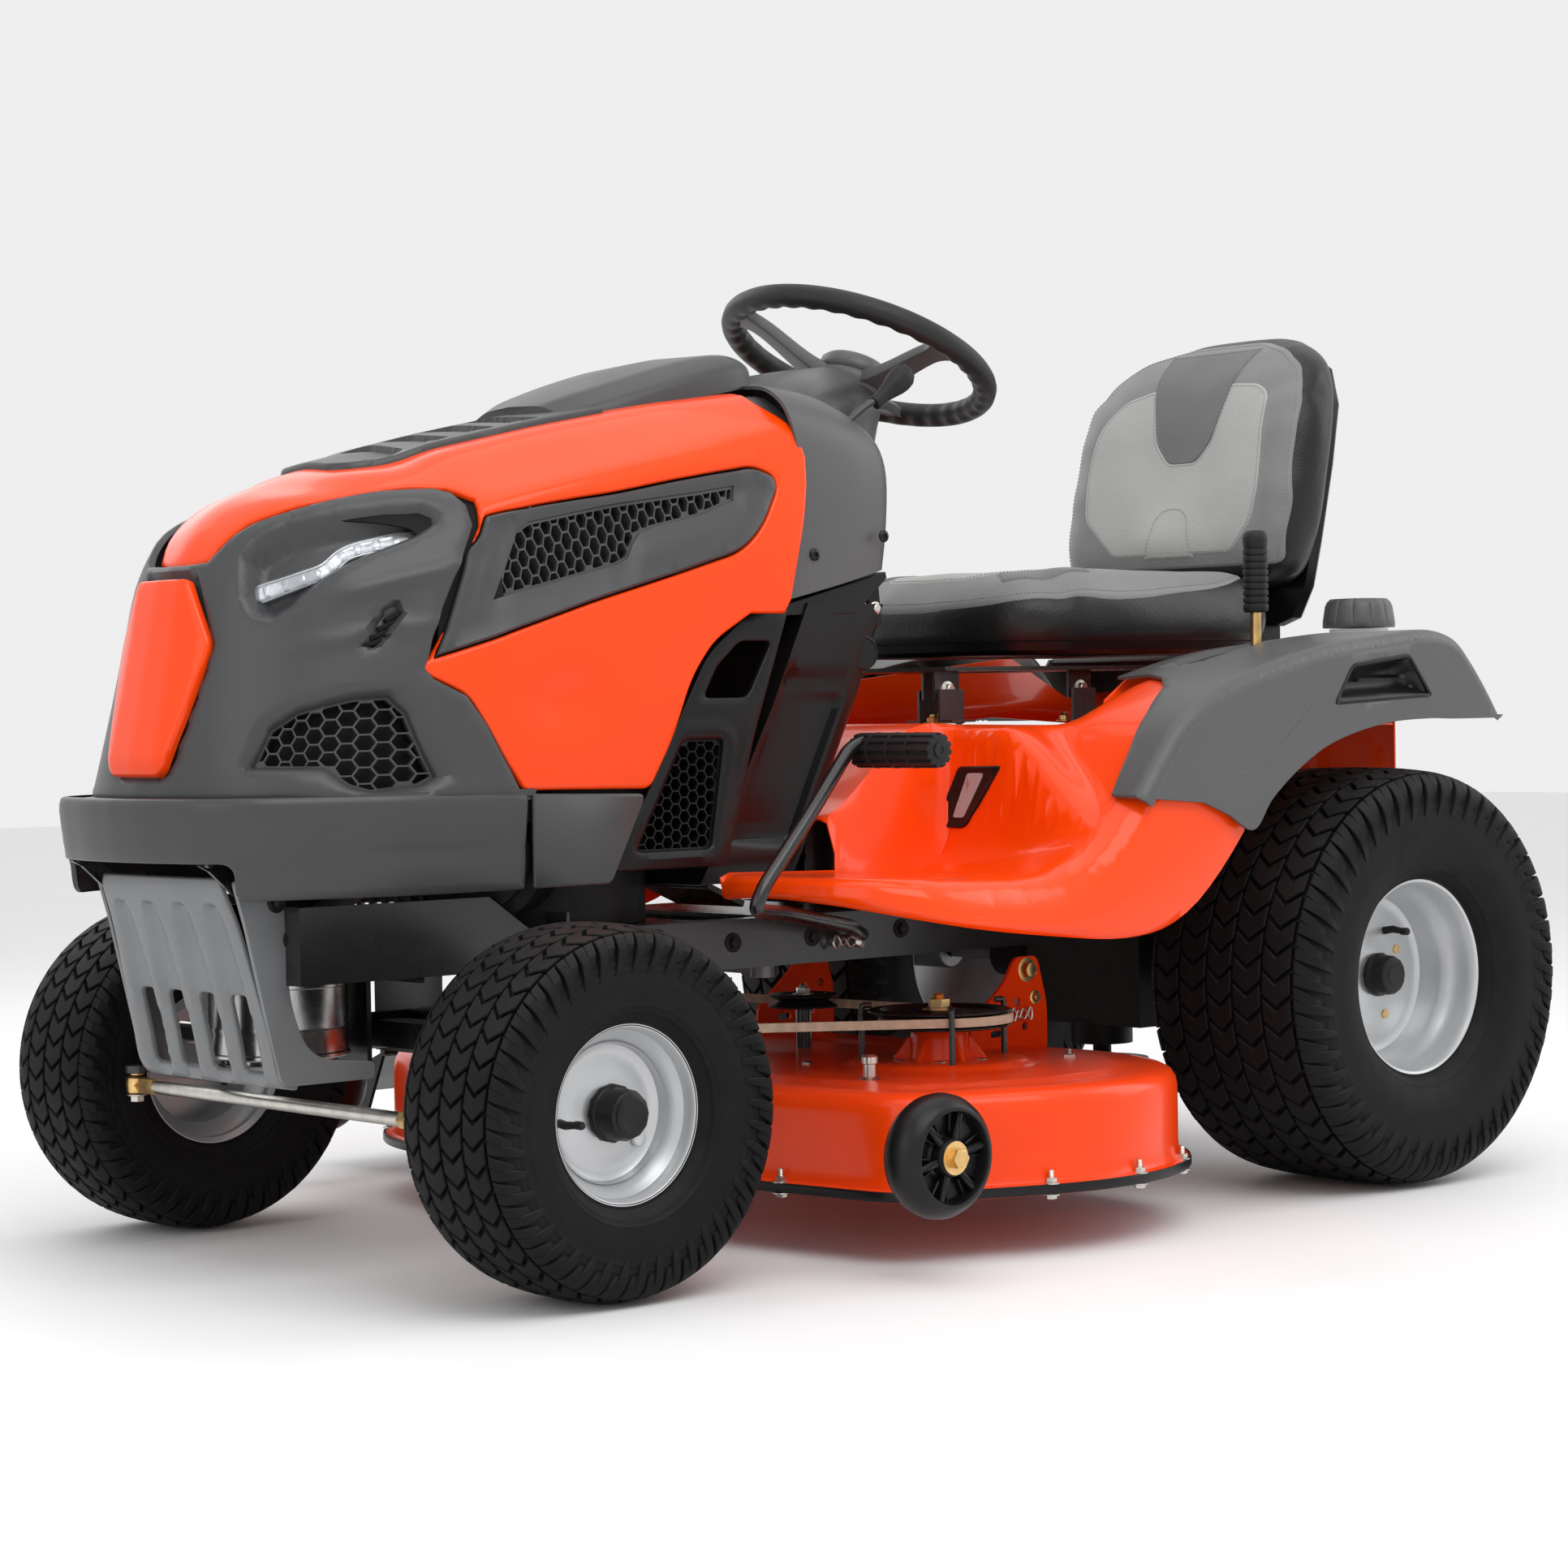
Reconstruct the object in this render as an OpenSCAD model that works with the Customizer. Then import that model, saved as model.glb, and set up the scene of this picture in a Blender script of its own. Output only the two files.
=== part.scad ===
// Front-engine ride-on lawn tractor with a hung two-blade mower deck.
// +X runs forward to the nose, +Y to the operator's left, +Z up.
// Origin: on the ground, straight below the middle of the rear axle.

/* [Wheels] */
// Distance between the front and rear axles
wheelbase = 1200; // [1180:5:1210]
// Outside diameter of a front tyre
front_d = 381; // [370:1:385]
// Width of a front tyre
front_w = 152; // [140:1:156]
// Sideways distance from the mid-plane to a front tyre's centre
front_track = 380.5; // [376:0.5:392]
// Outside diameter of a rear tyre
rear_d = 508; // [495:1:510]
// Width of a rear tyre
rear_w = 254; // [230:1:256]
// Sideways distance from the mid-plane to a rear tyre's centre
rear_track = 382.4; // [380:0.1:396]

/* [Steering] */
// Outside radius of the steering ring's centre line
ring_r = 160; // [140:1:170]
// Radius of the steering ring's rim section
ring_tube = 15; // [11:0.5:16]
// Tilt of the steering ring, front edge up
ring_tilt = 23.5; // [20:0.5:28]
// Sideways place of each kingpin
kingpin_y = 278; // [274:1:280]
// Length of a steering arm, kingpin to ball joint
arm_l = 130; // [120:1:132]

/* [Deck] */
// Radius of each blade's tip circle
blade_r = 262; // [240:1:263]
// Height of the deck's lower lip above the ground
deck_lip_z = 66; // [60:1:70]
// Height of the deck's top plate
deck_top_z = 178; // [170:1:180]
// Sheet thickness of the deck
deck_t = 3; // [2.5:0.5:4]

/* [Bodywork] */
// Wall of the moulded hood panels
panel_t = 5; // [4:0.5:6]
// Wall of the fender and footrest moulding
fender_t = 5; // [4:0.5:6]

/* [Hitch] */
// Diameter of the hitch pin hole
hitch_d = 19.2; // [16:0.1:20]

/* [Hidden] */
$fn = 48;
fz = front_d / 2;
rz = rear_d / 2;
ring_c = [463.5, 0, 1020];
hinge_x = 1488;
hinge_z = 446;
cap_x = -205;
cap_y = 228;
lm = [600, 265];
rm = [660, -262];

orange = [0.95, 0.33, 0.06];
grey = [0.33, 0.33, 0.34];
black = [0.06, 0.06, 0.06];
zinc = [0.75, 0.72, 0.6];

// ---------- helpers ----------
// a cylinder between two points
module rod(a, b, r) {
  d = b - a; l = norm(d);
  translate(a) rotate([0, acos(d[2] / l), atan2(d[1], d[0])]) cylinder(r = r, h = l);
}
// a bent round bar through a list of points
module bar(pts, r) {
  for (i = [0:len(pts) - 2]) rod(pts[i], pts[i + 1], r);
  for (i = [1:len(pts) - 2]) translate(pts[i]) sphere(r = r + 0.25);
}
// a cylinder along Y, centred
module ycyl(x, y0, y1, z, r) { translate([x, y0, z]) rotate([-90, 0, 0]) cylinder(r = r, h = y1 - y0); }
module xcyl(x0, x1, y, z, r) { translate([x0, y, z]) rotate([0, 90, 0]) cylinder(r = r, h = x1 - x0); }
// box between two corners
module box(a, b) { translate(a) cube(b - a); }
// a side-view (x, z) outline extruded between two y values
module side(y0, y1, pts) { translate([0, y1, 0]) rotate([90, 0, 0]) linear_extrude(height = y1 - y0) polygon(pts); }
module both() { children(); mirror([0, 1, 0]) children(); }
// a closed solid through rings of equal point counts
function loft_faces(n, m) = concat(
  [for (i = [0:m - 2], j = [0:n - 1]) [i * n + j, i * n + (j + 1) % n, (i + 1) * n + (j + 1) % n]],
  [for (i = [0:m - 2], j = [0:n - 1]) [i * n + j, (i + 1) * n + (j + 1) % n, (i + 1) * n + j]],
  [[for (j = [n - 1:-1:0]) j]], [[for (j = [0:n - 1]) (m - 1) * n + j]]);
function total(v, i = 0, t = 0) = i == len(v) ? t : total(v, i + 1, t + v[i]);
// six times the signed volume that the faces close in
function vol6(p, f, c) = total([for (q = f) for (k = [1:len(q) - 2]) (p[q[0]] - c) * cross(p[q[k]] - c, p[q[k + 1]] - c)]);
module loft(rings) {
  n = len(rings[0]); m = len(rings);
  p = [for (r = rings, q = r) q];
  f = loft_faces(n, m);
  turn = vol6(p, f, p[0]) > 0;
  polyhedron(points = p, faces = turn ? [for (q = f) [for (k = [len(q) - 1:-1:0]) q[k]]] : f);
}
// a left-right symmetric ring at x from the top centre down one side
function symring(x, half) = concat([for (p = half) [x, p[0], p[1]]],
  [for (i = [len(half) - 1:-1:1]) [x, -half[i][0], half[i][1]]]);

// ---------- hood body ----------
// x, centre-line top, then shoulder, upper side, mid side and low side points
hood_tab = [
  [772, 958, 150, 952, 216, 905, 236, 800, 238, 600],
  [900, 940, 146, 934, 216, 878, 238, 780, 240, 600],
  [1050, 912, 138, 904, 212, 842, 236, 745, 240, 590],
  [1200, 878, 126, 868, 204, 806, 230, 705, 236, 570],
  [1320, 843, 108, 830, 190, 770, 214, 660, 222, 560],
  [1410, 812, 88, 797, 150, 745, 176, 650, 190, 560],
  [1455, 778, 72, 765, 104, 725, 134, 655, 158, 560]];
function hring(t, o, zb) = symring(t[0], [[0, t[1] - o], [t[2] - o * 0.6, t[3] - o], [t[4] - o, t[5] - o * 0.6],
  [t[6] - o, t[7]], [t[8] - o, t[9]], [t[8] - o, zb]]);
module hood_solid(o, zb) {
  loft([for (i = [0:6]) hring(hood_tab[i] + [i == 6 ? -o : (i == 0 && o > 0 ? -20 : 0), 0, 0, 0, 0, 0, 0, 0, 0, 0], o, zb)]);
}
module hood_skin() { difference() { hood_solid(0, 440); hood_solid(panel_t, 380); } }
// side-view outlines that split the skin into panels
orange_side = [[740, 1010], [760, 840], [785, 716], [850, 700], [905, 660], [940, 600], [998, 507], [1166, 511],
  [1230, 600], [1285, 643], [1255, 720], [1226, 793], [1330, 810], [1452, 745], [1500, 760], [1500, 1010]];
vent_side = [[795, 866], [840, 880], [1180, 838], [1205, 810], [1225, 700], [1190, 690], [885, 752], [830, 790]];
module hood_shell() color(orange) difference() {
  intersection() { hood_skin(); side(-300, 300, orange_side); }
  side(-300, 300, vent_side);
}
module side_vents() color(grey) both() intersection() {
  hood_skin();
  side(60, 300, vent_side);
}
module nose_plan() polygon([[1160, 238], [1317, 230], [1440, 190], [1500, 145], [1518, 80], [1525, 0], [1518, -80],
  [1500, -145], [1440, -190], [1317, -230], [1160, -238]]);
module nose_plan_in() polygon([[1100, 230], [1312, 222], [1434, 183], [1493, 140], [1511, 78], [1518, 0],
  [1511, -78], [1493, -140], [1434, -183], [1312, -222], [1100, -230]]);
module front_fascia() color(grey) {
  difference() {
    union() {
      intersection() { hood_skin(); union() {
        difference() { side(-300, 300, [[1166, 511], [1230, 600], [1285, 643], [1255, 720], [1226, 793], [1330, 810],
          [1452, 745], [1500, 760], [1500, 505], [1166, 505]]); }
      } }
      // face plate behind the nose panel
      loft([for (k = [0, 1]) [for (p = [[-158, 512], [-134, 655], [-104, 722], [104, 722], [134, 655], [158, 512]])
        [1445 + k * 6 + (722 - p[1]) * 0.12, p[0], p[1]]]]);
    }
    // headlamp pockets
    both() translate([1380, 150, 728]) rotate([0, 0, 35]) scale([1, 1, 1]) box([-10, -60, -32], [90, 75, 34]);
  }
  // bumper: a hollow lip round the nose, cut away over the guard
  difference() {
    translate([0, 0, 406]) linear_extrude(height = 102) nose_plan();
    translate([0, 0, 400]) linear_extrude(height = 104) nose_plan_in();
    translate([0, 0, 400]) linear_extrude(height = 120) polygon([[1100, 192], [1300, 186], [1400, 152], [1448, 112], [1464, 60], [1468, 0],
      [1464, -60], [1448, -112], [1400, -152], [1300, -186], [1100, -192]]);
    box([1380, -152, 400], [1600, 152, 442]);
  }
  // hinge lugs
  both() difference() {
    side(131, 134, [[1478, 440], [1492, 436], [1497, 446], [1500, 470], [1490, 500], [1470, 500], [1474, 460]]);
    ycyl(hinge_x, 125, 140, hinge_z, 4.1);
  }
  // side skirts
  both() side(232, 238, [[1052, 408], [1159, 408], [1159, 507], [998, 503]]);
}
module nose_panel() color(orange)
  loft([for (k = [0, 1]) [for (p = [[-50, 540], [-100, 668], [-70, 738], [70, 738], [100, 668], [50, 540]])
    [1456.5 + k * 14 + (738 - p[1]) * 0.105, p[0] * (1 - 0.1 * k), p[1]]]]);
module headlamps() color([0.85, 0.87, 0.9, 0.6]) both() translate([1372, 148, 728]) rotate([0, 0, 36])
  box([4, -52, -26], [26, 66, 28]);
// height of the hood's top face at a point, a little above the skin
function hood_at(x, y) = let (i = max([for (k = [0:5]) hood_tab[k][0] <= x ? k : 0]), a = hood_tab[i], b = hood_tab[i + 1],
  t = (x - a[0]) / (b[0] - a[0]), c = a + (b - a) * t) c[1] + (c[3] - c[1]) * abs(y) / c[2] + 2.2;
// the same, closed by a point on the centre line
function symloop(x, half) = concat([for (p = half) [x, p[0], p[1]]],
  [for (i = [len(half) - 2:-1:1]) [x, -half[i][0], half[i][1]]]);
module hood_scoop() color(black) {
  // louvred strip along the hood top
  loft([for (t = [[987, 116], [1050, 112], [1200, 90], [1265, 66]])
    symloop(t[0], [[0, hood_at(t[0], 0) + 7], [t[1], hood_at(t[0], t[1]) + 5], [t[1] + 2, hood_at(t[0], t[1] + 2)], [0, hood_at(t[0], 0)]])]);
  // raised rear scoop
  loft([for (t = [[733, 996, 88, 100, 984, 979.5], [771, 995, 96, 118, 983, 979.5], [774, 995, 96, 119, 970, 0],
    [820, 989, 98, 121, 962, 0], [900, 972, 92, 118, 948, 0], [986, 946, 70, 100, 928, 0]])
    let (zc = t[5] > 0 ? t[5] : hood_at(t[0], 0), zs = t[5] > 0 ? t[5] : hood_at(t[0], t[3]))
    symloop(t[0], [[0, t[1] + 2], [t[2], t[1]], [t[3], t[4]], [t[3], zs], [0, zc]])]);
}

// ---------- dash ----------
dash_side = [[612, 752], [762, 712], [783, 714], [758, 840], [769, 930], [769, 955], [735, 964], [684, 973], [616, 905], [600, 846]];
module dash_cowl() color(grey) difference() {
  intersection() {
    side(-222, 222, dash_side);
    loft([symring(560, [[0, 975], [60, 975], [150, 935], [196, 850], [200, 690]]),
      symring(684, [[0, 976], [90, 974], [170, 940], [212, 860], [214, 690]]),
      symring(790, [[0, 976], [110, 974], [190, 930], [222, 850], [222, 690]])]);
  }
  // hollow inside
  intersection() {
    side(-206, 206, [[625, 700], [800, 690], [800, 948], [690, 962], [626, 900], [612, 846]]);
    loft([symring(560, [[0, 965], [56, 965], [142, 926], [186, 846], [190, 680]]),
      symring(684, [[0, 966], [84, 964], [162, 932], [203, 856], [205, 680]]),
      symring(830, [[0, 966], [104, 964], [180, 922], [211, 846], [212, 680]])]);
  }
  box([600, 160, 880], [700, 200, 975]);
  // hole for the steering column
  translate(ring_c) rotate([0, -ring_tilt, 0]) translate([0, 0, -260]) cylinder(r = 23, h = 240);
}
module lower_dash() color(black) difference() {
  loft([for (z = [398, 560, 711]) let (x0 = 728 - (z - 410) * 0.39, w = z < 500 ? 176 : 196)
    [[x0, -w, z], [x0 - 14, -w + 40, z], [x0 - 14, w - 40, z], [x0, w, z], [x0 + 150 - (z - 398) * 0.06, w + 4, z], [x0 + 150 - (z - 398) * 0.06, -w - 4, z]]]);
  loft([for (z = [390, 560, 720]) let (x0 = 728 - (z - 410) * 0.39 + 5, w = z < 500 ? 171 : 191)
    [[x0, -w, z], [x0 - 14, -w + 40, z], [x0 - 14, w - 40, z], [x0, w, z], [x0 + 240, w - 1, z], [x0 + 240, -w + 1, z]]]);
  // way for the steering column
  translate(ring_c) rotate([0, -ring_tilt, 0]) translate([0, 0, -720]) cylinder(r = 24, h = 600);
}
// honeycomb side covers of the engine bay
module engine_side_covers() color(black) both() difference() {
  side(205, 213, [[770, 708], [838, 698], [893, 655], [928, 597], [985, 500], [1045, 419], [868, 419], [826, 560]]);
  side(200, 220, [[872, 520], [934, 535], [985, 440], [905, 432]]);
}
module steering_column() color(black) translate(ring_c) rotate([0, -ring_tilt, 0]) {
  difference() { translate([0, 0, -700]) cylinder(r = 16, h = 640); translate([0, 0, -710]) cylinder(r = 10, h = 680); }
  difference() { translate([0, 0, -64]) cylinder(r1 = 46, r2 = 34, h = 24); translate([0, 0, -70]) cylinder(r = 10, h = 60); }
  // foot of the column on the frame's cross member
  difference() { translate([-30, -60, -705]) cube([60, 120, 8]); translate([0, 0, -720]) cylinder(r = 10, h = 60); }
}
module steering_wheel() color(black) translate(ring_c) rotate([0, -ring_tilt, 0]) {
  rotate_extrude($fn = 72) translate([ring_r, 0]) circle(r = ring_tube, $fn = 24);
  for (a = [90, 210, 330]) rotate([0, 0, a]) translate([24, -16, -18]) cube([ring_r - 32, 32, 12]);
  translate([0, 0, -36]) cylinder(r = 34, h = 34);
  translate([0, 0, -2]) cylinder(r1 = 40, r2 = 30, h = 10);
  translate([0, 0, -712]) cylinder(r = 9.5, h = 680);
  translate([0, 0, -716]) cylinder(r = 14, h = 10.5);
}
module throttle_lever() color(black) {
  bar([[668, 172, 900], [628, 186, 938], [590, 192, 956]], 4);
  translate([590, 192, 956]) rotate([0, -50, 20]) { cylinder(r1 = 8, r2 = 14, h = 34); translate([0, 0, 34]) sphere(r = 14); }
}
module pto_knob() color(black) { xcyl(580, 602, -110, 800, 6); xcyl(560, 580, -110, 800, 19); }
module ignition_key() color(zinc) { xcyl(584, 602, 110, 800, 11); box([560, 107, 786], [584, 113, 814]); }

// ---------- frame ----------
rail_side = [[-60, 300], [1130, 300], [1170, 318], [1400, 318], [1400, 398], [1160, 398], [1100, 356], [-60, 356]];
module frame_rails() color(black) {
  both() {
    side(157, 161, rail_side);
    box([-60, 141, 300], [1130, 158, 304]);
    box([-60, 141, 352], [1090, 158, 356]);
  }
  // cross members
  box([1394, -158, 318], [1400, 158, 398]);
  box([860, -158, 352], [1090, 158, 356.5]);
  box([480, -158, 300], [540, 158, 304]);
  box([560, -158, 352], [760, 158, 356.5]);
  box([-60, -158, 300], [-54, 158, 356]);
  // front axle hangers and pivot pin
  for (x = [1150, 1244]) difference() {
    box([x, -158, 222], [x + 6, 158, 330]);
    for (s = [-1, 1]) box([x - 1, s > 0 ? 60 : -170, 200], [x + 7, s > 0 ? 170 : -60, 312]);
  }
  xcyl(1146, 1254, 0, 250, 10);
  // hood hinge arms
  both() {
    side(122, 127, [[1394, 398], [1394, 372], [1410, 372], [1484, 438], [1496, 444], [1492, 454], [1480, 452]]);
    ycyl(hinge_x, 118, 136, hinge_z, 4);
    // seat bracket feet that stand on the seat deck
    box([430, 136, 572.5], [470, 140, 612]); box([430, 136, 572.5], [470, 160, 575.5]);
    box([200, 136, 570], [240, 140, 612]); box([200, 136, 570], [240, 160, 573]);
  }
  // body and seat posts
  both() { box([60, 141, 355], [100, 146, 552]); box([440, 141, 355], [480, 146, 552]); }
  // engine bed uprights
  both() box([1050, 120, 356], [1054, 158, 376]);
}
module hitch_plate() color(black) difference() {
  union() { box([-262, -60, 262], [-60.5, 60, 268]); box([-66.5, -158, 262], [-60.5, 158, 356]); }
  translate([-235, 0, 250]) cylinder(d = hitch_d, h = 40);
}
module front_guard() color(grey) difference() {
  union() {
    // sloping front plate
    loft([for (t = [[1466, 424, 116], [1452, 380, 120], [1424, 260, 132], [1410, 212, 132]])
      [[t[0], -t[2], t[1]], [t[0] - 5, -t[2], t[1]], [t[0] - 5, t[2], t[1]], [t[0], t[2], t[1]]]]);
    // bottom return and side plates
    box([1290, -136, 212], [1412, -128, 232]); box([1290, 128, 212], [1412, 136, 232]);
    both() side(130, 135, [[1466, 424], [1452, 424], [1400.5, 396], [1400.5, 330], [1408, 300], [1424, 260], [1440, 300]]);
    box([1401, -135, 396], [1460, 135, 400]);
  }
  for (y = [-106, -46, 14, 74]) box([1380, y, 224], [1500, y + 34, 306]);
  // slots for the hood's hinge arms
  both() box([1395, 120.5, 390], [1452, 128.5, 405]);
}
module muffler() color([0.75, 0.75, 0.76]) {
  translate([1335, 20, 232]) cylinder(r = 74, h = 84);
  translate([1335, 20, 226]) cylinder(r = 62, h = 8);
  box([1352, -110, 244], [1380, -20, 268]);
  bar([[1290, 20, 310], [1290, 20, 372], [1215, 30, 425]], 13);
}

// ---------- power unit ----------
module engine_block() color([0.35, 0.35, 0.36]) {
  translate([980, 0, 357]) cylinder(r = 128, h = 165);
  // two cylinder heads to the front
  for (s = [-1, 1]) translate([1010, s * 20, 440]) rotate([0, 90, s * 38]) {
    cylinder(r = 58, h = 190);
    for (k = [0:6]) translate([0, 0, 84 + k * 14]) cylinder(r = 72, h = 5);
  }
  // oil filter
  translate([985, -120, 430]) rotate([90, 0, 0]) cylinder(r = 36, h = 70);
}
module engine_shroud() color(black) {
  translate([980, 0, 523]) cylinder(r = 168, h = 96);
  translate([980, 0, 619]) cylinder(r1 = 130, r2 = 112, h = 40);
  // air filter box
  box([905, -110, 659], [1060, 110, 730]);
}
module crank_pulley() color([0.25, 0.25, 0.26]) {
  difference() {
    translate([980, 0, 225]) rotate_extrude() polygon([[0, 0], [66, 0], [66, 3], [56, 11], [66, 19], [66, 22], [50, 22], [50, 30], [58, 30], [58, 33], [48, 40], [58, 47], [58, 50], [0, 50]]);
  }
  translate([980, 0, 220]) cylinder(r = 13, h = 131);
}
module battery() color(black) { box([250, -150, 362], [430, -22, 520]); translate([300, -60, 520]) cylinder(r = 9, h = 12); translate([300, -120, 520]) cylinder(r = 9, h = 12); }
module fuel_tank() color([0.92, 0.92, 0.9]) {
  box([-246, 60, 568], [-60, 245, 645]);
  box([-60, 60, 440], [430, 135, 545]);
  box([-150, 60, 500], [-60, 135, 568]);
  translate([cap_x, cap_y, 644]) cylinder(r = 38, h = 39);
}
module fuel_cap() color([0.2, 0.2, 0.21]) translate([cap_x, cap_y, 684]) {
  cylinder(r = 47, h = 12);
  translate([0, 0, 12]) difference() { cylinder(r = 44, h = 26); for (a = [0:30:330]) rotate([0, 0, a]) translate([48, 0, -1]) cylinder(r = 7, h = 40); }
}
module transaxle() color([0.2, 0.2, 0.2]) difference() {
  union() {
    box([-56, -100, 176], [85, 100, 299]);
    ycyl(0, -226, 226, rz, 30);
    translate([50, 0, 150]) cylinder(r = 40, h = 30);
    translate([50, 0, 112]) cylinder(r = 60, h = 18);
    translate([50, 0, 120]) cylinder(r = 12, h = 40);
  }
  ycyl(0, -230, -110, rz, 9.6); ycyl(0, 110, 230, rz, 9.6);
}

// ---------- fender and footrest ----------
module fender_half() {
  // foot well floor, seen from above, tilted a little to the rear
  translate([512, 0, 397]) rotate([0, -1.9, 0]) linear_extrude(height = fender_t)
    polygon([[0, 194], [358, 194], [373, 300], [360, 380], [325, 440], [268, 470], [0, 470]]);
  // rolled outer edge
  side(466, 471, [[400, 330], [520, 322], [740, 366], [778, 400], [778, 409], [512, 401], [430, 402]]);
  // riser up to the seat deck
  side(190, 470, [[512, 397], [519, 397], [520, 480], [500, 566], [493, 566], [512, 478]]);
  // outer side below the grey cover
  side(466, 471, [[512, 397], [400, 397], [365, 470], [330, 548], [412, 548], [468, 492], [490, 482], [519, 478], [519, 397]]);
  // inner wheel-arch wall
  side(246, 251, [[-250, 568], [-250, 610], [-150, 600], [-40, 660], [250, 630], [420, 548], [496, 488], [496, 400], [380, 400], [330, 500], [200, 576], [0, 590], [-150, 572]]);
}
module fender_body() color(orange) difference() {
  union() {
    both() fender_half();
    // tunnel between the foot wells
    difference() {
      side(-198, 198, [[514, 397], [676, 397], [676, 470], [560, 560], [520, 572], [505, 572]]);
      side(-193, 193, [[480, 390], [720, 390], [720, 462], [671, 467], [556, 554], [516, 566], [480, 566]]);
    }
    // seat deck and rear wall
    side(-250, 250, [[-250, 560], [-60, 556], [510, 566], [510, 572], [-60, 562], [-250, 566]]);
    side(-250, 250, [[-255, 420], [-250, 420], [-250, 566], [-255, 566]]);
  }
  // well for the fuel tank and slots for the pedals and the frame's posts
  box([-248, 58, 500], [-55, 247, 567.9]);
  box([765, -262, 380], [835, -218, 440]);
}
cover_out = [[483, 495], [430, 560], [350, 612], [214, 646], [80, 668], [-47, 676], [-110, 650], [-150, 608], [-178, 566]];
cover_in = [[-170, 560], [-143, 604], [-106, 644], [-45, 670], [80, 662], [213, 640], [347, 606], [426, 554], [478, 492]];
module fender_covers() color(grey) {
  both() difference() {
    union() {
      side(252, 474, concat(cover_out, cover_in));
      // outer side wall, cut in an arch over the rear tyre
      side(474, 480, [[483, 495], [430, 560], [350, 612], [214, 646], [80, 668], [-47, 676], [-110, 650], [-150, 608], [-178, 566],
        [-110, 560], [0, 566], [110, 560], [200, 530], [296, 444], [357, 482]]);
    }
    // lift lever slot
    box([72, 306, 600], [236, 334, 700]);
  }
  // panel over the tank, behind the seat
  difference() {
    union() {
      box([-262, -300, 652], [-168, 300, 656]);
      box([-262, -300, 570], [-258, 300, 656]);
      both() side(296, 300, [[-262, 570], [-178, 570], [-140, 620], [-168, 656], [-262, 656]]);
    }
    translate([cap_x, cap_y, 600]) cylinder(r = 41, h = 80);
  }
}

// ---------- seat ----------
module seat_pan() color(black) difference() {
  union() {
    box([60, -150, 634], [470, 150, 639]);
    both() { box([430, 128, 600], [470, 132, 636]); box([200, 128, 600], [240, 132, 636]); }
  }
  box([180, -60, 600], [330, 60, 660]);
}
module seat_shell() color(black) {
  // base under the cushion
  loft([for (t = [[-120, 0.86], [0, 1], [200, 1], [330, 0.9], [388, 0.62]]) [for (p = [[-205, 690], [-190, 652], [190, 652], [205, 690]]) [t[0], p[0] * t[1], p[1]]]]);
  both() box([80, 100, 640], [380, 112, 654]);
  // back shell
  loft([for (t = [[-120, 690, 0.8, 60], [-175, 762, 1, 50], [-222, 900, 1, 44], [-258, 1020, 0.86, 40], [-276, 1074, 0.5, 30]])
    [[t[0] - t[3], -190 * t[2], t[1]], [t[0] - 12, -215 * t[2], t[1]], [t[0] - 12, 215 * t[2], t[1]], [t[0] - t[3], 190 * t[2], t[1]]]]);
}
module seat_cushion() color([0.55, 0.55, 0.54])
  loft([for (t = [[-96, 0.8, 728], [-40, 0.96, 738], [100, 1, 742], [250, 1, 738], [350, 0.84, 728], [392, 0.6, 712]])
    [for (p = [[-214, 0.4], [-200, 0], [200, 0], [214, 0.4], [180, 1], [0, 0.84], [-180, 1]]) [t[0], p[0] * t[1], 692 + (t[2] - 692) * p[1]]]]);
module seat_back() color([0.55, 0.55, 0.54])
  loft([for (t = [[-104, 745, 0.82], [-150, 830, 1], [-188, 930, 1], [-222, 1020, 0.86], [-250, 1078, 0.46]])
    [for (p = [[-208, -14], [208, -14], [200, 26], [150, 46], [0, 30], [-150, 46], [-200, 26]]) [t[0] + p[1] - 22, p[0] * t[2], t[1] + p[1] * 0.3]]]);

// ---------- levers and pedals ----------
module lift_lever() color([0.5, 0.42, 0.22]) {
  bar([[110, 200, 330], [107, 200, 512], [104, 316, 548], [104, 320, 700]], 7);
  color(black) rod([103, 320, 690], [101, 320, 786], 15);
  color(black) translate([101, 320, 786]) sphere(r = 15.4);
  ycyl(110, 164, 210, 330, 12);
}
module brake_pedal() color(black) {
  bar([[640, 180, 330], [965, 365, 391], [762, 320, 545]], 8);
  ycyl(760, 314, 440, 545, 19);
  ycyl(640, 166, 192, 330, 12);
}
module drive_pedals() color(black) {
  ycyl(800, -244, -163, 385, 9);
  bar([[800, -240, 385], [800, -240, 446], [858, -272, 470]], 7);
  bar([[800, -240, 440], [742, -322, 460]], 7);
  translate([862, -285, 472]) rotate([0, 35, 0]) box([-52, -45, -6], [46, 45, 6]);
  translate([726, -330, 458]) rotate([0, -20, 0]) box([-36, -40, -6], [36, 36, 6]);
}

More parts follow.
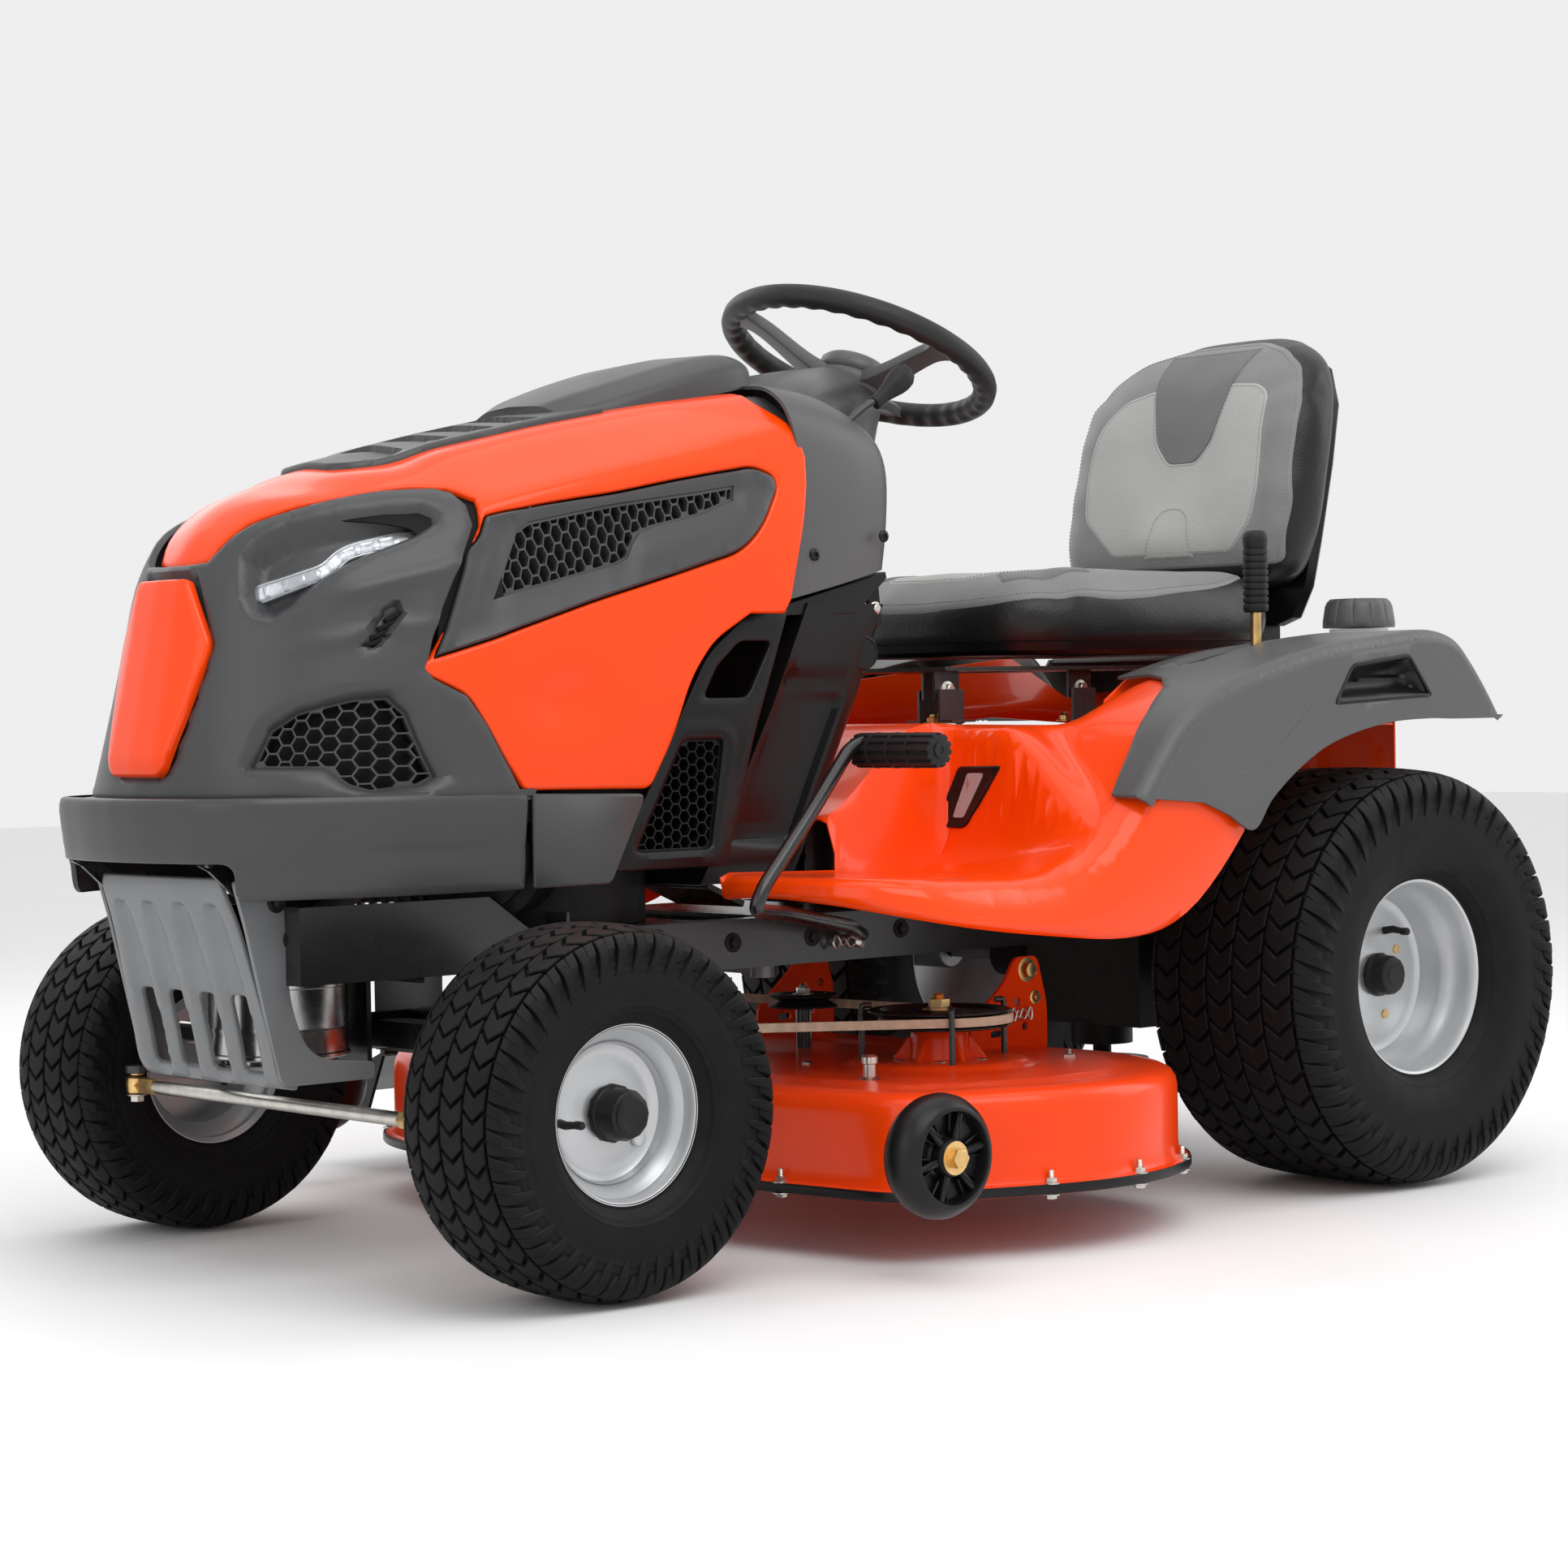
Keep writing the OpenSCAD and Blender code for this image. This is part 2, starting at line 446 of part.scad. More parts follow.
// ---------- mower deck ----------
module deck_outline(r) hull() {
  translate(lm) circle(r = r, $fn = 64);
  translate(rm) circle(r = r, $fn = 64);
  translate([800 - 280 + r, 415]) circle(r = 60, $fn = 32);
  translate([440 + 280 - r, 400]) circle(r = 60, $fn = 32);
}
module deck_shell() color(orange) difference() {
  union() {
    translate([0, 0, deck_lip_z]) linear_extrude(height = deck_top_z - deck_lip_z - 14) deck_outline(270);
    translate([0, 0, deck_top_z - 14.01]) linear_extrude(height = 14) deck_outline(258);
    translate([0, 0, deck_lip_z]) linear_extrude(height = 4) deck_outline(282);
  }
  translate([0, 0, deck_lip_z - 1]) linear_extrude(height = deck_top_z - deck_lip_z - 14) deck_outline(270 - deck_t);
  translate([0, 0, deck_lip_z - 1]) linear_extrude(height = deck_top_z - deck_lip_z - 2) deck_outline(254);
  // holes for the mandrel housings
  for (m = [lm, rm]) translate([m[0], m[1], 150]) cylinder(r = 34, h = 40);
  // side discharge
  box([520, -600, 60], [800, -440, 150]);
}
module deck_trim() color(black) difference() {
  translate([0, 0, deck_lip_z + 4.2]) linear_extrude(height = 8) deck_outline(281);
  translate([0, 0, deck_lip_z]) linear_extrude(height = 20) deck_outline(271);
  box([300, -700, 50], [1100, 180, 100]);
}
module mandrel_housings() color(orange) for (m = [lm, rm]) translate([m[0], m[1], 0]) difference() {
  union() { translate([0, 0, 158]) cylinder(r = 33, h = 66); translate([0, 0, deck_top_z + 0.2]) cylinder(r = 62, h = 5); }
  translate([0, 0, 150]) cylinder(r = 12.6, h = 90);
}
module mandrel(m) color(black) translate([m[0], m[1], 0]) {
  translate([0, 0, 104]) cylinder(r = 12.5, h = 150);
  translate([0, 0, 226]) rotate_extrude() polygon([[0, 0], [82, 0], [82, 2], [72, 10], [82, 18], [82, 20], [0, 20]]);
  translate([0, 0, 246]) cylinder(r = 15, h = 12, $fn = 6);
}
module left_mandrel() mandrel(lm);
module right_mandrel() mandrel(rm);
module blade(m, a) color([0.3, 0.3, 0.3]) translate([m[0], m[1], 96]) rotate([0, 0, a]) difference() {
  union() { box([-blade_r, -30, 0], [blade_r, 30, 6]); for (s = [0, 180]) rotate([0, 0, s]) translate([150, 8, 5]) rotate([30, 0, 0]) cube([90, 26, 4]); }
  difference() { translate([0, 0, -5]) cylinder(r = 400, h = 40); translate([0, 0, -6]) cylinder(r = blade_r, h = 50); }
}
module left_blade() { blade(lm, 0); color([0.4, 0.4, 0.4]) translate([lm[0], lm[1], 84]) cylinder(r = 13, h = 12, $fn = 6); translate([lm[0], lm[1], 102]) cylinder(r = 24, h = 2); }
module right_blade() { blade(rm, 90); translate([rm[0], rm[1], 84]) cylinder(r = 13, h = 12, $fn = 6); translate([rm[0], rm[1], 102]) cylinder(r = 24, h = 2); }
// belt loop round the two mandrel pulleys and past the engine pulley
module belt_loop(d) hull() {
  translate(lm) circle(r = 79 + d, $fn = 48);
  translate(rm) circle(r = 79 + d, $fn = 48);
  translate([980, 0]) circle(r = 68 + d, $fn = 48);
}
module deck_belt() color([0.8, 0.74, 0.62]) translate([0, 0, 231]) linear_extrude(height = 10) difference() { belt_loop(6); belt_loop(0); }
module deck_hangers() color(orange) {
  // rear hanger brackets that rise beside the frame
  both() { side(190, 194, [[350, deck_top_z + 0.2], [480, deck_top_z + 0.2], [480, 262], [400, 290], [360, 280]]);
    box([350, 190, deck_top_z + 0.2], [480, 215, deck_top_z + 4]); }
  // front hanger
  both() side(80, 84, [[860, deck_top_z + 0.2], [900, deck_top_z + 0.2], [905, 226], [880, 226]]);
}
module gauge_wheel(y, s) color(black) translate([892, y, 130]) rotate([-90 * s, 0, 0]) difference() {
  rotate_extrude($fn = 64) polygon(concat([for (a = [-34:4:34]) [66 * cos(a), 66 * sin(a)]] + [for (a = [-34:4:34]) [3, 0]],
    [[46, 38], [44, 14], [20, 14], [20, 34], [8.05, 34], [8.05, -34], [20, -34], [20, -14], [44, -14], [46, -38]]));
  for (a = [0:60:300]) rotate([0, 0, a]) translate([32, 0, -20]) cylinder(r = 8, h = 40);
}
module gauge_wheel_left() gauge_wheel(560, 1);
module gauge_wheel_right() gauge_wheel(-560, -1);
module chute_deflector() color(black) {
  loft([for (t = [[-552, 160], [-560, 160], [-720, 96]]) [[522, t[0], t[1]], [522, t[0], t[1] - 5], [798, t[0], t[1] - 5], [798, t[0], t[1]]]]);
  for (x = [522, 793]) loft([for (k = [0, 5]) [[x + k, -560, 157], [x + k, -718, 93], [x + k, -718, 72], [x + k, -600, 76]]]);
  xcyl(516, 804, -552, 161, 5);
}

// ---------- front axle ----------
module axle_beam() color(black) difference() {
  union() {
    xcyl(1160, 1240, 0, 250, 20);
    loft([for (t = [[-272, 255], [-120, 250], [120, 250], [272, 255]]) [[1182, t[0], t[1] - 14], [1182, t[0], t[1] + 14], [1218, t[0], t[1] + 14], [1218, t[0], t[1] - 14]]]);
    both() translate([wheelbase, kingpin_y, 222]) cylinder(r = 18, h = 64);
    // brackets that carry the deck gauge of the axle
  }
  xcyl(1150, 1250, 0, 250, 10.1);
  both() translate([wheelbase, kingpin_y, 200]) cylinder(r = 10.1, h = 100);
}
module spindle() {
  translate([wheelbase, kingpin_y, 180]) cylinder(r = 10, h = 112);
  translate([wheelbase, kingpin_y, 287]) cylinder(r = 16, h = 5);
  translate([wheelbase, kingpin_y, 172]) cylinder(r = 17, h = 49);
  ycyl(wheelbase, kingpin_y, front_track + 62, fz, 9.5);
  // steering arm to the front
  box([wheelbase, kingpin_y - 11, 196], [wheelbase + arm_l, kingpin_y + 11, 204]);
  translate([wheelbase + arm_l, kingpin_y, 196]) cylinder(r = 13, h = 8);
}
module left_spindle() color(black) {
  spindle();
  // inward drag arm on top of the kingpin
  box([wheelbase - 10, kingpin_y - 70, 287.5], [wheelbase + 10, kingpin_y, 295]);
  translate([wheelbase, kingpin_y - 70, 287.5]) cylinder(r = 12, h = 7.5);
}
module right_spindle() color(black) mirror([0, 1, 0]) spindle();
module tie_rod() color(zinc) {
  rod([wheelbase + arm_l, -kingpin_y, 182], [wheelbase + arm_l, kingpin_y, 182], 8);
  both() translate([wheelbase + arm_l, kingpin_y, 174]) cylinder(r = 12, h = 21.5);
}
sector_p = [740, 118, 288];
module steering_sector() color([0.5, 0.5, 0.52]) {
  translate(sector_p) translate([0, 0, -4]) cylinder(r = 14, h = 50);
  box([730, 48, 288], [750, 118, 296]);
  translate([740, 48, 288]) cylinder(r = 12, h = 8);
  // toothed quadrant
  translate([740, 118, 304]) linear_extrude(height = 8) polygon(concat([[0, 0]], [for (a = [-130:4:-50]) (58 + (a % 8 == 0 ? 4 : 0)) * [cos(a), sin(a)]]));
}
module drag_link() color(zinc) {
  rod([740, 48, 274], [1200, 208, 278], 6);
  translate([740, 48, 270]) cylinder(r = 11, h = 10);
  translate([1200, 208, 271]) cylinder(r = 11, h = 16);
}

// ---------- wheels ----------
// tyre section: rounded carcass with an open bead, turned round the wheel axis
module tyre(r, w, rr) rotate([-90, 0, 0]) rotate_extrude($fn = 72) polygon(concat(
  [[rr, -w * 0.36], [rr + 6, -w * 0.362], [rr + 14, -w * 0.43], [rr + (r - rr) * 0.38, -w * 0.5], [rr + (r - rr) * 0.62, -w * 0.5], [r - w * 0.13, -w * 0.455], [r - w * 0.035, -w * 0.33], [r, -w * 0.16]],
  [[r, w * 0.16], [r - w * 0.035, w * 0.33], [r - w * 0.13, w * 0.455], [rr + (r - rr) * 0.62, w * 0.5], [rr + (r - rr) * 0.38, w * 0.5], [rr + 14, w * 0.43], [rr + 6, w * 0.362], [rr, w * 0.36]],
  [[rr, w * 0.3], [rr + 10, w * 0.33], [rr + (r - rr) * 0.45, w * 0.42], [r - w * 0.17, w * 0.36], [r - 14, w * 0.1],
   [r - 14, -w * 0.1], [r - w * 0.17, -w * 0.36], [rr + (r - rr) * 0.45, -w * 0.42], [rr + 10, -w * 0.33], [rr, -w * 0.3]]));
// rim: stepped dish, bead seats and hub; the dish faces +Y
module rim(rr, w, dish, hub_r, bore_r, hub0, hub1) rotate([-90, 0, 0]) difference() {
  rotate_extrude($fn = 72) polygon([[rr + 4, w * 0.385], [rr - 1, w * 0.385], [rr - 3, w * 0.28], [rr - 14, w * 0.2], [rr - 16, dish + 4],
    [hub_r + 8, dish + 4], [hub_r + 8, dish], [rr - 19, dish], [rr - 19, -w * 0.2], [rr - 5, -w * 0.28], [rr - 3.5, -w * 0.385], [rr + 4, -w * 0.385],
    [rr + 4, -w * 0.368], [rr - 0.3, -w * 0.36], [rr - 0.3, -w * 0.27], [rr - 13, -w * 0.18], [rr - 13, w * 0.18], [rr - 0.3, w * 0.27], [rr - 0.3, w * 0.36], [rr + 4, w * 0.368]]);
}
module hub(r, bore, y0, y1) difference() { ycyl(0, y0, y1, 0, r); ycyl(0, y0 - 1, y1 + 1, 0, bore); }
module front_wheel_rim() {
  rim(88, front_w, 18, 17, 9.6, 0, 0);
  hub(26, 9.6, -52, 44);
  // domed hub cap on the shaft's end
  color(black) difference() { translate([0, 44.01, 0]) rotate([-90, 0, 0]) cylinder(r1 = 26, r2 = 20, h = 22); ycyl(0, 40, 63, 0, 10.5); }
}
module rear_wheel_rim() {
  rim(115, rear_w, 20, 22, 9.6, 0, 0);
  hub(32, 9, -60, 40);
  ycyl(0, -270, 52, 0, 9.55);
  color(black) translate([0, 40.01, 0]) rotate([-90, 0, 0]) cylinder(r1 = 24, r2 = 18, h = 20);
}
silver = [0.78, 0.79, 0.8];
module at_fl() translate([wheelbase, front_track, fz]) children();
module at_rl() translate([0, rear_track, rz]) children();
module front_left_tyre() color(black) at_fl() tyre(fz, front_w, 88);
module front_right_tyre() color(black) mirror([0, 1, 0]) at_fl() tyre(fz, front_w, 88);
module rear_left_tyre() color(black) at_rl() tyre(rz, rear_w, 115);
module rear_right_tyre() color(black) mirror([0, 1, 0]) at_rl() tyre(rz, rear_w, 115);
module front_left_rim() color(silver) at_fl() front_wheel_rim();
module front_right_rim() color(silver) mirror([0, 1, 0]) at_fl() front_wheel_rim();
module rear_left_rim() color(silver) at_rl() rear_wheel_rim();
module rear_right_rim() color(silver) mirror([0, 1, 0]) at_rl() rear_wheel_rim();

frame_rails();
hitch_plate();
front_guard();
muffler();
engine_block();
engine_shroud();
battery();
fuel_tank();
dash_cowl();
lower_dash();
engine_side_covers();
fender_body();
fender_covers();
transaxle();
steering_column();
crank_pulley();
fuel_cap();
seat_pan();
seat_shell();
seat_cushion();
seat_back();
steering_wheel();
throttle_lever();
pto_knob();
ignition_key();
brake_pedal();
drive_pedals();
lift_lever();
deck_shell();
deck_trim();
mandrel_housings();
deck_belt();
deck_hangers();
left_mandrel();
right_mandrel();
left_blade();
right_blade();
gauge_wheel_left();
gauge_wheel_right();
chute_deflector();
axle_beam();
left_spindle();
right_spindle();
tie_rod();
steering_sector();
drag_link();
hood_shell();
front_fascia();
nose_panel();
headlamps();
side_vents();
hood_scoop();
front_left_tyre();
front_left_rim();
front_right_tyre();
front_right_rim();
rear_left_tyre();
rear_left_rim();
rear_right_tyre();
rear_right_rim();
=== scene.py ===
import math
import bpy
import bmesh
import numpy as np
from mathutils import Vector, Matrix
from mathutils.bvhtree import BVHTree
from mathutils.geometry import delaunay_2d_cdt


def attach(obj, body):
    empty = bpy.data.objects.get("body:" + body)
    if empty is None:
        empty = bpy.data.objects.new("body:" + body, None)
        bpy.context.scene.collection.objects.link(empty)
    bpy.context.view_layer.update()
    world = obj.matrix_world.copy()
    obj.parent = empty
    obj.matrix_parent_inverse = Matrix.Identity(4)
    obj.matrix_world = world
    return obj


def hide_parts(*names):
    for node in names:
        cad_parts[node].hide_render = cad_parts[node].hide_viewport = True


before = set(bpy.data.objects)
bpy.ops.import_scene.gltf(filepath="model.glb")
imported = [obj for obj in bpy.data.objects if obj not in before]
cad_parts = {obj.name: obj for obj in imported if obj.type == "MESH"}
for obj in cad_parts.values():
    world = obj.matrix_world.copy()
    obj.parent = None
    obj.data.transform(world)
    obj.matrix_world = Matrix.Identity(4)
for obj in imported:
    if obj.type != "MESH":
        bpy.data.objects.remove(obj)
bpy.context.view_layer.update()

COL = bpy.context.scene.collection
MM = 0.001

# ------------------------------------------------------------------ camera
def camera():
    F = Vector((-0.66215483, -0.74900654, -0.02324164)).normalized()
    U = Vector((-0.02805, -0.00621971, 0.99958717))
    R = F.cross(U).normalized(); U = R.cross(F)
    data = bpy.data.cameras.new("camera")
    data.sensor_width = 36.0
    data.lens = 36.0 * 4338.74 / 1932.0
    data.shift_y = 4.476 / 1932.0
    data.clip_start, data.clip_end = 0.1, 100
    cam = bpy.data.objects.new("camera", data)
    m = Matrix(((R.x, U.x, -F.x, 3.398146), (R.y, U.y, -F.y, 3.168382), (R.z, U.z, -F.z, 0.595633), (0, 0, 0, 1)))
    cam.matrix_world = m
    COL.objects.link(cam)
    bpy.context.scene.camera = cam
camera()

# ------------------------------------------------------------------ materials
def mat(name, col, rough=0.45, metal=0.0, vary=0.08, vscale=18.0, rvary=0.12, bump=0.0, bscale=400.0,
        coat=0.0, coat_rough=0.05, spec=0.5, grain=None, wear=None, sheen=0.0, stretch=(1, 1, 1), dust=0.0, flake=0.0):
    m = bpy.data.materials.new(name)
    m.use_nodes = True
    nt = m.node_tree; N = nt.nodes; L = nt.links
    bs = N["Principled BSDF"]
    bs.inputs["Metallic"].default_value = metal
    bs.inputs["Coat Weight"].default_value = coat
    bs.inputs["Coat Roughness"].default_value = coat_rough
    bs.inputs["Specular IOR Level"].default_value = spec
    bs.inputs["Sheen Weight"].default_value = sheen
    tc = N.new("ShaderNodeTexCoord")
    mp = N.new("ShaderNodeMapping"); mp.inputs["Scale"].default_value = stretch
    L.new(tc.outputs["Object"], mp.inputs["Vector"])
    n1 = N.new("ShaderNodeTexNoise"); n1.inputs["Scale"].default_value = vscale; n1.inputs["Detail"].default_value = 5
    L.new(mp.outputs["Vector"], n1.inputs["Vector"])
    cr = N.new("ShaderNodeValToRGB")
    lo = [max(0, c * (1 - vary)) for c in col]; hi = [min(1, c * (1 + vary)) for c in col]
    cr.color_ramp.elements[0].position = 0.32; cr.color_ramp.elements[1].position = 0.68
    cr.color_ramp.elements[0].color = (*lo, 1); cr.color_ramp.elements[1].color = (*hi, 1)
    L.new(n1.outputs["Fac"], cr.inputs["Fac"])
    out = cr.outputs["Color"]
    if wear is not None:
        geo = N.new("ShaderNodeNewGeometry")
        wr = N.new("ShaderNodeValToRGB")
        wr.color_ramp.elements[0].position = 0.53; wr.color_ramp.elements[1].position = 0.62
        wr.color_ramp.elements[0].color = (0, 0, 0, 1); wr.color_ramp.elements[1].color = (0.55, 0.55, 0.55, 1)
        L.new(geo.outputs["Pointiness"], wr.inputs["Fac"])
        mx = N.new("ShaderNodeMix"); mx.data_type = "RGBA"
        L.new(wr.outputs["Color"], mx.inputs["Factor"])
        L.new(out, mx.inputs["A"]); mx.inputs["B"].default_value = (*wear, 1)
        out = mx.outputs["Result"]
    if dust > 0:
        geo = N.new("ShaderNodeNewGeometry"); sx = N.new("ShaderNodeSeparateXYZ")
        L.new(geo.outputs["Normal"], sx.inputs[0])
        mr = N.new("ShaderNodeMapRange"); mr.inputs["From Min"].default_value = 0.2; mr.inputs["To Max"].default_value = dust
        L.new(sx.outputs["Z"], mr.inputs["Value"])
        mu = N.new("ShaderNodeMath"); mu.operation = "MULTIPLY"
        L.new(mr.outputs["Result"], mu.inputs[0]); L.new(n1.outputs["Fac"], mu.inputs[1])
        mx = N.new("ShaderNodeMix"); mx.data_type = "RGBA"
        L.new(mu.outputs[0], mx.inputs["Factor"]); L.new(out, mx.inputs["A"]); mx.inputs["B"].default_value = (0.35, 0.33, 0.3, 1)
        out = mx.outputs["Result"]
    L.new(out, bs.inputs["Base Color"])
    n2 = N.new("ShaderNodeTexNoise"); n2.inputs["Scale"].default_value = vscale * 2.3; n2.inputs["Detail"].default_value = 4
    L.new(mp.outputs["Vector"], n2.inputs["Vector"])
    rr = N.new("ShaderNodeMapRange")
    rr.inputs["To Min"].default_value = max(0.02, rough * (1 - rvary)); rr.inputs["To Max"].default_value = min(1, rough * (1 + rvary))
    L.new(n2.outputs["Fac"], rr.inputs["Value"]); L.new(rr.outputs["Result"], bs.inputs["Roughness"])
    if bump > 0:
        if grain == "leather":
            t = N.new("ShaderNodeTexVoronoi"); t.inputs["Scale"].default_value = bscale; t.feature = "SMOOTH_F1"
            h = t.outputs["Distance"]
        elif grain == "brushed":
            t = N.new("ShaderNodeTexNoise"); t.inputs["Scale"].default_value = bscale; t.inputs["Detail"].default_value = 2
            h = t.outputs["Fac"]
        else:
            t = N.new("ShaderNodeTexNoise"); t.inputs["Scale"].default_value = bscale; t.inputs["Detail"].default_value = 3
            h = t.outputs["Fac"]
        L.new(mp.outputs["Vector"], t.inputs["Vector"])
        bp = N.new("ShaderNodeBump"); bp.inputs["Strength"].default_value = bump; bp.inputs["Distance"].default_value = 0.001
        L.new(h, bp.inputs["Height"]); L.new(bp.outputs["Normal"], bs.inputs["Normal"])
    return m

M = {}
M["orange"] = mat("orange_gloss", (0.92, 0.058, 0.0004), 0.26, vary=0.03, vscale=5, coat=0.28, spec=0.2, coat_rough=0.06, bump=0.05, bscale=90, rvary=0.15)
M["orange_deck"] = mat("orange_steel", (0.88, 0.052, 0.0004), 0.30, vary=0.05, vscale=9, coat=0.25, spec=0.2, coat_rough=0.1, bump=0.08, bscale=140, dust=0.05)
M["grey"] = mat("grey_satin", (0.048, 0.049, 0.051), 0.34, vary=0.05, vscale=7, bump=0.12, bscale=1400, rvary=0.16, spec=0.4)
M["cover"] = mat("grey_cover", (0.074, 0.075, 0.077), 0.40, vary=0.05, vscale=8, bump=0.16, bscale=1300, rvary=0.14)
M["black"] = mat("black_plastic", (0.006, 0.006, 0.0065), 0.33, vary=0.12, vscale=12, bump=0.14, bscale=1200, rvary=0.2, spec=0.28)
M["blackmatte"] = mat("black_matte", (0.006, 0.006, 0.0065), 0.62, vary=0.15, vscale=14, bump=0.2, bscale=1500, spec=0.15)
M["steel_black"] = mat("black_steel", (0.006, 0.006, 0.0065), 0.27, vary=0.12, vscale=16, bump=0.1, bscale=600, rvary=0.25, coat=0.25, coat_rough=0.2, wear=(0.05, 0.05, 0.05))
M["rubber"] = mat("tyre_rubber", (0.0055, 0.0055, 0.006), 0.62, vary=0.16, vscale=24, bump=0.3, bscale=900, rvary=0.15, dust=0.08, spec=0.16)
M["grip"] = mat("soft_grip", (0.012, 0.012, 0.013), 0.48, vary=0.12, vscale=30, bump=0.25, bscale=1600, spec=0.25)
M["wheelgrip"] = mat("wheel_grip", (0.016, 0.016, 0.0165), 0.42, vary=0.1, vscale=20, bump=0.22, bscale=1500, spec=0.3)
M["silver"] = mat("silver_paint", (0.56, 0.57, 0.58), 0.34, metal=0.55, vary=0.05, vscale=14, bump=0.1, bscale=900, coat=0.25, coat_rough=0.2)
M["zinc"] = mat("zinc_plate", (0.62, 0.60, 0.55), 0.30, metal=1.0, vary=0.12, vscale=60, bump=0.12, bscale=900)
M["brass"] = mat("yellow_zinc", (0.72, 0.48, 0.20), 0.34, metal=1.0, vary=0.25, vscale=50, bump=0.12, bscale=900)
M["muffler"] = mat("muffler_steel", (0.46, 0.45, 0.44), 0.24, metal=1.0, vary=0.2, vscale=22, bump=0.1, bscale=500, rvary=0.4)
M["guard"] = mat("guard_grey", (0.20, 0.205, 0.21), 0.42, metal=0.35, vary=0.06, vscale=14, bump=0.15, bscale=800)
M["castiron"] = mat("cast_alloy", (0.20, 0.20, 0.205), 0.46, metal=0.8, vary=0.15, vscale=30, bump=0.4, bscale=500)
M["castblack"] = mat("cast_black", (0.018, 0.018, 0.019), 0.5, metal=0.2, vary=0.2, vscale=30, bump=0.4, bscale=500, spec=0.2)
M["belt"] = mat("belt_fabric", (0.55, 0.47, 0.34), 0.8, vary=0.15, vscale=80, bump=0.5, bscale=1100)
M["tank"] = mat("tank_poly", (0.80, 0.80, 0.77), 0.38, vary=0.04, vscale=8, bump=0.1, bscale=400)
M["light"] = mat("seat_light", (0.335, 0.34, 0.325), 0.48, vary=0.06, vscale=9, bump=0.28, bscale=330, grain="leather", sheen=0.15)
M["mid"] = mat("seat_mid", (0.165, 0.166, 0.166), 0.46, vary=0.06, vscale=9, bump=0.28, bscale=340, grain="leather", sheen=0.12)
M["dark"] = mat("seat_dark", (0.105, 0.106, 0.108), 0.45, vary=0.06, vscale=9, bump=0.26, bscale=350, grain="leather", sheen=0.1)
M["seatblack"] = mat("seat_black", (0.011, 0.011, 0.0115), 0.36, vary=0.12, vscale=10, bump=0.25, bscale=300, grain="leather", rvary=0.18, spec=0.3)
M["thread"] = mat("thread", (0.27, 0.26, 0.26), 0.7, vary=0.2, vscale=300, bump=0.4, bscale=3000)
M["white"] = mat("white_print", (0.72, 0.72, 0.70), 0.5, vary=0.04, vscale=40)
M["chrome"] = mat("lamp_reflector", (0.5, 0.51, 0.53), 0.22, metal=1.0, vary=0.05, vscale=60, rvary=0.4)
M["copper"] = mat("terminal", (0.60, 0.56, 0.5), 0.35, metal=1.0, vary=0.15, vscale=60)

def glass(name, col, rough=0.04):
    m = mat(name, col, rough, vary=0.02, vscale=30, rvary=0.2, coat=0.4, coat_rough=0.03, bump=0.02, bscale=300)
    bs = m.node_tree.nodes["Principled BSDF"]
    bs.inputs["Transmission Weight"].default_value = 0.92
    bs.inputs["IOR"].default_value = 1.46
    return m
M["lens"] = glass("clear_lens", (0.93, 0.95, 0.97))
M["window"] = glass("clear_window", (0.85, 0.88, 0.9), 0.12)

# ------------------------------------------------------------------ mesh tools (millimetres in, metres out)
class MB:
    """gathers closed shells with a material each"""
    def __init__(s): s.v, s.f, s.m, s.n = [], [], [], 0
    def add(s, v, f, m=0):
        v = np.asarray(v, float).reshape(-1, 3)
        s.v.append(v); o = s.n
        s.f.extend([tuple(int(i) + o for i in q) for q in f]); s.m.extend([m] * len(f)); s.n += len(v)
        return s
    def data(s): return np.vstack(s.v), s.f, s.m

def make(name, body, mb, mats, smooth=35, repl=(), sub=0, bevel=None):
    if isinstance(mb, tuple): q = MB(); q.add(*mb); mb = q
    v, f, mi = mb.data()
    me = bpy.data.meshes.new(name)
    me.from_pydata((v * MM).tolist(), [], f)
    for m in mats if isinstance(mats, (list, tuple)) else [mats]:
        me.materials.append(M[m])
    me.polygons.foreach_set("material_index", mi)
    me.validate()
    ob = bpy.data.objects.new(name, me); COL.objects.link(ob)
    bm = bmesh.new(); bm.from_mesh(me)
    bmesh.ops.recalc_face_normals(bm, faces=bm.faces)
    bm.to_mesh(me); bm.free()
    if bevel:
        b = ob.modifiers.new("b", "BEVEL"); b.width = bevel * MM; b.segments = 2; b.limit_method = "ANGLE"; b.angle_limit = math.radians(40)
        bake(ob)
    if sub:
        b = ob.modifiers.new("s", "SUBSURF"); b.levels = b.render_levels = sub
        bake(ob)
    shade(ob, smooth)
    if body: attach(ob, body)
    if repl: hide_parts(*repl)
    return ob

def shade(ob, angle=35):
    me = ob.data
    me.polygons.foreach_set("use_smooth", [True] * len(me.polygons))
    if angle is not None and angle < 180:
        me.set_sharp_from_angle(angle=math.radians(angle))
    me.update()

def bake(ob):
    dg = bpy.context.evaluated_depsgraph_get(); dg.update()
    me = bpy.data.meshes.new_from_object(ob.evaluated_get(dg), preserve_all_data_layers=True, depsgraph=dg)
    ob.modifiers.clear(); old = ob.data; ob.data = me
    bpy.data.meshes.remove(old)
    return ob

def cut(ob, cutters, op="DIFFERENCE"):
    for c in cutters:
        m = ob.modifiers.new("c", "BOOLEAN"); m.operation = op; m.solver = "EXACT"; m.object = c
    bake(ob)
    for c in cutters: bpy.data.objects.remove(c)
    return ob

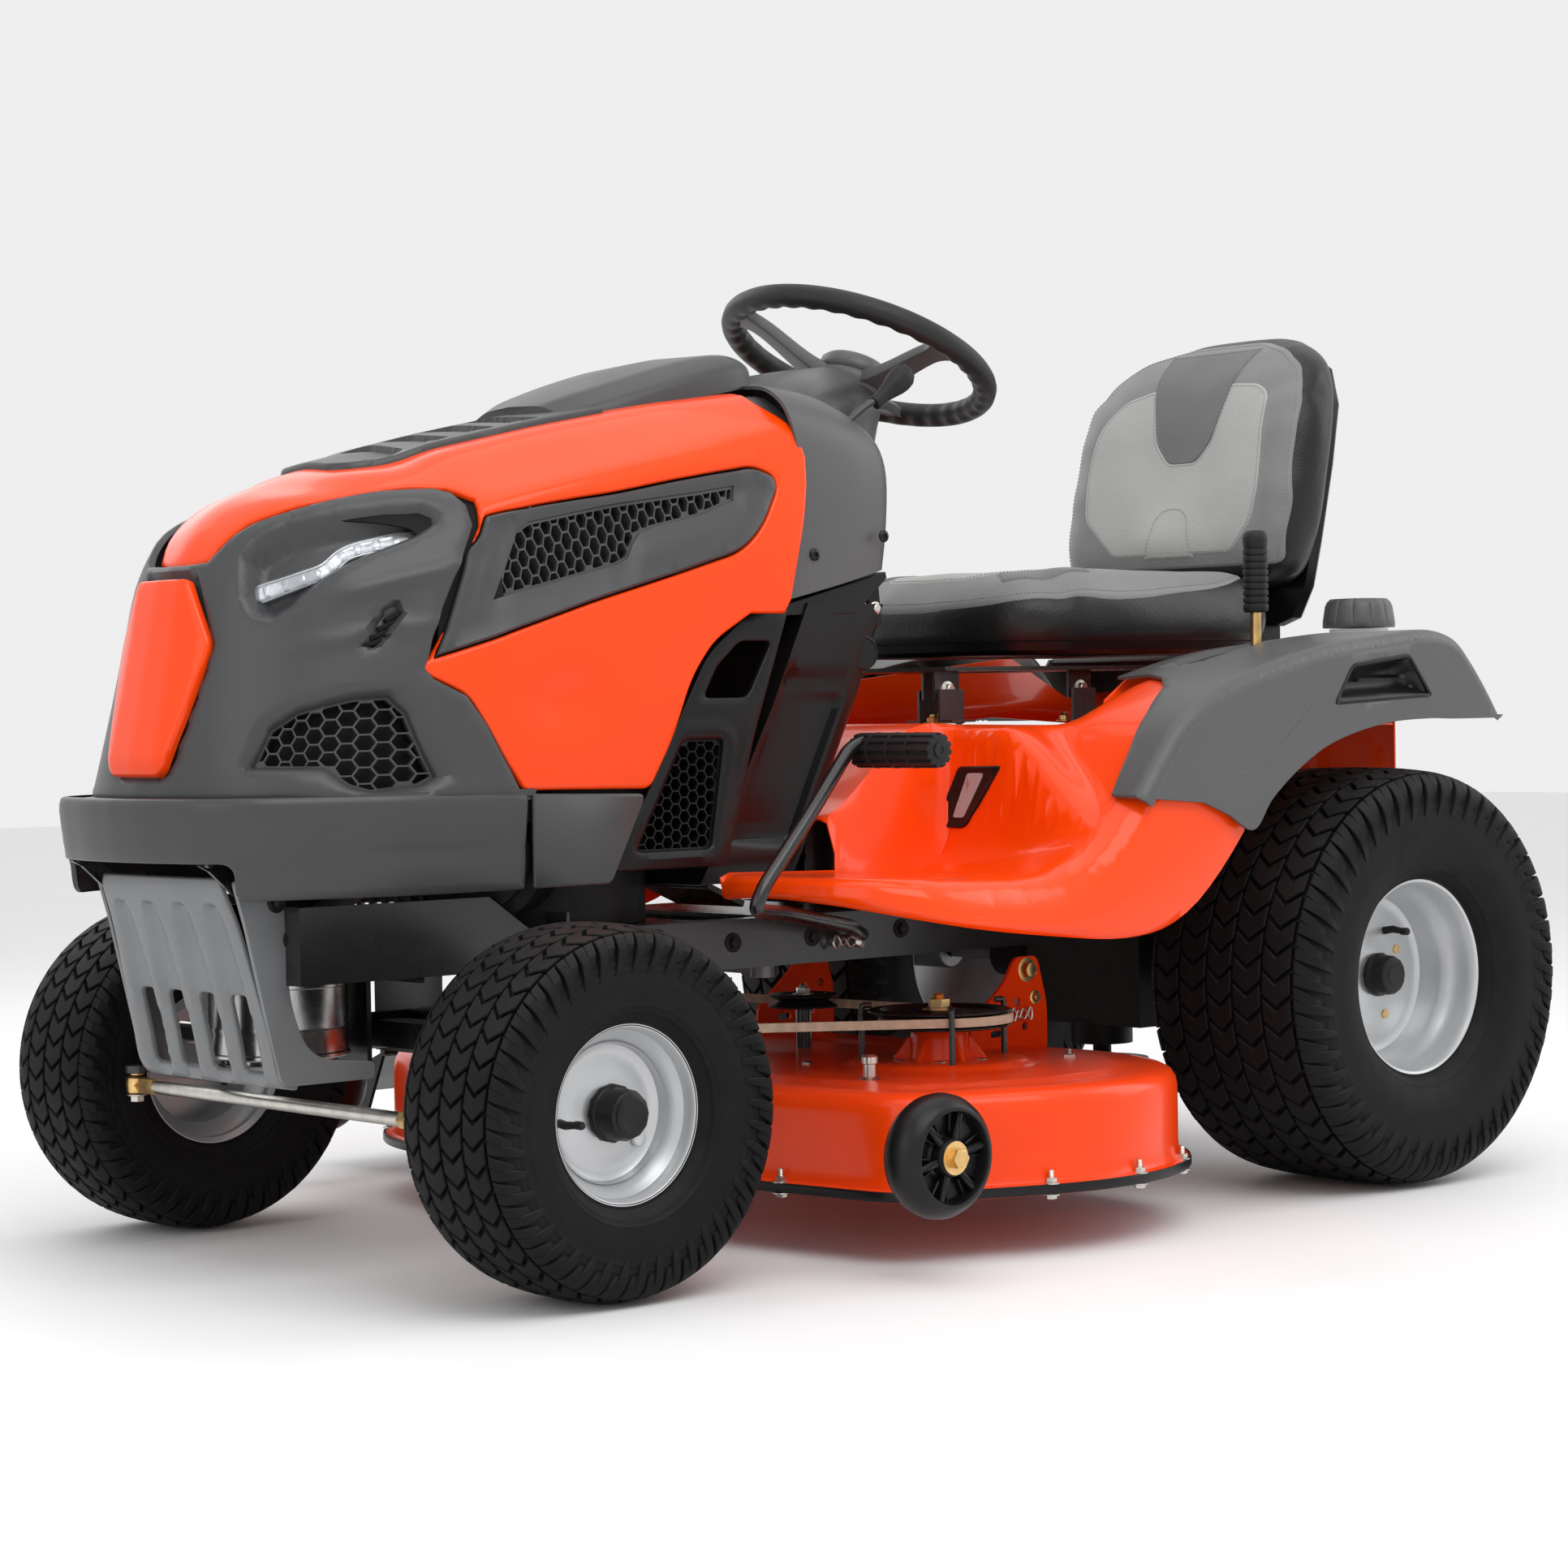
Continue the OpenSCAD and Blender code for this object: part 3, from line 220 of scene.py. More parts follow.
def solid(mb, name="tmp"):
    if isinstance(mb, tuple): q = MB(); q.add(*mb); mb = q
    v, f, mi = mb.data()
    me = bpy.data.meshes.new(name); me.from_pydata((v * MM).tolist(), [], f)
    bm = bmesh.new(); bm.from_mesh(me); bmesh.ops.recalc_face_normals(bm, faces=bm.faces); bm.to_mesh(me); bm.free()
    ob = bpy.data.objects.new(name, me); COL.objects.link(ob)
    return ob

def catmull(P, n):
    P = np.asarray(P, float)
    d = np.r_[0, np.cumsum(np.sqrt(np.maximum(np.linalg.norm(np.diff(P, axis=0), axis=1), 1e-9)))]
    ts = np.linspace(0, d[-1], n)
    ext = np.vstack([2 * P[0] - P[1], P, 2 * P[-1] - P[-2]]); de = np.r_[-(d[1] - d[0]), d, d[-1] + (d[-1] - d[-2])]
    i = np.clip(np.searchsorted(d, ts, side="right") - 1, 0, len(P) - 2)
    p0, p1, p2, p3 = ext[i], ext[i + 1], ext[i + 2], ext[i + 3]
    t0, t1, t2, t3 = (de[i + k][:, None] for k in range(4)); t = ts[:, None]
    A1 = (t1 - t) / (t1 - t0) * p0 + (t - t0) / (t1 - t0) * p1; A2 = (t2 - t) / (t2 - t1) * p1 + (t - t1) / (t2 - t1) * p2
    A3 = (t3 - t) / (t3 - t2) * p2 + (t - t2) / (t3 - t2) * p3
    B1 = (t2 - t) / (t2 - t0) * A1 + (t - t0) / (t2 - t0) * A2; B2 = (t3 - t) / (t3 - t1) * A2 + (t - t1) / (t3 - t1) * A3
    return (t2 - t) / (t2 - t1) * B1 + (t - t1) / (t2 - t1) * B2

def resample(L, step):
    out = []
    n = len(L)
    for i in range(n):
        p, q = L[i], L[(i + 1) % n]; k = max(1, int(math.ceil(np.linalg.norm(q - p) / step)))
        for j in range(k): out.append(p + (q - p) * j / k)
    return np.array(out)
def area(L): return 0.5 * np.sum(L[:, 0] * np.roll(L[:, 1], -1) - np.roll(L[:, 0], -1) * L[:, 1])
def ccw(L): return L if area(L) > 0 else L[::-1].copy()
def rnd(L, r, seg=5):
    """rounds the corners of a closed outline"""
    L = np.asarray(L, float); out = []; n = len(L)
    rr = r if hasattr(r, "__len__") else [r] * n
    for i in range(n):
        a, b, c = L[i - 1], L[i], L[(i + 1) % n]; e1 = a - b; e2 = c - b
        l1, l2 = np.linalg.norm(e1), np.linalg.norm(e2)
        q = min(rr[i], l1 * 0.49, l2 * 0.49)
        if q < 0.05: out.append(b); continue
        p0 = b + e1 / l1 * q; p2 = b + e2 / l2 * q
        for k in range(seg + 1):
            t = k / seg; out.append((1 - t) ** 2 * p0 + 2 * t * (1 - t) * b + t * t * p2)
    return np.array(out)
def inpoly(P, L):
    x, y = P[:, 0], P[:, 1]; c = np.zeros(len(P), bool)
    for (x0, y0), (x1, y1) in zip(L, np.roll(L, -1, 0)):
        if y0 != y1: c ^= ((y0 > y) != (y1 > y)) & (x < (x1 - x0) * (y - y0) / (y1 - y0) + x0)
    return c
def dist(P, loops):
    best = np.full(len(P), 1e9)
    for L in loops:
        for p, q in zip(L, np.roll(L, -1, 0)):
            d = q - p; l2 = d @ d
            if l2 < 1e-12: continue
            t = np.clip(((P - p) @ d) / l2, 0, 1)
            e = P - p - t[:, None] * d
            best = np.minimum(best, np.sqrt((e * e).sum(1)))
    return best
def offset(L, d):
    """moves a counter-clockwise outline inward"""
    a, c = np.roll(L, 1, 0), np.roll(L, -1, 0); e1, e2 = L - a, c - L
    n1 = np.c_[-e1[:, 1], e1[:, 0]]; n2 = np.c_[-e2[:, 1], e2[:, 0]]
    n1 /= np.linalg.norm(n1, axis=1)[:, None] + 1e-12; n2 /= np.linalg.norm(n2, axis=1)[:, None] + 1e-12
    m = n1 + n2; m /= np.linalg.norm(m, axis=1)[:, None] + 1e-12
    return L + m * (d / np.clip((m * n1).sum(1), 0.4, 1))[:, None]

def panel(outline, to3d, thick=3.0, holes=(), step=10.0, edge=((0, 1.6), (0.7, 0.5), (2.0, 0)), extra=(), hole_edge=True, back=True, rise=None):
    """a thin closed panel. to3d(P2, drop) gives points, drop measured into the panel.
    edge rolls the rim over; rise(P2) adds a relief (negative lifts)."""
    out = ccw(resample(np.asarray(outline, float), step))
    hl = [ccw(resample(np.asarray(h, float), step)) for h in holes]
    pts, edges = [], []
    def loop(L):
        o = len(pts); pts.extend(L.tolist()); edges.extend([(o + i, o + (i + 1) % len(L)) for i in range(len(L))])
    loop(out)
    for h in hl: loop(h)
    ins = [e[0] for e in edge if e[0] > 0]
    soft = []
    for d in ins:
        soft.append(offset(out, d))
        if hole_edge:
            for h in hl: soft.append(offset(h, -d))
    lo, hi = out.min(0), out.max(0)
    gx = np.arange(lo[0] + step * 0.31, hi[0], step); gy = np.arange(lo[1] + step * 0.29, hi[1], step * 0.866)
    A, B = np.meshgrid(gx, gy); A = A + ((np.arange(len(gy)) % 2) * 0.5 * step)[:, None]
    grid = np.c_[A.ravel(), B.ravel()]
    loops = [out] + hl
    far = (max(ins) if ins else 0) + 0.42 * step
    def keep(P, d):
        if len(P) == 0: return P
        k = inpoly(P, out)
        for h in hl: k &= ~inpoly(P, h)
        P = P[k]
        return P[dist(P, loops) > d] if len(P) else P
    grid = keep(grid, far)
    for d, S in [(d, s) for d, s in zip(np.repeat(ins, 1 + (len(hl) if hole_edge else 0)), soft)]:
        pts.extend(keep(S, d * 0.8).tolist())
    pts.extend(grid.tolist())
    for e in extra:
        e = np.asarray(e, float); e = keep(e, 0.3); pts.extend(e.tolist())
    r = delaunay_2d_cdt([Vector(p) for p in pts], edges, [], 0, 1e-5)
    P = np.array([(p.x, p.y) for p in r[0]]); T = np.array([t for t in r[2] if len(t) == 3])
    c = P[T].mean(1); k = inpoly(c, out)
    for h in hl: k &= ~inpoly(c, h)
    T = T[k]
    a2 = (P[T[:, 1], 0] - P[T[:, 0], 0]) * (P[T[:, 2], 1] - P[T[:, 0], 1]) - (P[T[:, 2], 0] - P[T[:, 0], 0]) * (P[T[:, 1], 1] - P[T[:, 0], 1])
    T = T[np.abs(a2) > 1e-7]
    used = np.unique(T); idx = -np.ones(len(P), int); idx[used] = np.arange(len(used)); P = P[used]; T = idx[T]
    D = dist(P, loops if hole_edge else [out])
    drop = np.interp(D, [e[0] for e in edge], [e[1] for e in edge]) if len(edge) else np.zeros(len(P))
    if rise is not None: drop = drop + rise(P)
    front = to3d(P, drop)
    n = len(P)
    cnt = {}
    for t in T:
        for i in range(3):
            e = (int(t[i]), int(t[(i + 1) % 3])); cnt[e] = cnt.get(e, 0) + 1
    rim = [e for e in cnt if (e[1], e[0]) not in cnt]
    dback = (np.maximum(drop, 0) if rise is None else drop) + thick
    v = np.vstack([front, to3d(P, dback)])
    f = [tuple(t) for t in T.tolist()] + [(t[2] + n, t[1] + n, t[0] + n) for t in T.tolist()]
    f += [(b, a, a + n, b + n) for a, b in rim]
    return v, f

def hexes(outline, r, wall, ox=0.0, oy=0.0, ratio=1.0):
    """hexagonal cells clipped to an outline; r is the cell's corner radius with its share of the wall"""
    out = ccw(np.asarray(outline, float)); lo, hi = out.min(0), out.max(0)
    dx, dy = r * 1.5, r * math.sqrt(3); cells = []
    A, B = out, np.roll(out, -1, 0); E = B - A; Ln = np.linalg.norm(E, axis=1); Nn = np.c_[-E[:, 1], E[:, 0]] / Ln[:, None]
    i = 0; x = lo[0] - r + ox
    while x < hi[0] + r:
        y = lo[1] - dy + oy + (dy / 2 if i % 2 else 0)
        while y < hi[1] + dy:
            c = np.array([x, y])
            a = np.arange(6) * math.pi / 3
            poly = [c + (r - wall / 1.732) * np.array([math.cos(t), math.sin(t)]) for t in a]
            if inpoly(c[None], out)[0] or dist(c[None], [out])[0] < r:
                for k in range(len(A)):
                    t = np.clip((c - A[k]) @ E[k] / Ln[k] ** 2, 0, 1); q = A[k] + t * E[k]
                    if np.linalg.norm(c - q) < r * 1.05:
                        res = []
                        for j in range(len(poly)):
                            p, s = poly[j], poly[(j + 1) % len(poly)]
                            dp = (p - A[k]) @ Nn[k] - wall; ds = (s - A[k]) @ Nn[k] - wall
                            if dp >= 0: res.append(p)
                            if dp * ds < 0: res.append(p + (s - p) * dp / (dp - ds))
                        poly = res
                        if len(poly) < 3: break
                if len(poly) >= 3:
                    pp = np.array(poly)
                    keepp = [0]
                    for j in range(1, len(pp)):
                        if np.linalg.norm(pp[j] - pp[keepp[-1]]) > 0.25: keepp.append(j)
                    pp = pp[keepp]
                    if len(pp) > 3 and np.linalg.norm(pp[0] - pp[-1]) < 0.25: pp = pp[:-1]
                    if len(pp) >= 3 and abs(area(pp)) > 0.12 * 2.6 * r * r and inpoly(pp.mean(0)[None], out)[0]:
                        cells.append(ccw(pp))
            y += dy
        x += dx; i += 1
    return cells

def lathe(prof, seg=64, a0=0.0, a1=2 * math.pi, axis="z", at=(0, 0, 0)):
    """closed profile (radius, height) turned round an axis; a profile that starts and ends at radius 0 is capped there"""
    prof = np.asarray(prof, float); n = len(prof); full = abs(a1 - a0 - 2 * math.pi) < 1e-6
    V = []; rings = []
    for i, (r, h) in enumerate(prof):
        if r < 1e-6: rings.append([len(V)]); V.append((0, 0, h))
        else:
            k = seg if full else seg + 1
            rings.append(list(range(len(V), len(V) + k)))
            for j in range(k):
                a = a0 + (a1 - a0) * j / seg; V.append((r * math.cos(a), r * math.sin(a), h))
    Fc = []
    closed = not (prof[0][0] < 1e-6 and prof[-1][0] < 1e-6)
    for i in range(n if closed else n - 1):
        A, B = rings[i], rings[(i + 1) % n]
        if len(A) == 1 and len(B) == 1: continue
        m = max(len(A), len(B)); rng = range(m) if full else range(m - 1)
        for j in rng:
            j2 = (j + 1) % m
            if len(A) == 1: Fc.append((A[0], B[j2], B[j]))
            elif len(B) == 1: Fc.append((A[j], A[j2], B[0]))
            else: Fc.append((A[j], A[j2], B[j2], B[j]))
    V = np.array(V, float)
    V = orient(V, axis) + np.array(at, float)
    return V, Fc
def orient(V, axis):
    """turns +Z to the named axis or a direction"""
    if isinstance(axis, str):
        if axis == "z": return V
        if axis == "y": return np.c_[V[:, 0], V[:, 2], -V[:, 1]]
        if axis == "-y": return np.c_[V[:, 0], -V[:, 2], V[:, 1]]
        if axis == "x": return np.c_[V[:, 2], V[:, 1], -V[:, 0]]
        if axis == "-x": return np.c_[-V[:, 2], V[:, 1], V[:, 0]]
        if axis == "-z": return np.c_[V[:, 0], -V[:, 1], -V[:, 2]]
    q = Vector((0, 0, 1)).rotation_difference(Vector(axis).normalized()).to_matrix()
    return V @ np.array(q).T

def tube(path, r, seg=16, n=None, closed=False, cap=True, squash=None):
    """a round bar along a smooth path; r may be a list along the path"""
    P = np.asarray(path, float)
    if n: P = catmull(P, n)
    m = len(P); T = np.gradient(P, axis=0)
    if closed: T = np.roll(P, -1, 0) - np.roll(P, 1, 0)
    T /= np.linalg.norm(T, axis=1)[:, None] + 1e-12
    R = np.interp(np.linspace(0, 1, m), np.linspace(0, 1, len(r)), r) if hasattr(r, "__len__") else np.full(m, r)
    u = np.cross(T[0], [0, 0, 1.0]);
    if np.linalg.norm(u) < 0.1: u = np.cross(T[0], [0, 1.0, 0])
    u /= np.linalg.norm(u); V = []
    for i in range(m):
        u = u - T[i] * (u @ T[i]); u /= np.linalg.norm(u); w = np.cross(T[i], u)
        for j in range(seg):
            a = 2 * math.pi * j / seg; V.append(P[i] + R[i] * (math.cos(a) * u + math.sin(a) * w))
    Fc = []
    for i in range(m if closed else m - 1):
        for j in range(seg):
            a, b = i * seg + j, i * seg + (j + 1) % seg; c, d = ((i + 1) % m) * seg + (j + 1) % seg, ((i + 1) % m) * seg + j
            Fc.append((a, b, c, d))
    if not closed:
        Fc.append(tuple(range(seg - 1, -1, -1))); Fc.append(tuple((m - 1) * seg + j for j in range(seg)))
    return np.array(V), Fc

def fillet(path, r, seg=6):
    """rounds the corners of an open path"""
    P = np.asarray(path, float); out = [P[0]]
    for i in range(1, len(P) - 1):
        a, b, c = P[i - 1], P[i], P[i + 1]; l1, l2 = np.linalg.norm(a - b), np.linalg.norm(c - b); q = min(r, l1 * 0.45, l2 * 0.45)
        p0, p2 = b + (a - b) / l1 * q, b + (c - b) / l2 * q
        for k in range(seg + 1):
            t = k / seg; out.append((1 - t) ** 2 * p0 + 2 * t * (1 - t) * b + t * t * p2)
    out.append(P[-1]); return np.array(out)

def prism(poly, h0, h1, c=0.8, axis="z", at=(0, 0, 0), holes=()):
    """an extruded outline with chamfered rims"""
    L = ccw(np.asarray(poly, float))
    if holes or c <= 0 or len(L) > 60:
        pass
    if holes:
        v, f = panel(L, lambda P, d: np.c_[P, h1 - d], thick=h1 - h0, holes=holes, step=1e6 if len(holes) else 1e6, edge=((0, c), (c, 0)) if c > 0 else ((0, 0), (1, 0)))
        return orient(v, axis) + np.array(at, float), f
    rings = []
    if c > 0: rings = [(offset(L, c), h0), (L, h0 + c), (L, h1 - c), (offset(L, c), h1)]
    else: rings = [(L, h0), (L, h1)]
    V = np.vstack([np.c_[r, np.full(len(r), h)] for r, h in rings]); n = len(L); Fc = []
    for i in range(len(rings) - 1):
        for j in range(n): Fc.append((i * n + j, i * n + (j + 1) % n, (i + 1) * n + (j + 1) % n, (i + 1) * n + j))
    Fc.append(tuple(range(n - 1, -1, -1))); Fc.append(tuple((len(rings) - 1) * n + j for j in range(n)))
    return orient(V, axis) + np.array(at, float), Fc
def side_prism(poly, y0, y1, c=0.8, holes=()):
    """an (x, z) outline extruded along y"""
    L = np.asarray(poly, float)
    v, f = prism(L, y0, y1, c, holes=holes)
    return np.c_[v[:, 0], v[:, 2], v[:, 1]], f
def rbox(a, b, c=1.0, r=0.0):
    a, b = np.array(a, float), np.array(b, float)
    L = np.array([(a[0], a[1]), (b[0], a[1]), (b[0], b[1]), (a[0], b[1])])
    if r > 0: L = rnd(L, r, 4)
    return prism(L, a[2], b[2], c)
def loft(rings, cap=True):
    R = [np.asarray(r, float) for r in rings]; n = len(R[0]); V = np.vstack(R); Fc = []
    for i in range(len(R) - 1):
        for j in range(n): Fc.append((i * n + j, i * n + (j + 1) % n, (i + 1) * n + (j + 1) % n, (i + 1) * n + j))
    if cap: Fc.append(tuple(range(n - 1, -1, -1))); Fc.append(tuple((len(R) - 1) * n + j for j in range(n)))
    return V, Fc
def xf(vf, move=(0, 0, 0), rot=None, mirror=False):
    v, f = vf; v = np.array(v, float)
    if rot is not None: v = v @ np.array(rot).T
    v = v + np.array(move, float)
    if mirror: v = v * [1, -1, 1]; f = [tuple(reversed(q)) for q in f]
    return v, f
def rotm(axis, deg): return np.array(Matrix.Rotation(math.radians(deg), 3, axis))

HEX = [(math.cos(a), math.sin(a)) for a in np.arange(6) * math.pi / 3]
def bolt(mb, p, axis, s=13.0, h=7.0, m=0, washer=True, stub=0.0, tm=None, turn=0.0):
    """a hex head or nut: across-flats s, height h, on its flange, at p, along axis"""
    r = s / 1.732; ca, sa = math.cos(turn), math.sin(turn)
    hx = np.array([(x * ca - y * sa, x * sa + y * ca) for x, y in HEX]) * r
    if washer:
        mb.add(*(lambda q: (orient(q[0], axis) + np.array(p, float), q[1]))(lathe([(0, 0), (s * 0.86, 0), (s * 0.86, 1.2), (s * 0.72, 1.9), (0, 1.9)], 28)), m)
    v, f = prism(hx, 1.5 if washer else 0, h, 0.0)
    mb.add(orient(v, axis) + np.array(p, float), f, m)
    v, f = lathe([(0, h - 0.6), (r * 0.84, h - 0.6), (r * 0.84, h), (r * 0.66, h + 0.8), (0, h + 0.8)], 24)
    mb.add(orient(v, axis) + np.array(p, float), f, m)
    if stub:
        st = [(0, h)]
        k = int(stub / 1.2)
        for i in range(k): st += [(s * 0.30, h + i * 1.2), (s * 0.26, h + i * 1.2 + 0.6)]
        st += [(s * 0.24, h + stub), (0, h + stub)]
        v, f = lathe(st, 20); mb.add(orient(v, axis) + np.array(p, float), f, m if tm is None else tm)
def screw(mb, p, axis, r=6.0, m=0):
    """a pan-head screw with a star recess"""
    v, f = lathe([(0, -2), (r * 0.6, -2), (r, -0.5), (r, 1.2), (r * 0.8, 2.6), (r * 0.42, 3.1), (r * 0.36, 1.2), (0, 1.0)], 24)
    mb.add(orient(v, axis) + np.array(p, float), f, m)
    for k in range(3):
        a = k * math.pi / 3
        q = prism([(-r * 0.4, -r * 0.07), (r * 0.4, -r * 0.07), (r * 0.4, r * 0.07), (-r * 0.4, r * 0.07)], 0.9, 1.5, 0)
        mb.add(orient(q[0] @ rotm("Z", math.degrees(a)).T, axis) + np.array(p, float), q[1], m)
def recoat(node, m, smooth=30):
    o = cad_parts[node]; o.data.materials.clear(); o.data.materials.append(M[m])
# ------------------------------------------------------------------ hood surfaces
HOOD = [[772, 958, 150, 952, 216, 905, 236, 800, 238, 600], [900, 940, 146, 934, 216, 878, 238, 780, 240, 600],
        [1050, 912, 138, 904, 212, 842, 236, 745, 240, 590], [1200, 878, 126, 868, 204, 806, 230, 705, 237, 570]]
LEV = {513: [(1494, 0), (1489, 60), (1474, 112), (1446, 160), (1402, 198), (1310, 228), (1160, 238)],
       560: [(1483, 0), (1478, 60), (1463, 110), (1436, 154), (1396, 190), (1310, 222), (1160, 237)],
       620: [(1470, 0), (1465, 58), (1451, 104), (1424, 146), (1385, 181), (1305, 216), (1160, 236)],
       680: [(1458, 0), (1453, 56), (1440, 98), (1414, 138), (1375, 172), (1298, 209), (1160, 232)],
       740: [(1446, 0), (1441, 52), (1429, 88), (1404, 128), (1366, 162), (1290, 200), (1160, 226)],
       780: [(1430, 0), (1424, 46), (1410, 80), (1384, 114), (1348, 148), (1276, 186), (1160, 216)],
       820: [(1386, 0), (1380, 40), (1365, 72), (1340, 100), (1308, 128), (1250, 162), (1160, 200)],
       850: [(1308, 0), (1304, 34), (1292, 64), (1270, 92), (1242, 118), (1206, 140), (1160, 160)]}
ZL = sorted(LEV)
CUR = {z: catmull(LEV[z], 61) for z in ZL}
def ring_raw(x):
    if x <= 1200:
        R = np.array(HOOD, float); v = [np.interp(x, R[:, 0], R[:, k]) for k in range(1, 10)]
        if x < 772: v = list(R[0, 1:] + (R[1, 1:] - R[0, 1:]) * (x - 772) / 128)
        return np.array([(0, v[0]), (v[1], v[2]), (v[3], v[4]), (v[5], v[6]), (v[7], v[8]), (v[7], 430)])
    zc = np.interp(x, [1200, 1308, 1386, 1430, 1446, 1458, 1470, 1483, 1494], [878, 850, 820, 780, 740, 680, 620, 560, 513])
    pts = [(0, zc)]
    for z in ZL[::-1]:
        c = CUR[z]
        if c[0, 0] > x + 4 and z < zc - 1: pts.append((np.interp(-x, -c[:, 0], c[:, 1]), z))
    pts.append((pts[-1][0] + 1, 430))
    return np.array(pts)
NS = 81
def ring(x, soft=9.0):
    P = ring_raw(x); L = np.r_[0, np.cumsum(np.linalg.norm(np.diff(P, axis=0), axis=1))]
    m = int(L[-1] / 3) + 2; t = np.linspace(0, L[-1], m)
    Q = np.c_[np.interp(t, L, P[:, 0]), np.interp(t, L, P[:, 1])]; k = max(1, int(soft / (L[-1] / m)))
    full = np.vstack([Q[:0:-1] * [-1, 1], Q])
    for _ in range(3):
        pad = np.vstack([np.repeat(full[:1], k, 0), full, np.repeat(full[-1:], k, 0)]); ker = np.ones(2 * k + 1) / (2 * k + 1)
        full = np.c_[np.convolve(pad[:, 0], ker, "valid"), np.convolve(pad[:, 1], ker, "valid")]
    h = full[len(Q) - 1:]; L = np.r_[0, np.cumsum(np.linalg.norm(np.diff(h, axis=0), axis=1))]; t = np.linspace(0, L[-1], NS)
    return np.c_[np.interp(t, L, h[:, 0]), np.interp(t, L, h[:, 1])]
XG = np.arange(740, 1461, 10.0)
G = np.array([ring(x) for x in XG])
for _ in range(6): G[1:-1] = (G[:-2] + 2 * G[1:-1] + G[2:]) / 4
def Hs(x, s):
    a = np.abs(s); i = np.clip(((x - XG[0]) / 10).astype(int), 0, len(XG) - 2); fx = (x - XG[i]) / 10
    j = np.clip((a * (NS - 1)).astype(int), 0, NS - 2); fs = a * (NS - 1) - j
    p = (G[i, j] * ((1 - fx) * (1 - fs))[..., None] + G[i + 1, j] * (fx * (1 - fs))[..., None]
         + G[i, j + 1] * ((1 - fx) * fs)[..., None] + G[i + 1, j + 1] * (fx * fs)[..., None])
    return np.stack([x, np.sign(s) * p[..., 0], p[..., 1]], -1)
def normal(fn, P, e0, e1):
    a = fn(P[:, 0] + e0, P[:, 1]) - fn(P[:, 0] - e0, P[:, 1]); b = fn(P[:, 0], P[:, 1] + e1) - fn(P[:, 0], P[:, 1] - e1)
    n = np.cross(a, b); return n / (np.linalg.norm(n, axis=1)[:, None] + 1e-12)
def s_of(x, z):
    i = min(max(int((x - XG[0]) / 10), 0), len(XG) - 2); f = (x - XG[i]) / 10; r = G[i] * (1 - f) + G[i + 1] * f
    return float(np.interp(-z, -r[:, 1], np.linspace(0, 1, NS)))
UN = 61; ZF = np.arange(500, 856, 5.0)
FG = np.zeros((len(ZF), UN, 2))
for _k in range(UN):
    for _c in range(2):
        _p = catmull(np.c_[np.array(ZL, float), [CUR[z][_k, _c] for z in ZL]], 200)
        FG[:, _k, _c] = np.interp(ZF, _p[:, 0], _p[:, 1])
def Fs(u, z):
    a = np.abs(u); i = np.clip(((z - ZF[0]) / 5).astype(int), 0, len(ZF) - 2); fz = (z - ZF[i]) / 5
    j = np.clip((a * (UN - 1)).astype(int), 0, UN - 2); fu = a * (UN - 1) - j
    p = (FG[i, j] * ((1 - fz) * (1 - fu))[..., None] + FG[i + 1, j] * (fz * (1 - fu))[..., None]
         + FG[i, j + 1] * ((1 - fz) * fu)[..., None] + FG[i + 1, j + 1] * (fz * fu)[..., None])
    return np.stack([p[..., 0], np.sign(u) * p[..., 1], z], -1)
# the hood's surface is handled in (x, 400 s); the face in (360 u, z)
KS, KU = 400.0, 360.0
def hood3(P, d):
    f = lambda a, b: Hs(a, np.clip(b / KS, -0.999, 0.999))
    Q = f(P[:, 0], P[:, 1]); n = normal(f, P, 4.0, 4.0)
    return Q - n * d[:, None] * np.where((n[:, 2] > 0) | (n[:, 1] * P[:, 1] > 0), 1, -1)[:, None]
def face3(P, d):
    f = lambda a, b: Fs(np.clip(a / KU, -1, 1), b)
    Q = f(P[:, 0], P[:, 1]); n = normal(f, P, 5.0, 5.0)
    return Q - n * d[:, None] * np.where(n[:, 0] + n[:, 1] * np.sign(P[:, 0]) > 0, 1, -1)[:, None]
def xs(L): return np.array([(x, KS * s_of(x, z)) for x, z in L])
def blur(d, a, b):  # smooth step
    t = np.clip((d - a) / (b - a), 0, 1); return t * t * (3 - 2 * t)

# ------------------------------------------------------------------ hood
# side outline of the upper hood from the rear top edge, round the vent, to the nose
VENT = rnd([(1188, 801), (1120, 815), (1014, 831), (943, 845), (830, 863), (802, 853), (801, 836), (830, 792), (862, 765),
        (959, 738), (1069, 709), (1206, 667), (1268, 650), (1251, 682), (1216, 764), (1200, 778)], [4, 30, 30, 30, 24, 14, 14, 24, 24, 30, 30, 20, 3, 10, 8, 6])
rear = [(786, 0.0), (786, 0.12), (780, 0.24), (767, 0.29), (757, 0.344), (752, 0.375), (756, 0.42), (776, 0.526), (790, 0.602), (800, 0.622)]
low = [(850, 698), (905, 668), (938, 628), (968, 560), (1000, 509), (1167, 512), (1190, 545), (1210, 580), (1231, 613), (1276, 634), (1281, 640), (1276, 649)]
front = [(1212, 0.437), (1196, 0.40), (1190, 0.344), (1210, 0.300), (1245, 0.264), (1299, 0.231), (1340, 0.205), (1370, 0.181), (1392, 0.150), (1411, 0.137), (1428, 0.120), (1434, 0.060), (1436, 0.0)]
def vxs(g=0.0):
    L = xs(VENT); return offset(ccw(L), g) if g else ccw(L)
half = [(x, s * KS) for x, s in rear] + xs(rnd(low, [0, 20, 22, 22, 10, 5, 12, 14, 12, 8, 4, 3])).tolist()
vent_front = xs([(1249, 684), (1214, 764)])
half = np.array(half + vent_front.tolist() + [(x, s * KS) for x, s in front])
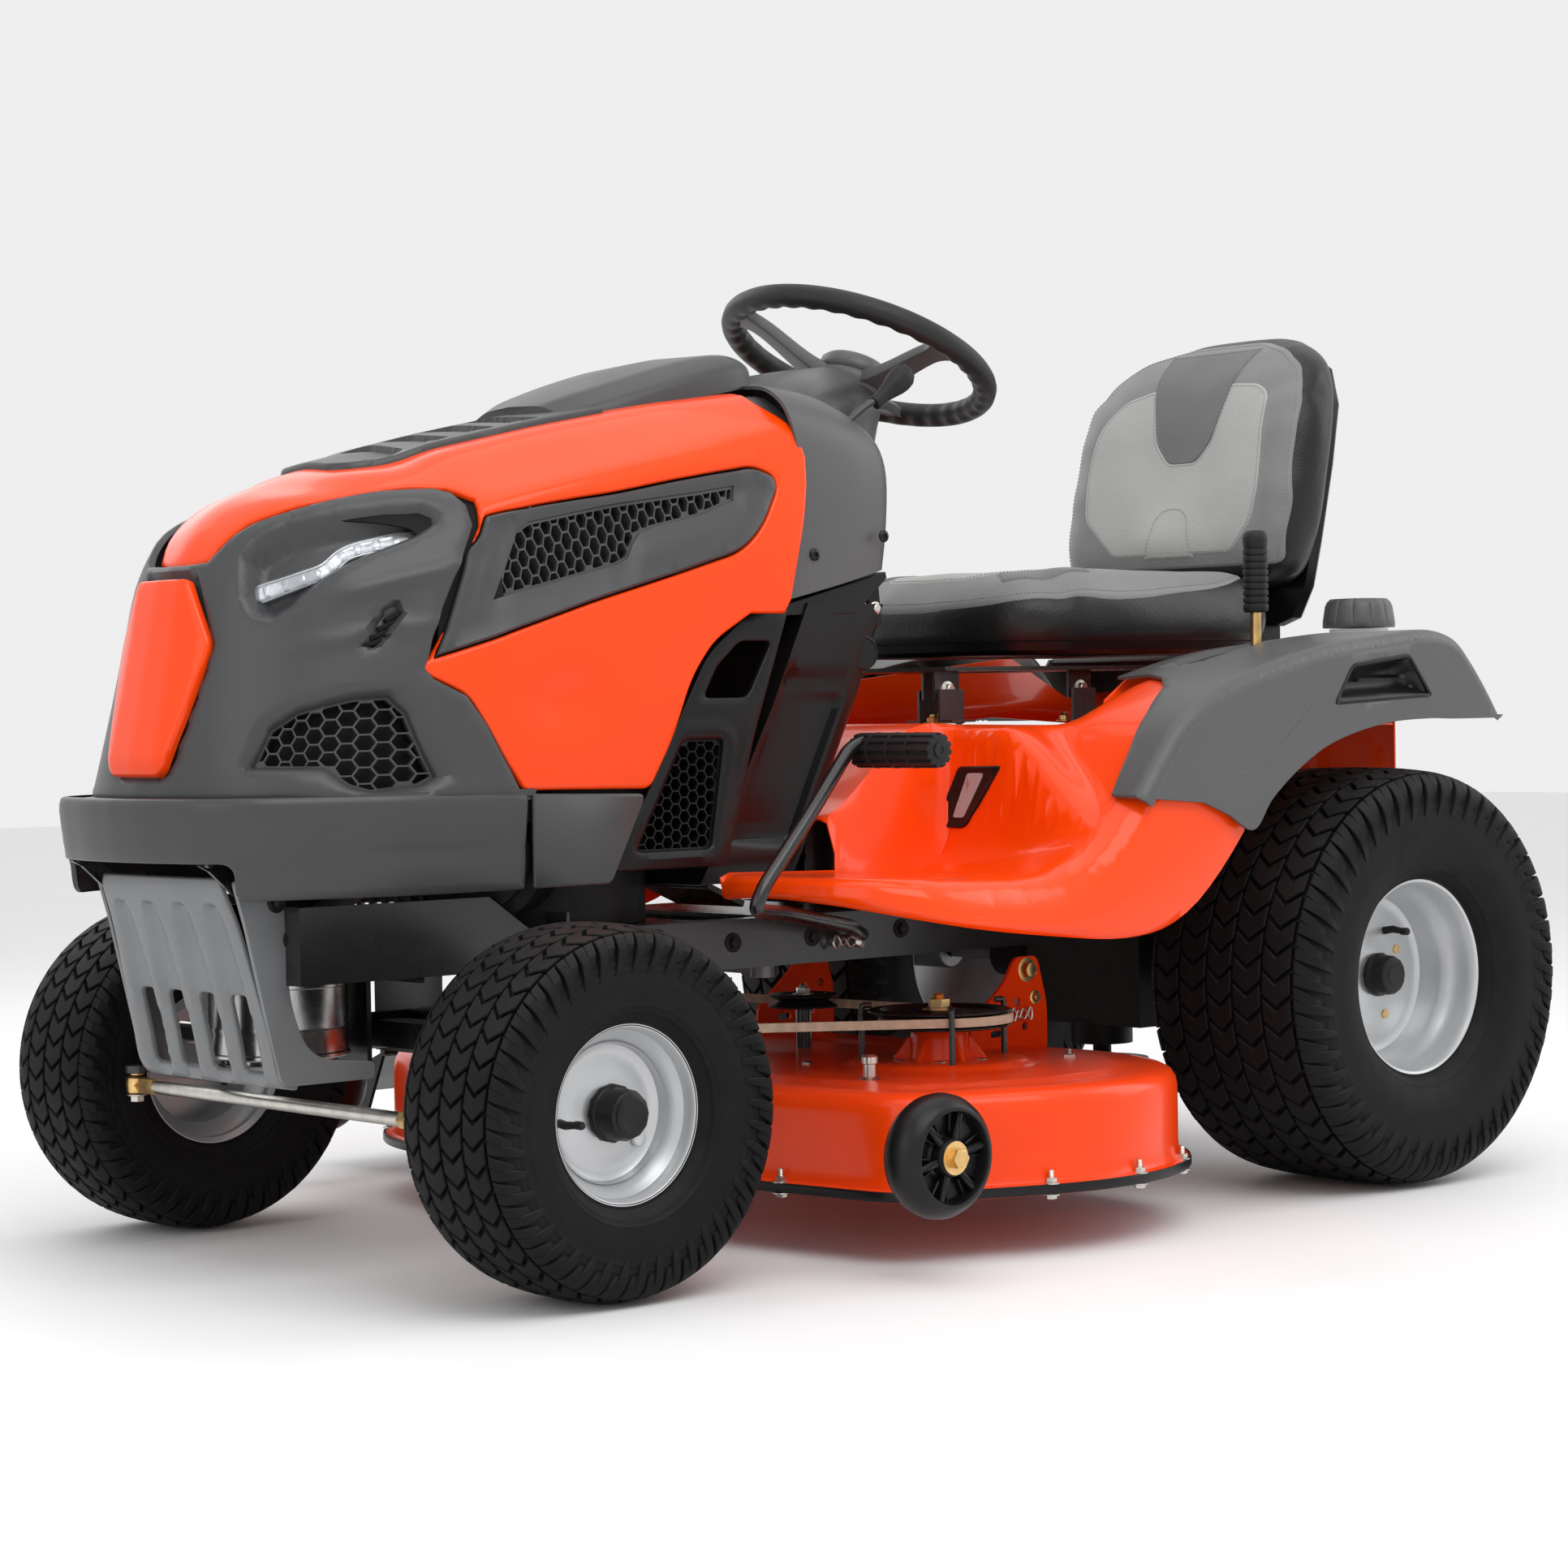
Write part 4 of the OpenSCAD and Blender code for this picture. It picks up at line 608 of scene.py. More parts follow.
# the vent is open to the outline at its front lower edge, so the notch follows the vent
V0 = vxs()
full = np.vstack([half, (half[::-1] * [1, -1])[1:-1]])
dent = lambda P: 16 * np.exp(-(((P[:, 0] - 1108) / 44) ** 2 + ((np.abs(P[:, 1]) - KS * 0.73) / 16) ** 2)) + 0
def hood_rise(P):
    # a shallow dish in the lower panel and a soft crease over the vent
    a = np.abs(P[:, 1]) / KS
    return dent(P) * 0.55 - 2.2 * np.exp(-((a - 0.36) / 0.02) ** 2) * blur(P[:, 0], 800, 860) * (1 - blur(P[:, 0], 1120, 1200))
hv = [V0, V0 * [1, -1]]
v, f = panel(full, hood3, 4.0, holes=[ccw(h) for h in hv], step=11, edge=((0, 3.0), (0.8, 1.1), (2.2, 0.2), (4, 0)), rise=hood_rise)
make("hood_shell_skin", "hood", (v, f), "orange", smooth=50, repl=["hood_shell"])

# side vents: frame with a raised rim, honeycomb window, and a black sheet behind as painted shade of the space under
# the hood
MESHL = [(1152, 786), (1134, 796), (1018, 818), (909, 833), (858, 841), (862, 824), (913, 806), (974, 793), (996, 786), (1008, 773), (1018, 757), (1034, 750), (1119, 730), (1193, 712)]
mesh_o = ccw(xs(MESHL))
vo = offset(V0, 1.6)
for sg, nm in ((1, "left"), (-1, "right")):
    m3 = (lambda P, d: hood3(P * [1, 1], d)) if sg == 1 else (lambda P, d: hood3(P, d) * [1, -1, 1])
    def vr(P):
        D = dist(P, [vo]); E = dist(P, [mesh_o])
        lip = -3.2 * (1 - blur(D, 3, 9)) + 1.5
        bev = 5.0 * (1 - blur(E, 2, 16)) * (P[:, 0] < 1215)
        return lip + bev
    v, f = panel(vo, m3, 3.0, holes=[mesh_o], step=8, edge=((0, 3.0), (0.8, 1.0), (2.0, 0.0)), rise=vr, hole_edge=False)
    mb = MB().add(v, f, 0)
    cells = hexes(offset(mesh_o, 0.6), 7.6, 1.5)
    v, f = panel(offset(mesh_o, -1.5), lambda P, d, q=m3: q(P, d + 8.5), 7.0, holes=cells, step=40, edge=((0, 0.0), (0.5, 0.0)), hole_edge=False)
    mb.add(v, f, 0)
    # black sheet 19 mm behind the honeycomb: painted shade standing in for the dark space behind the vent
    v, f = panel(offset(mesh_o, -4), lambda P, d, q=m3: q(P, d + 19), 1.5, step=25, edge=())
    mb.add(v, f, 1)
    make("side_vent_" + nm, "hood", mb, ["grey", "blackmatte"], smooth=40, repl=["side_vents"] if sg == 1 else ())

# ------------------------------------------------------------------ front fascia: outline in (u, z)
top = [(0.0, 752), (0.055, 752), (0.17, 754), (0.215, 768), (0.25, 782), (0.30, 794), (0.37, 803), (0.47, 814), (0.585, 823), (0.66, 828), (0.744, 830), (0.82, 831), (0.872, 826), (0.905, 812), (0.915, 790), (0.893, 764), (0.845, 706), (0.822, 672), (0.812, 650),
       (0.806, 641), (0.822, 630), (0.885, 612), (0.925, 580), (0.955, 545), (0.982, 512), (0.982, 508)]
hf = np.array([(u * KU, z) for u, z in top])
outl = np.vstack([hf[1:], [(0, 508)], (hf[::-1] * [-1, 1])])
def uz(pts): return np.array([(u * KU, z) for u, z in pts])
# recesses: lamp bowl, small vent, lower grille, nose panel pocket
BOWL = uz([(0.30, 760), (0.335, 779), (0.42, 797), (0.56, 809), (0.70, 816), (0.80, 817), (0.845, 808), (0.852, 792), (0.80, 775), (0.70, 757), (0.62, 738), (0.57, 722), (0.50, 700), (0.43, 688), (0.36, 692), (0.32, 715)])
GRL = uz([(0.395, 545), (0.44, 583), (0.52, 600), (0.66, 612), (0.735, 613), (0.775, 596), (0.83, 530), (0.80, 522), (0.70, 517), (0.655, 524), (0.60, 543)])
SV = uz([(0.665, 663), (0.715, 704), (0.755, 712), (0.765, 700), (0.735, 672), (0.70, 660)])
NOSE = uz([(-0.135, 742), (0.135, 742), (0.245, 668), (0.135, 536), (0.10, 530), (-0.10, 530), (-0.135, 536), (-0.245, 668)])
def fas_rise(P):
    Q = np.c_[np.abs(P[:, 0]), P[:, 1]]; d = np.zeros(len(P))
    def rec(L, depth, wdt):
        ins = inpoly(Q, L); D = dist(Q, [L]); return np.where(ins, depth * blur(D, 0, wdt), 0)
    d += rec(BOWL, 30, 22)
    d += rec(offset(ccw(GRL), -10), 10, 12)
    d += rec(ccw(SV), 12, 5)
    N_ = inpoly(P, NOSE); d += np.where(N_, 6 * blur(dist(P, [NOSE]), 0, 4), 0)
    # swage line sweeping back under the small vent and the ridge above it
    u = Q[:, 0] / KU
    zl = 655 + (u - 0.40) * 75
    d += -3.0 * np.exp(-((Q[:, 1] - zl) / 6.0) ** 2) * blur(u, 0.42, 0.62)
    zr = 716 + (u - 0.62) * 120
    d += -5.0 * np.exp(-((Q[:, 1] - zr) / 7.0) ** 2) * blur(u, 0.58, 0.66)
    # lip round the whole face
    D = dist(P, [outl]); d += -1.2 * np.exp(-((D - 7) / 3.0) ** 2)
    return d
grl = offset(ccw(GRL), 0.0)
gs = [ccw(grl), ccw(grl * [-1, 1])]
ex = [offset(ccw(BOWL), k) for k in (1, 5, 9, 13, 18, 23)] + [offset(ccw(NOSE), k) for k in (1, 3)] + [offset(ccw(SV), k) for k in (1, 2.5, 4)]
ex = ex + [e * [-1, 1] for e in ex if len(e)]
v, f = panel(outl, face3, 4.0, holes=gs, step=8, edge=((0, 2.6), (0.8, 0.9), (2.2, 0)), rise=fas_rise, extra=ex, hole_edge=True)
mb = MB().add(v, f, 0)
for sg in (1, -1):
    g = gs[0]; cells = hexes(offset(g, 0.5), 9.6, 1.7)
    fn = (lambda P, d: face3(P, d)) if sg == 1 else (lambda P, d: face3(P, d) * [1, -1, 1])
    v, f = panel(offset(g, -1.5), lambda P, d, q=fn: q(P, d + 15), 7.0, holes=cells, step=40, edge=((0, 0), (0.5, 0)), hole_edge=False); mb.add(v, f, 0)
    # black sheet 30 mm behind the grille honeycomb: painted shade standing in for the dark space behind the grille
    v, f = panel(offset(g, -3), lambda P, d, q=fn: q(P, d + 30), 1.5, step=25, edge=()); mb.add(v, f, 1)
    # slats in the small side vent
    for k in range(4):
        t = k / 4
        a = np.array([0.672 + 0.03 * t * 2.2, 666 + t * 36]); b = a + [0.05, 8 + 3 * t]
        L = uz([tuple(a), tuple(b), (b[0], b[1] - 4.5), (a[0] + 0.004, a[1] - 4.5)])
        v, f = panel(L, lambda P, d, q=fn: q(P, d + 5), 6.0, step=10, edge=((0, 0.6), (0.8, 0))); mb.add(v, f, 1)
make("front_fascia_skin", "hood", mb, ["grey", "blackmatte"], smooth=45, repl=["front_fascia"])

# bumper lip and apron below the face, and the side skirts
PL = catmull([(1525, 0), (1522, 50), (1516, 86), (1500, 142), (1460, 182), (1400, 206), (1317, 230), (1240, 236), (1162, 238)], 80)
def plan_at(t, inn):
    i = np.clip(t, 0, 1) * (len(PL) - 1); k = np.clip(i.astype(int), 0, len(PL) - 2); fr = i - k
    q = PL[k] * (1 - fr)[:, None] + PL[k + 1] * fr[:, None]; tn = PL[k + 1] - PL[k]; tn /= np.linalg.norm(tn, axis=1)[:, None]
    return q + np.c_[-tn[:, 1], -tn[:, 0] * -1] * -inn[:, None] * 1.0
def bump3(P, d):
    t = np.abs(P[:, 0]) / 360; z = P[:, 1]
    # the lip stands out at the top, the apron falls back below it
    setb = np.interp(z, [404, 425, 470, 488, 500, 508, 513], [10, 7, 3.5, 1.2, 0.2, 1.0, 4.0]) + 2 * np.exp(-((z - 452) / 5) ** 2)
    q = PL[:, :]; i = t * (len(q) - 1); k = np.clip(i.astype(int), 0, len(q) - 2); fr = i - k
    c = q[k] * (1 - fr)[:, None] + q[k + 1] * fr[:, None]
    tn = q[np.clip(k + 2, 0, len(q) - 1)] - q[np.clip(k - 1, 0, len(q) - 1)]; tn = tn / np.linalg.norm(tn, axis=1)[:, None]
    nr = np.c_[tn[:, 1], -tn[:, 0]]  # outward
    c = c - nr * (setb + d)[:, None]
    return np.c_[c[:, 0], c[:, 1] * np.sign(P[:, 0] + 1e-9), z]
tc = 141.0  # where the apron starts beside the guard
ol = rnd([(-359.5, 408), (-tc, 408), (-tc, 446), (tc, 446), (tc, 408), (359.5, 408), (359.5, 512), (-359.5, 512)], [3, 12, 14, 14, 12, 3, 3, 3])
v, f = panel(ol, bump3, 4.0, step=9, edge=((0, 2.2), (0.8, 0.8), (2.0, 0)))
mb = MB().add(v, f, 0)
# shelf between the lip and the face
sh = []
for t in np.linspace(-1, 1, 121):
    i = abs(t) * (len(PL) - 1); k = min(int(i), len(PL) - 2); c = PL[k] * (1 - i + k) + PL[k + 1] * (i - k)
    sh.append((c, t))
A = np.array([[c[0] - 4, c[1] * np.sign(t + 1e-9) * 0.985] for c, t in sh]); B = Fs(np.array([t for c, t in sh]), np.full(121, 511.0))[:, :2] - np.array([6, 0])
rings = []
for k, (w, dz) in enumerate([(0, -3.0), (0.06, -0.4), (0.3, 0.6), (0.8, 1.5), (1, 4.5)]):
    rings.append(np.c_[A * (1 - w) + B * w, np.full(121, 509.0 + dz)])
V_ = np.vstack(rings + [r - [0, 0, 4] for r in rings]); Fc = []
n = 121; K = 5
for k in range(K - 1):
    for j in range(n - 1):
        Fc.append((k * n + j, k * n + j + 1, (k + 1) * n + j + 1, (k + 1) * n + j)); o = K * n
        Fc.append((o + (k + 1) * n + j, o + (k + 1) * n + j + 1, o + k * n + j + 1, o + k * n + j))
for j in range(n - 1):
    Fc.append((j + 1, j, K * n + j, K * n + j + 1)); o = (K - 1) * n; Fc.append((o + j, o + j + 1, K * n + o + j + 1, K * n + o + j))
for k in range(K - 1):
    Fc.append((k * n, (k + 1) * n, K * n + (k + 1) * n, K * n + k * n)); Fc.append(((k + 1) * n + n - 1, k * n + n - 1, K * n + k * n + n - 1, K * n + (k + 1) * n + n - 1))
mb.add(V_, Fc, 0)
for sg in (1, -1):
    v, f = side_prism(rnd([(1054, 409), (1157, 409), (1157, 508), (1004, 504)], [8, 3, 3, 12]), 233, 238, 1.2)
    mb.add(v * [1, sg, 1], f, 1)
make("front_bumper", "hood", mb, ["grey", "grey"], smooth=45)

# nose panel: a faceted shield
def nose3(P, d):
    Q = face3(P, d); u = np.abs(P[:, 0]) / KU
    ridge = 13 - np.maximum(0, (u - 0.105)) * 62 - np.maximum(0, (552 - P[:, 1])) * 0.28
    Q[:, 0] += ridge
    return Q
no = rnd([(-47, 738), (47, 738), (86, 669), (47, 541), (38, 534), (-38, 534), (-47, 541), (-86, 669)], [7, 7, 9, 6, 4, 4, 6, 9])
exn = [np.c_[np.full(30, sx * 0.105 * KU), np.linspace(536, 736, 30)] for sx in (-1, 1)] + [np.c_[np.linspace(-45, 45, 20), np.full(20, 552.0)]]
v, f = panel(no, nose3, 6.0, step=9, edge=((0, 4.5), (1.0, 1.6), (2.6, 0.3), (4.5, 0)), extra=exn)
make("nose_panel_skin", "hood", (v, f), "orange", smooth=28, repl=["nose_panel"])

# headlamps: bent clear bar in a dark bowl, with bright chips behind
lampc = [(0.335, 722), (0.50, 741), (0.575, 752), (0.625, 772), (0.70, 782), (0.80, 789)]
for sg, nm in ((1, "left"), (-1, "right")):
    c = catmull(uz(lampc), 40); wdt = np.interp(np.linspace(0, 1, 40), [0, 0.1, 0.45, 0.6, 0.92, 1], [9, 10, 8, 7.5, 8, 5])
    tn = np.gradient(c, axis=0); tn /= np.linalg.norm(tn, axis=1)[:, None]; nn = np.c_[-tn[:, 1], tn[:, 0]]
    L = np.vstack([c - nn * wdt[:, None], (c + nn * wdt[:, None])[::-1]])
    fn = (lambda P, d: face3(P, d)) if sg == 1 else (lambda P, d: face3(P, d) * [1, -1, 1])
    mb = MB()
    v, f = panel(offset(ccw(L), -2.2), lambda P, d, q=fn: q(P, d + 23), 6, step=8, edge=((0, 1.0), (1.0, 0))); mb.add(v, f, 1)
    v, f = panel(L, lambda P, d, q=fn: q(P, d + 17.5), 3.0, step=6, edge=((0, 1.8), (0.8, 0.5), (2, 0))); mb.add(v, f, 0)
    for k in range(9):
        p = c[3 + 4 * k]; w = wdt[3 + 4 * k]
        q4 = rnd([p - nn[3 + 4 * k] * w * 0.6 - tn[3 + 4 * k] * 3.6, p - nn[3 + 4 * k] * w * 0.6 + tn[3 + 4 * k] * 3.6, p + nn[3 + 4 * k] * w * 0.6 + tn[3 + 4 * k] * 3.6, p + nn[3 + 4 * k] * w * 0.6 - tn[3 + 4 * k] * 3.6], 1.0, 2)
        v, f = panel(q4, lambda P, d, q=fn: q(P, d + 21.2), 1.5, step=4, edge=((0, 0.8), (1.2, 0))); mb.add(v, f, 2)
    make("headlamp_" + nm, "hood", mb, ["lens", "chrome", "chrome"], smooth=40, repl=["headlamps"] if sg == 1 else ())

# hood-top strip with stepped louvres, and the rear scoop
def topz(x, y):
    out = np.zeros(len(x))
    i = np.clip(((x - XG[0]) / 10).astype(int), 0, len(XG) - 2); fx = (x - XG[i]) / 10
    for k in range(len(x)):
        r = G[i[k]] * (1 - fx[k]) + G[i[k] + 1] * fx[k]; out[k] = np.interp(abs(y[k]), r[:, 0], r[:, 1])
    return out
def strip3(P, d): return np.c_[P, topz(P[:, 0], P[:, 1]) + 7 - d]
def louv(P):
    d = np.zeros(len(P))
    for x0 in (1022, 1078, 1134, 1190):
        t = (P[:, 0] - x0 - np.abs(P[:, 1]) * 0.10) / 40
        inside = (t > 0) & (t < 1) & (np.abs(P[:, 1]) < (100 - (P[:, 0] - 990) * 0.14))
        d += np.where(inside, 6.5 * (1 - t), 0)
    return d
so = rnd([(960, -122), (1060, -112), (1205, -88), (1262, -64), (1276, -46), (1276, 46), (1262, 64), (1205, 88), (1060, 112), (960, 122)], [4, 30, 20, 10, 8, 8, 10, 20, 30, 4])
exl = []
for x0 in (1022, 1078, 1134, 1190):
    yy = np.linspace(-100 + (x0 - 990) * 0.14, 100 - (x0 - 990) * 0.14, 41)
    for dx in (-0.4, 0.4, 39.5, 40.5): exl.append(np.c_[x0 + dx + np.abs(yy) * 0.10, yy])
v, f = panel(so, strip3, 6.0, step=9, edge=((0, 6.0), (1.0, 2.0), (3.0, 0.2)), rise=louv, extra=exl, hole_edge=True)
make("hood_strip", "hood", (v, f), "grey", smooth=30)
SC = [[736, 986, 72, 92, 981, 972], [744, 997, 84, 104, 986, 966], [770, 1000, 90, 112, 984, 958], [820, 992, 94, 116, 974, 948], [880, 976, 90, 114, 958, 936], [940, 957, 80, 107, 940, 924], [975, 945, 68, 96, 930, 919], [1000, 934, 50, 84, 922, 914]]
def sc_ring(t):
    x, zt, w1, w2, zs, zb = t
    h = rnd([(0, zt + 2), (w1, zt), (w2, zs), (w2 + 3, zb), (0, zb)], [0, 12, 9, 0, 0], 5)
    i0 = 0; h = np.array(h)
    pos = h[:-1] if abs(h[-1][0]) < 1e-6 else h
    ringp = [(x - 0.10 * abs(y), y, z) for y, z in pos] + [(x - 0.0, 0.0, zb)]
    ringn = [(px, -py, pz) for px, py, pz in ringp[-2:0:-1]]
    return np.array(ringp + ringn)
SCi = np.array(SC, float); ts = np.linspace(0, 1, 30)
SCf = catmull(SCi, 34)
v, f = loft([sc_ring(t) for t in SCf])
make("hood_rear_scoop", "hood", (v, f), "grey", smooth=32, repl=["hood_scoop"])

# ------------------------------------------------------------------ dash cowl
DS = np.array([[612, 752], [762, 712], [783, 714], [758, 840], [769, 930], [769, 955], [735, 966], [684, 974], [616, 905], [600, 846]], float)
def dash_ring(k):
    # k from 0 (rear) to 1 (front); a section from the left low edge over the top
    xl = np.interp(k, [0, 1], [0, 1]); pts = []
    # (z, x) along the rear and front edges, followed by fraction of height
    re = np.array([(752, 612), (800, 605), (846, 600), (880, 607), (905, 618), (940, 650), (974, 690)]); fr = np.array([(714, 782), (760, 772), (840, 759), (890, 764), (930, 770), (955, 768), (966, 740)])
    prof = [(0.0, 222), (0.18, 222), (0.42, 221), (0.58, 217), (0.70, 205), (0.80, 184), (0.88, 156), (0.94, 118), (0.985, 66), (1.0, 0)]
    out = []
    for h, w in prof:
        q0 = np.array([np.interp(h, np.linspace(0, 1, 7), re[:, 1]), np.interp(h, np.linspace(0, 1, 7), re[:, 0])])
        q1 = np.array([np.interp(h, np.linspace(0, 1, 7), fr[:, 1]), np.interp(h, np.linspace(0, 1, 7), fr[:, 0])])
        p = q0 * (1 - k) + q1 * k
        ww = w * (1 - 0.10 * (1 - k) ** 3) - (6 if k < 0.02 else 0)
        out.append((p[0], ww, p[1]))
    out = catmull(out, 34)
    return np.vstack([out, (out[::-1] * [1, -1, 1])[1:]])
rings = [dash_ring(k) for k in [0, 0.015, 0.05, 0.12, 0.22, 0.34, 0.46, 0.58, 0.7, 0.82, 0.92, 0.985, 1.0]]
# swell round the steering column
for r in rings:
    c = np.exp(-((r[:, 0] - 640) / 46) ** 2 - (r[:, 1] / 70) ** 2) * (r[:, 2] > 860)
    r[:, 2] += 6 * c
nr = len(rings[0]); V_ = np.vstack(rings); Fc = []
for i in range(len(rings) - 1):
    for j in range(nr - 1): Fc.append((i * nr + j, i * nr + j + 1, (i + 1) * nr + j + 1, (i + 1) * nr + j))
Fc.append(tuple(range(nr)))          # rear face
ob = make("dash_cowl_skin", "chassis", (V_, Fc), "cover", smooth=40, repl=["dash_cowl"])
sm = ob.modifiers.new("t", "SOLIDIFY"); sm.thickness = 0.004; sm.offset = -1
bake(ob); shade(ob, 40)
mb = MB()
screw(mb, (742, 222.4, 765), "y", 7, 0); screw(mb, (632, 219, 788), "y", 7, 0)
screw(mb, (742, -222.4, 765), "-y", 7, 0); screw(mb, (632, -219, 788), "-y", 7, 0)
make("dash_screws", "chassis", mb, ["black"])
# column boot
ax = np.array([-math.sin(math.radians(23.5)), 0, math.cos(math.radians(23.5))]); rc = np.array([463.5, 0, 1020])
v, f = lathe([(17, -40), (34, -40), (40, -46), (43, -58), (46, -64), (47, -80), (52, -120), (60, -175), (64, -215), (20, -215)], 48)
v = orient(v, tuple(ax)) + rc
make("column_boot", "chassis", (v, f), "cover", smooth=35, repl=["steering_column"])
v, f = tube([rc - ax * 200, rc - ax * 400, rc - ax * 700], 16, 20); v2, f2 = rbox((-30, -60, 0), (30, 60, 8), 1)
mb = MB().add(v, f, 0).add(orient(v2, tuple(ax)) + rc - ax * 705, f2, 0)
make("column_tube", "chassis", mb, ["steel_black"])

# lower dash pod
def ld_ring(z):
    x0 = 728 - (z - 410) * 0.39; w = np.interp(z, [398, 430, 520, 600, 711], [172, 178, 188, 198, 202])
    xb = x0 + 150 - (z - 398) * 0.06
    h = rnd([(x0 - 14, 0), (x0 - 14, w - 44), (x0, w - 4), (x0 + 26, w + 2), (xb - 20, w + 6), (xb, w + 8)], [0, 20, 14, 10, 8, 0], 5)
    return np.vstack([np.c_[h, np.full(len(h), z)], (np.c_[h, np.full(len(h), z)][::-1] * [1, -1, 1])[:-1]])
R_ = [ld_ring(z) for z in np.linspace(398, 711, 40)]
nr = len(R_[0]); V_ = np.vstack(R_)
# recessed side panel
Q = V_.copy(); xm = Q[:, 0] - (728 - (Q[:, 2] - 410) * 0.39)
rec = blur(xm, 26, 34) * (1 - blur(xm, 118, 128)) * blur(Q[:, 2], 432, 446) * (1 - blur(Q[:, 2], 600 + (xm - 40) * 0.35, 614 + (xm - 40) * 0.35))
V_[:, 1] -= np.sign(V_[:, 1]) * 13 * rec * (np.abs(V_[:, 1]) > 120)
Fc = []
for i in range(len(R_) - 1):
    for j in range(nr - 1): Fc.append((i * nr + j, i * nr + j + 1, (i + 1) * nr + j + 1, (i + 1) * nr + j))
ob = make("lower_dash_skin", "chassis", (V_, Fc), "black", smooth=40, repl=["lower_dash"])
sm = ob.modifiers.new("t", "SOLIDIFY"); sm.thickness = 0.004; sm.offset = -1
bake(ob); shade(ob, 40)
mb = MB()
for sg in (1, -1):
    v, f = lathe([(0, -3), (20, -3), (20, 0), (18.5, 1.6), (17, 1.6), (16.4, 0.8), (0, 1.2)], 40); mb.add(orient(v, (0.15, sg, 0.0)) + [648, sg * 199.5, 655], f, 0)
    v, f = panel(rnd([(-9, -26), (9, -26), (9, 26), (-9, 26)], 8), lambda P, d: np.c_[P, 2 - d], 3, step=5, edge=((0, 1.4), (1.5, 0))); mb.add(orient(v[:, [0, 1, 2]], (0.1, sg, 0)) + [628, sg * 196, 712], f, 0)
    bolt(mb, (628, sg * 198, 706), (0.1, sg, 0), 9, 5, 1)
make("lower_dash_plugs", "chassis", mb, ["black", "zinc"])

# engine bay side covers: opening above, honeycomb window
for sg, nm in ((1, "left"), (-1, "right")):
    def cov3(P, d, s=sg): return np.c_[P[:, 0], s * (213 - d), P[:, 1]]
    o = rnd([(772, 706), (838, 696), (893, 655), (928, 597), (985, 500), (1043, 420), (870, 420), (828, 560)], [4, 10, 20, 30, 10, 10, 10, 20])
    h1 = rnd([(800, 668), (846, 668), (880, 640), (900, 606), (836, 606)], [8, 8, 8, 8, 10])
    wn = rnd([(872, 560), (930, 560), (968, 492), (1000, 440), (892, 440)], 8)
    v, f = panel(o, cov3, 4.0, holes=[h1, wn], step=10, edge=((0, 2), (0.8, 0.7), (2, 0)), rise=lambda P: -4 * np.exp(-((dist(P, [wn]) - 8) / 4) ** 2) * 0.8)
    mb = MB().add(v, f, 0)
    v, f = panel(offset(ccw(wn), -1), lambda P, d, q=cov3: q(P, d + 5), 5, holes=hexes(offset(ccw(wn), 0.5), 8.2, 1.6), step=40, edge=((0, 0), (0.5, 0)), hole_edge=False); mb.add(v, f, 0)
    make("engine_cover_" + nm, "chassis", mb, ["black"], smooth=40, repl=["engine_side_covers"] if sg == 1 else ())
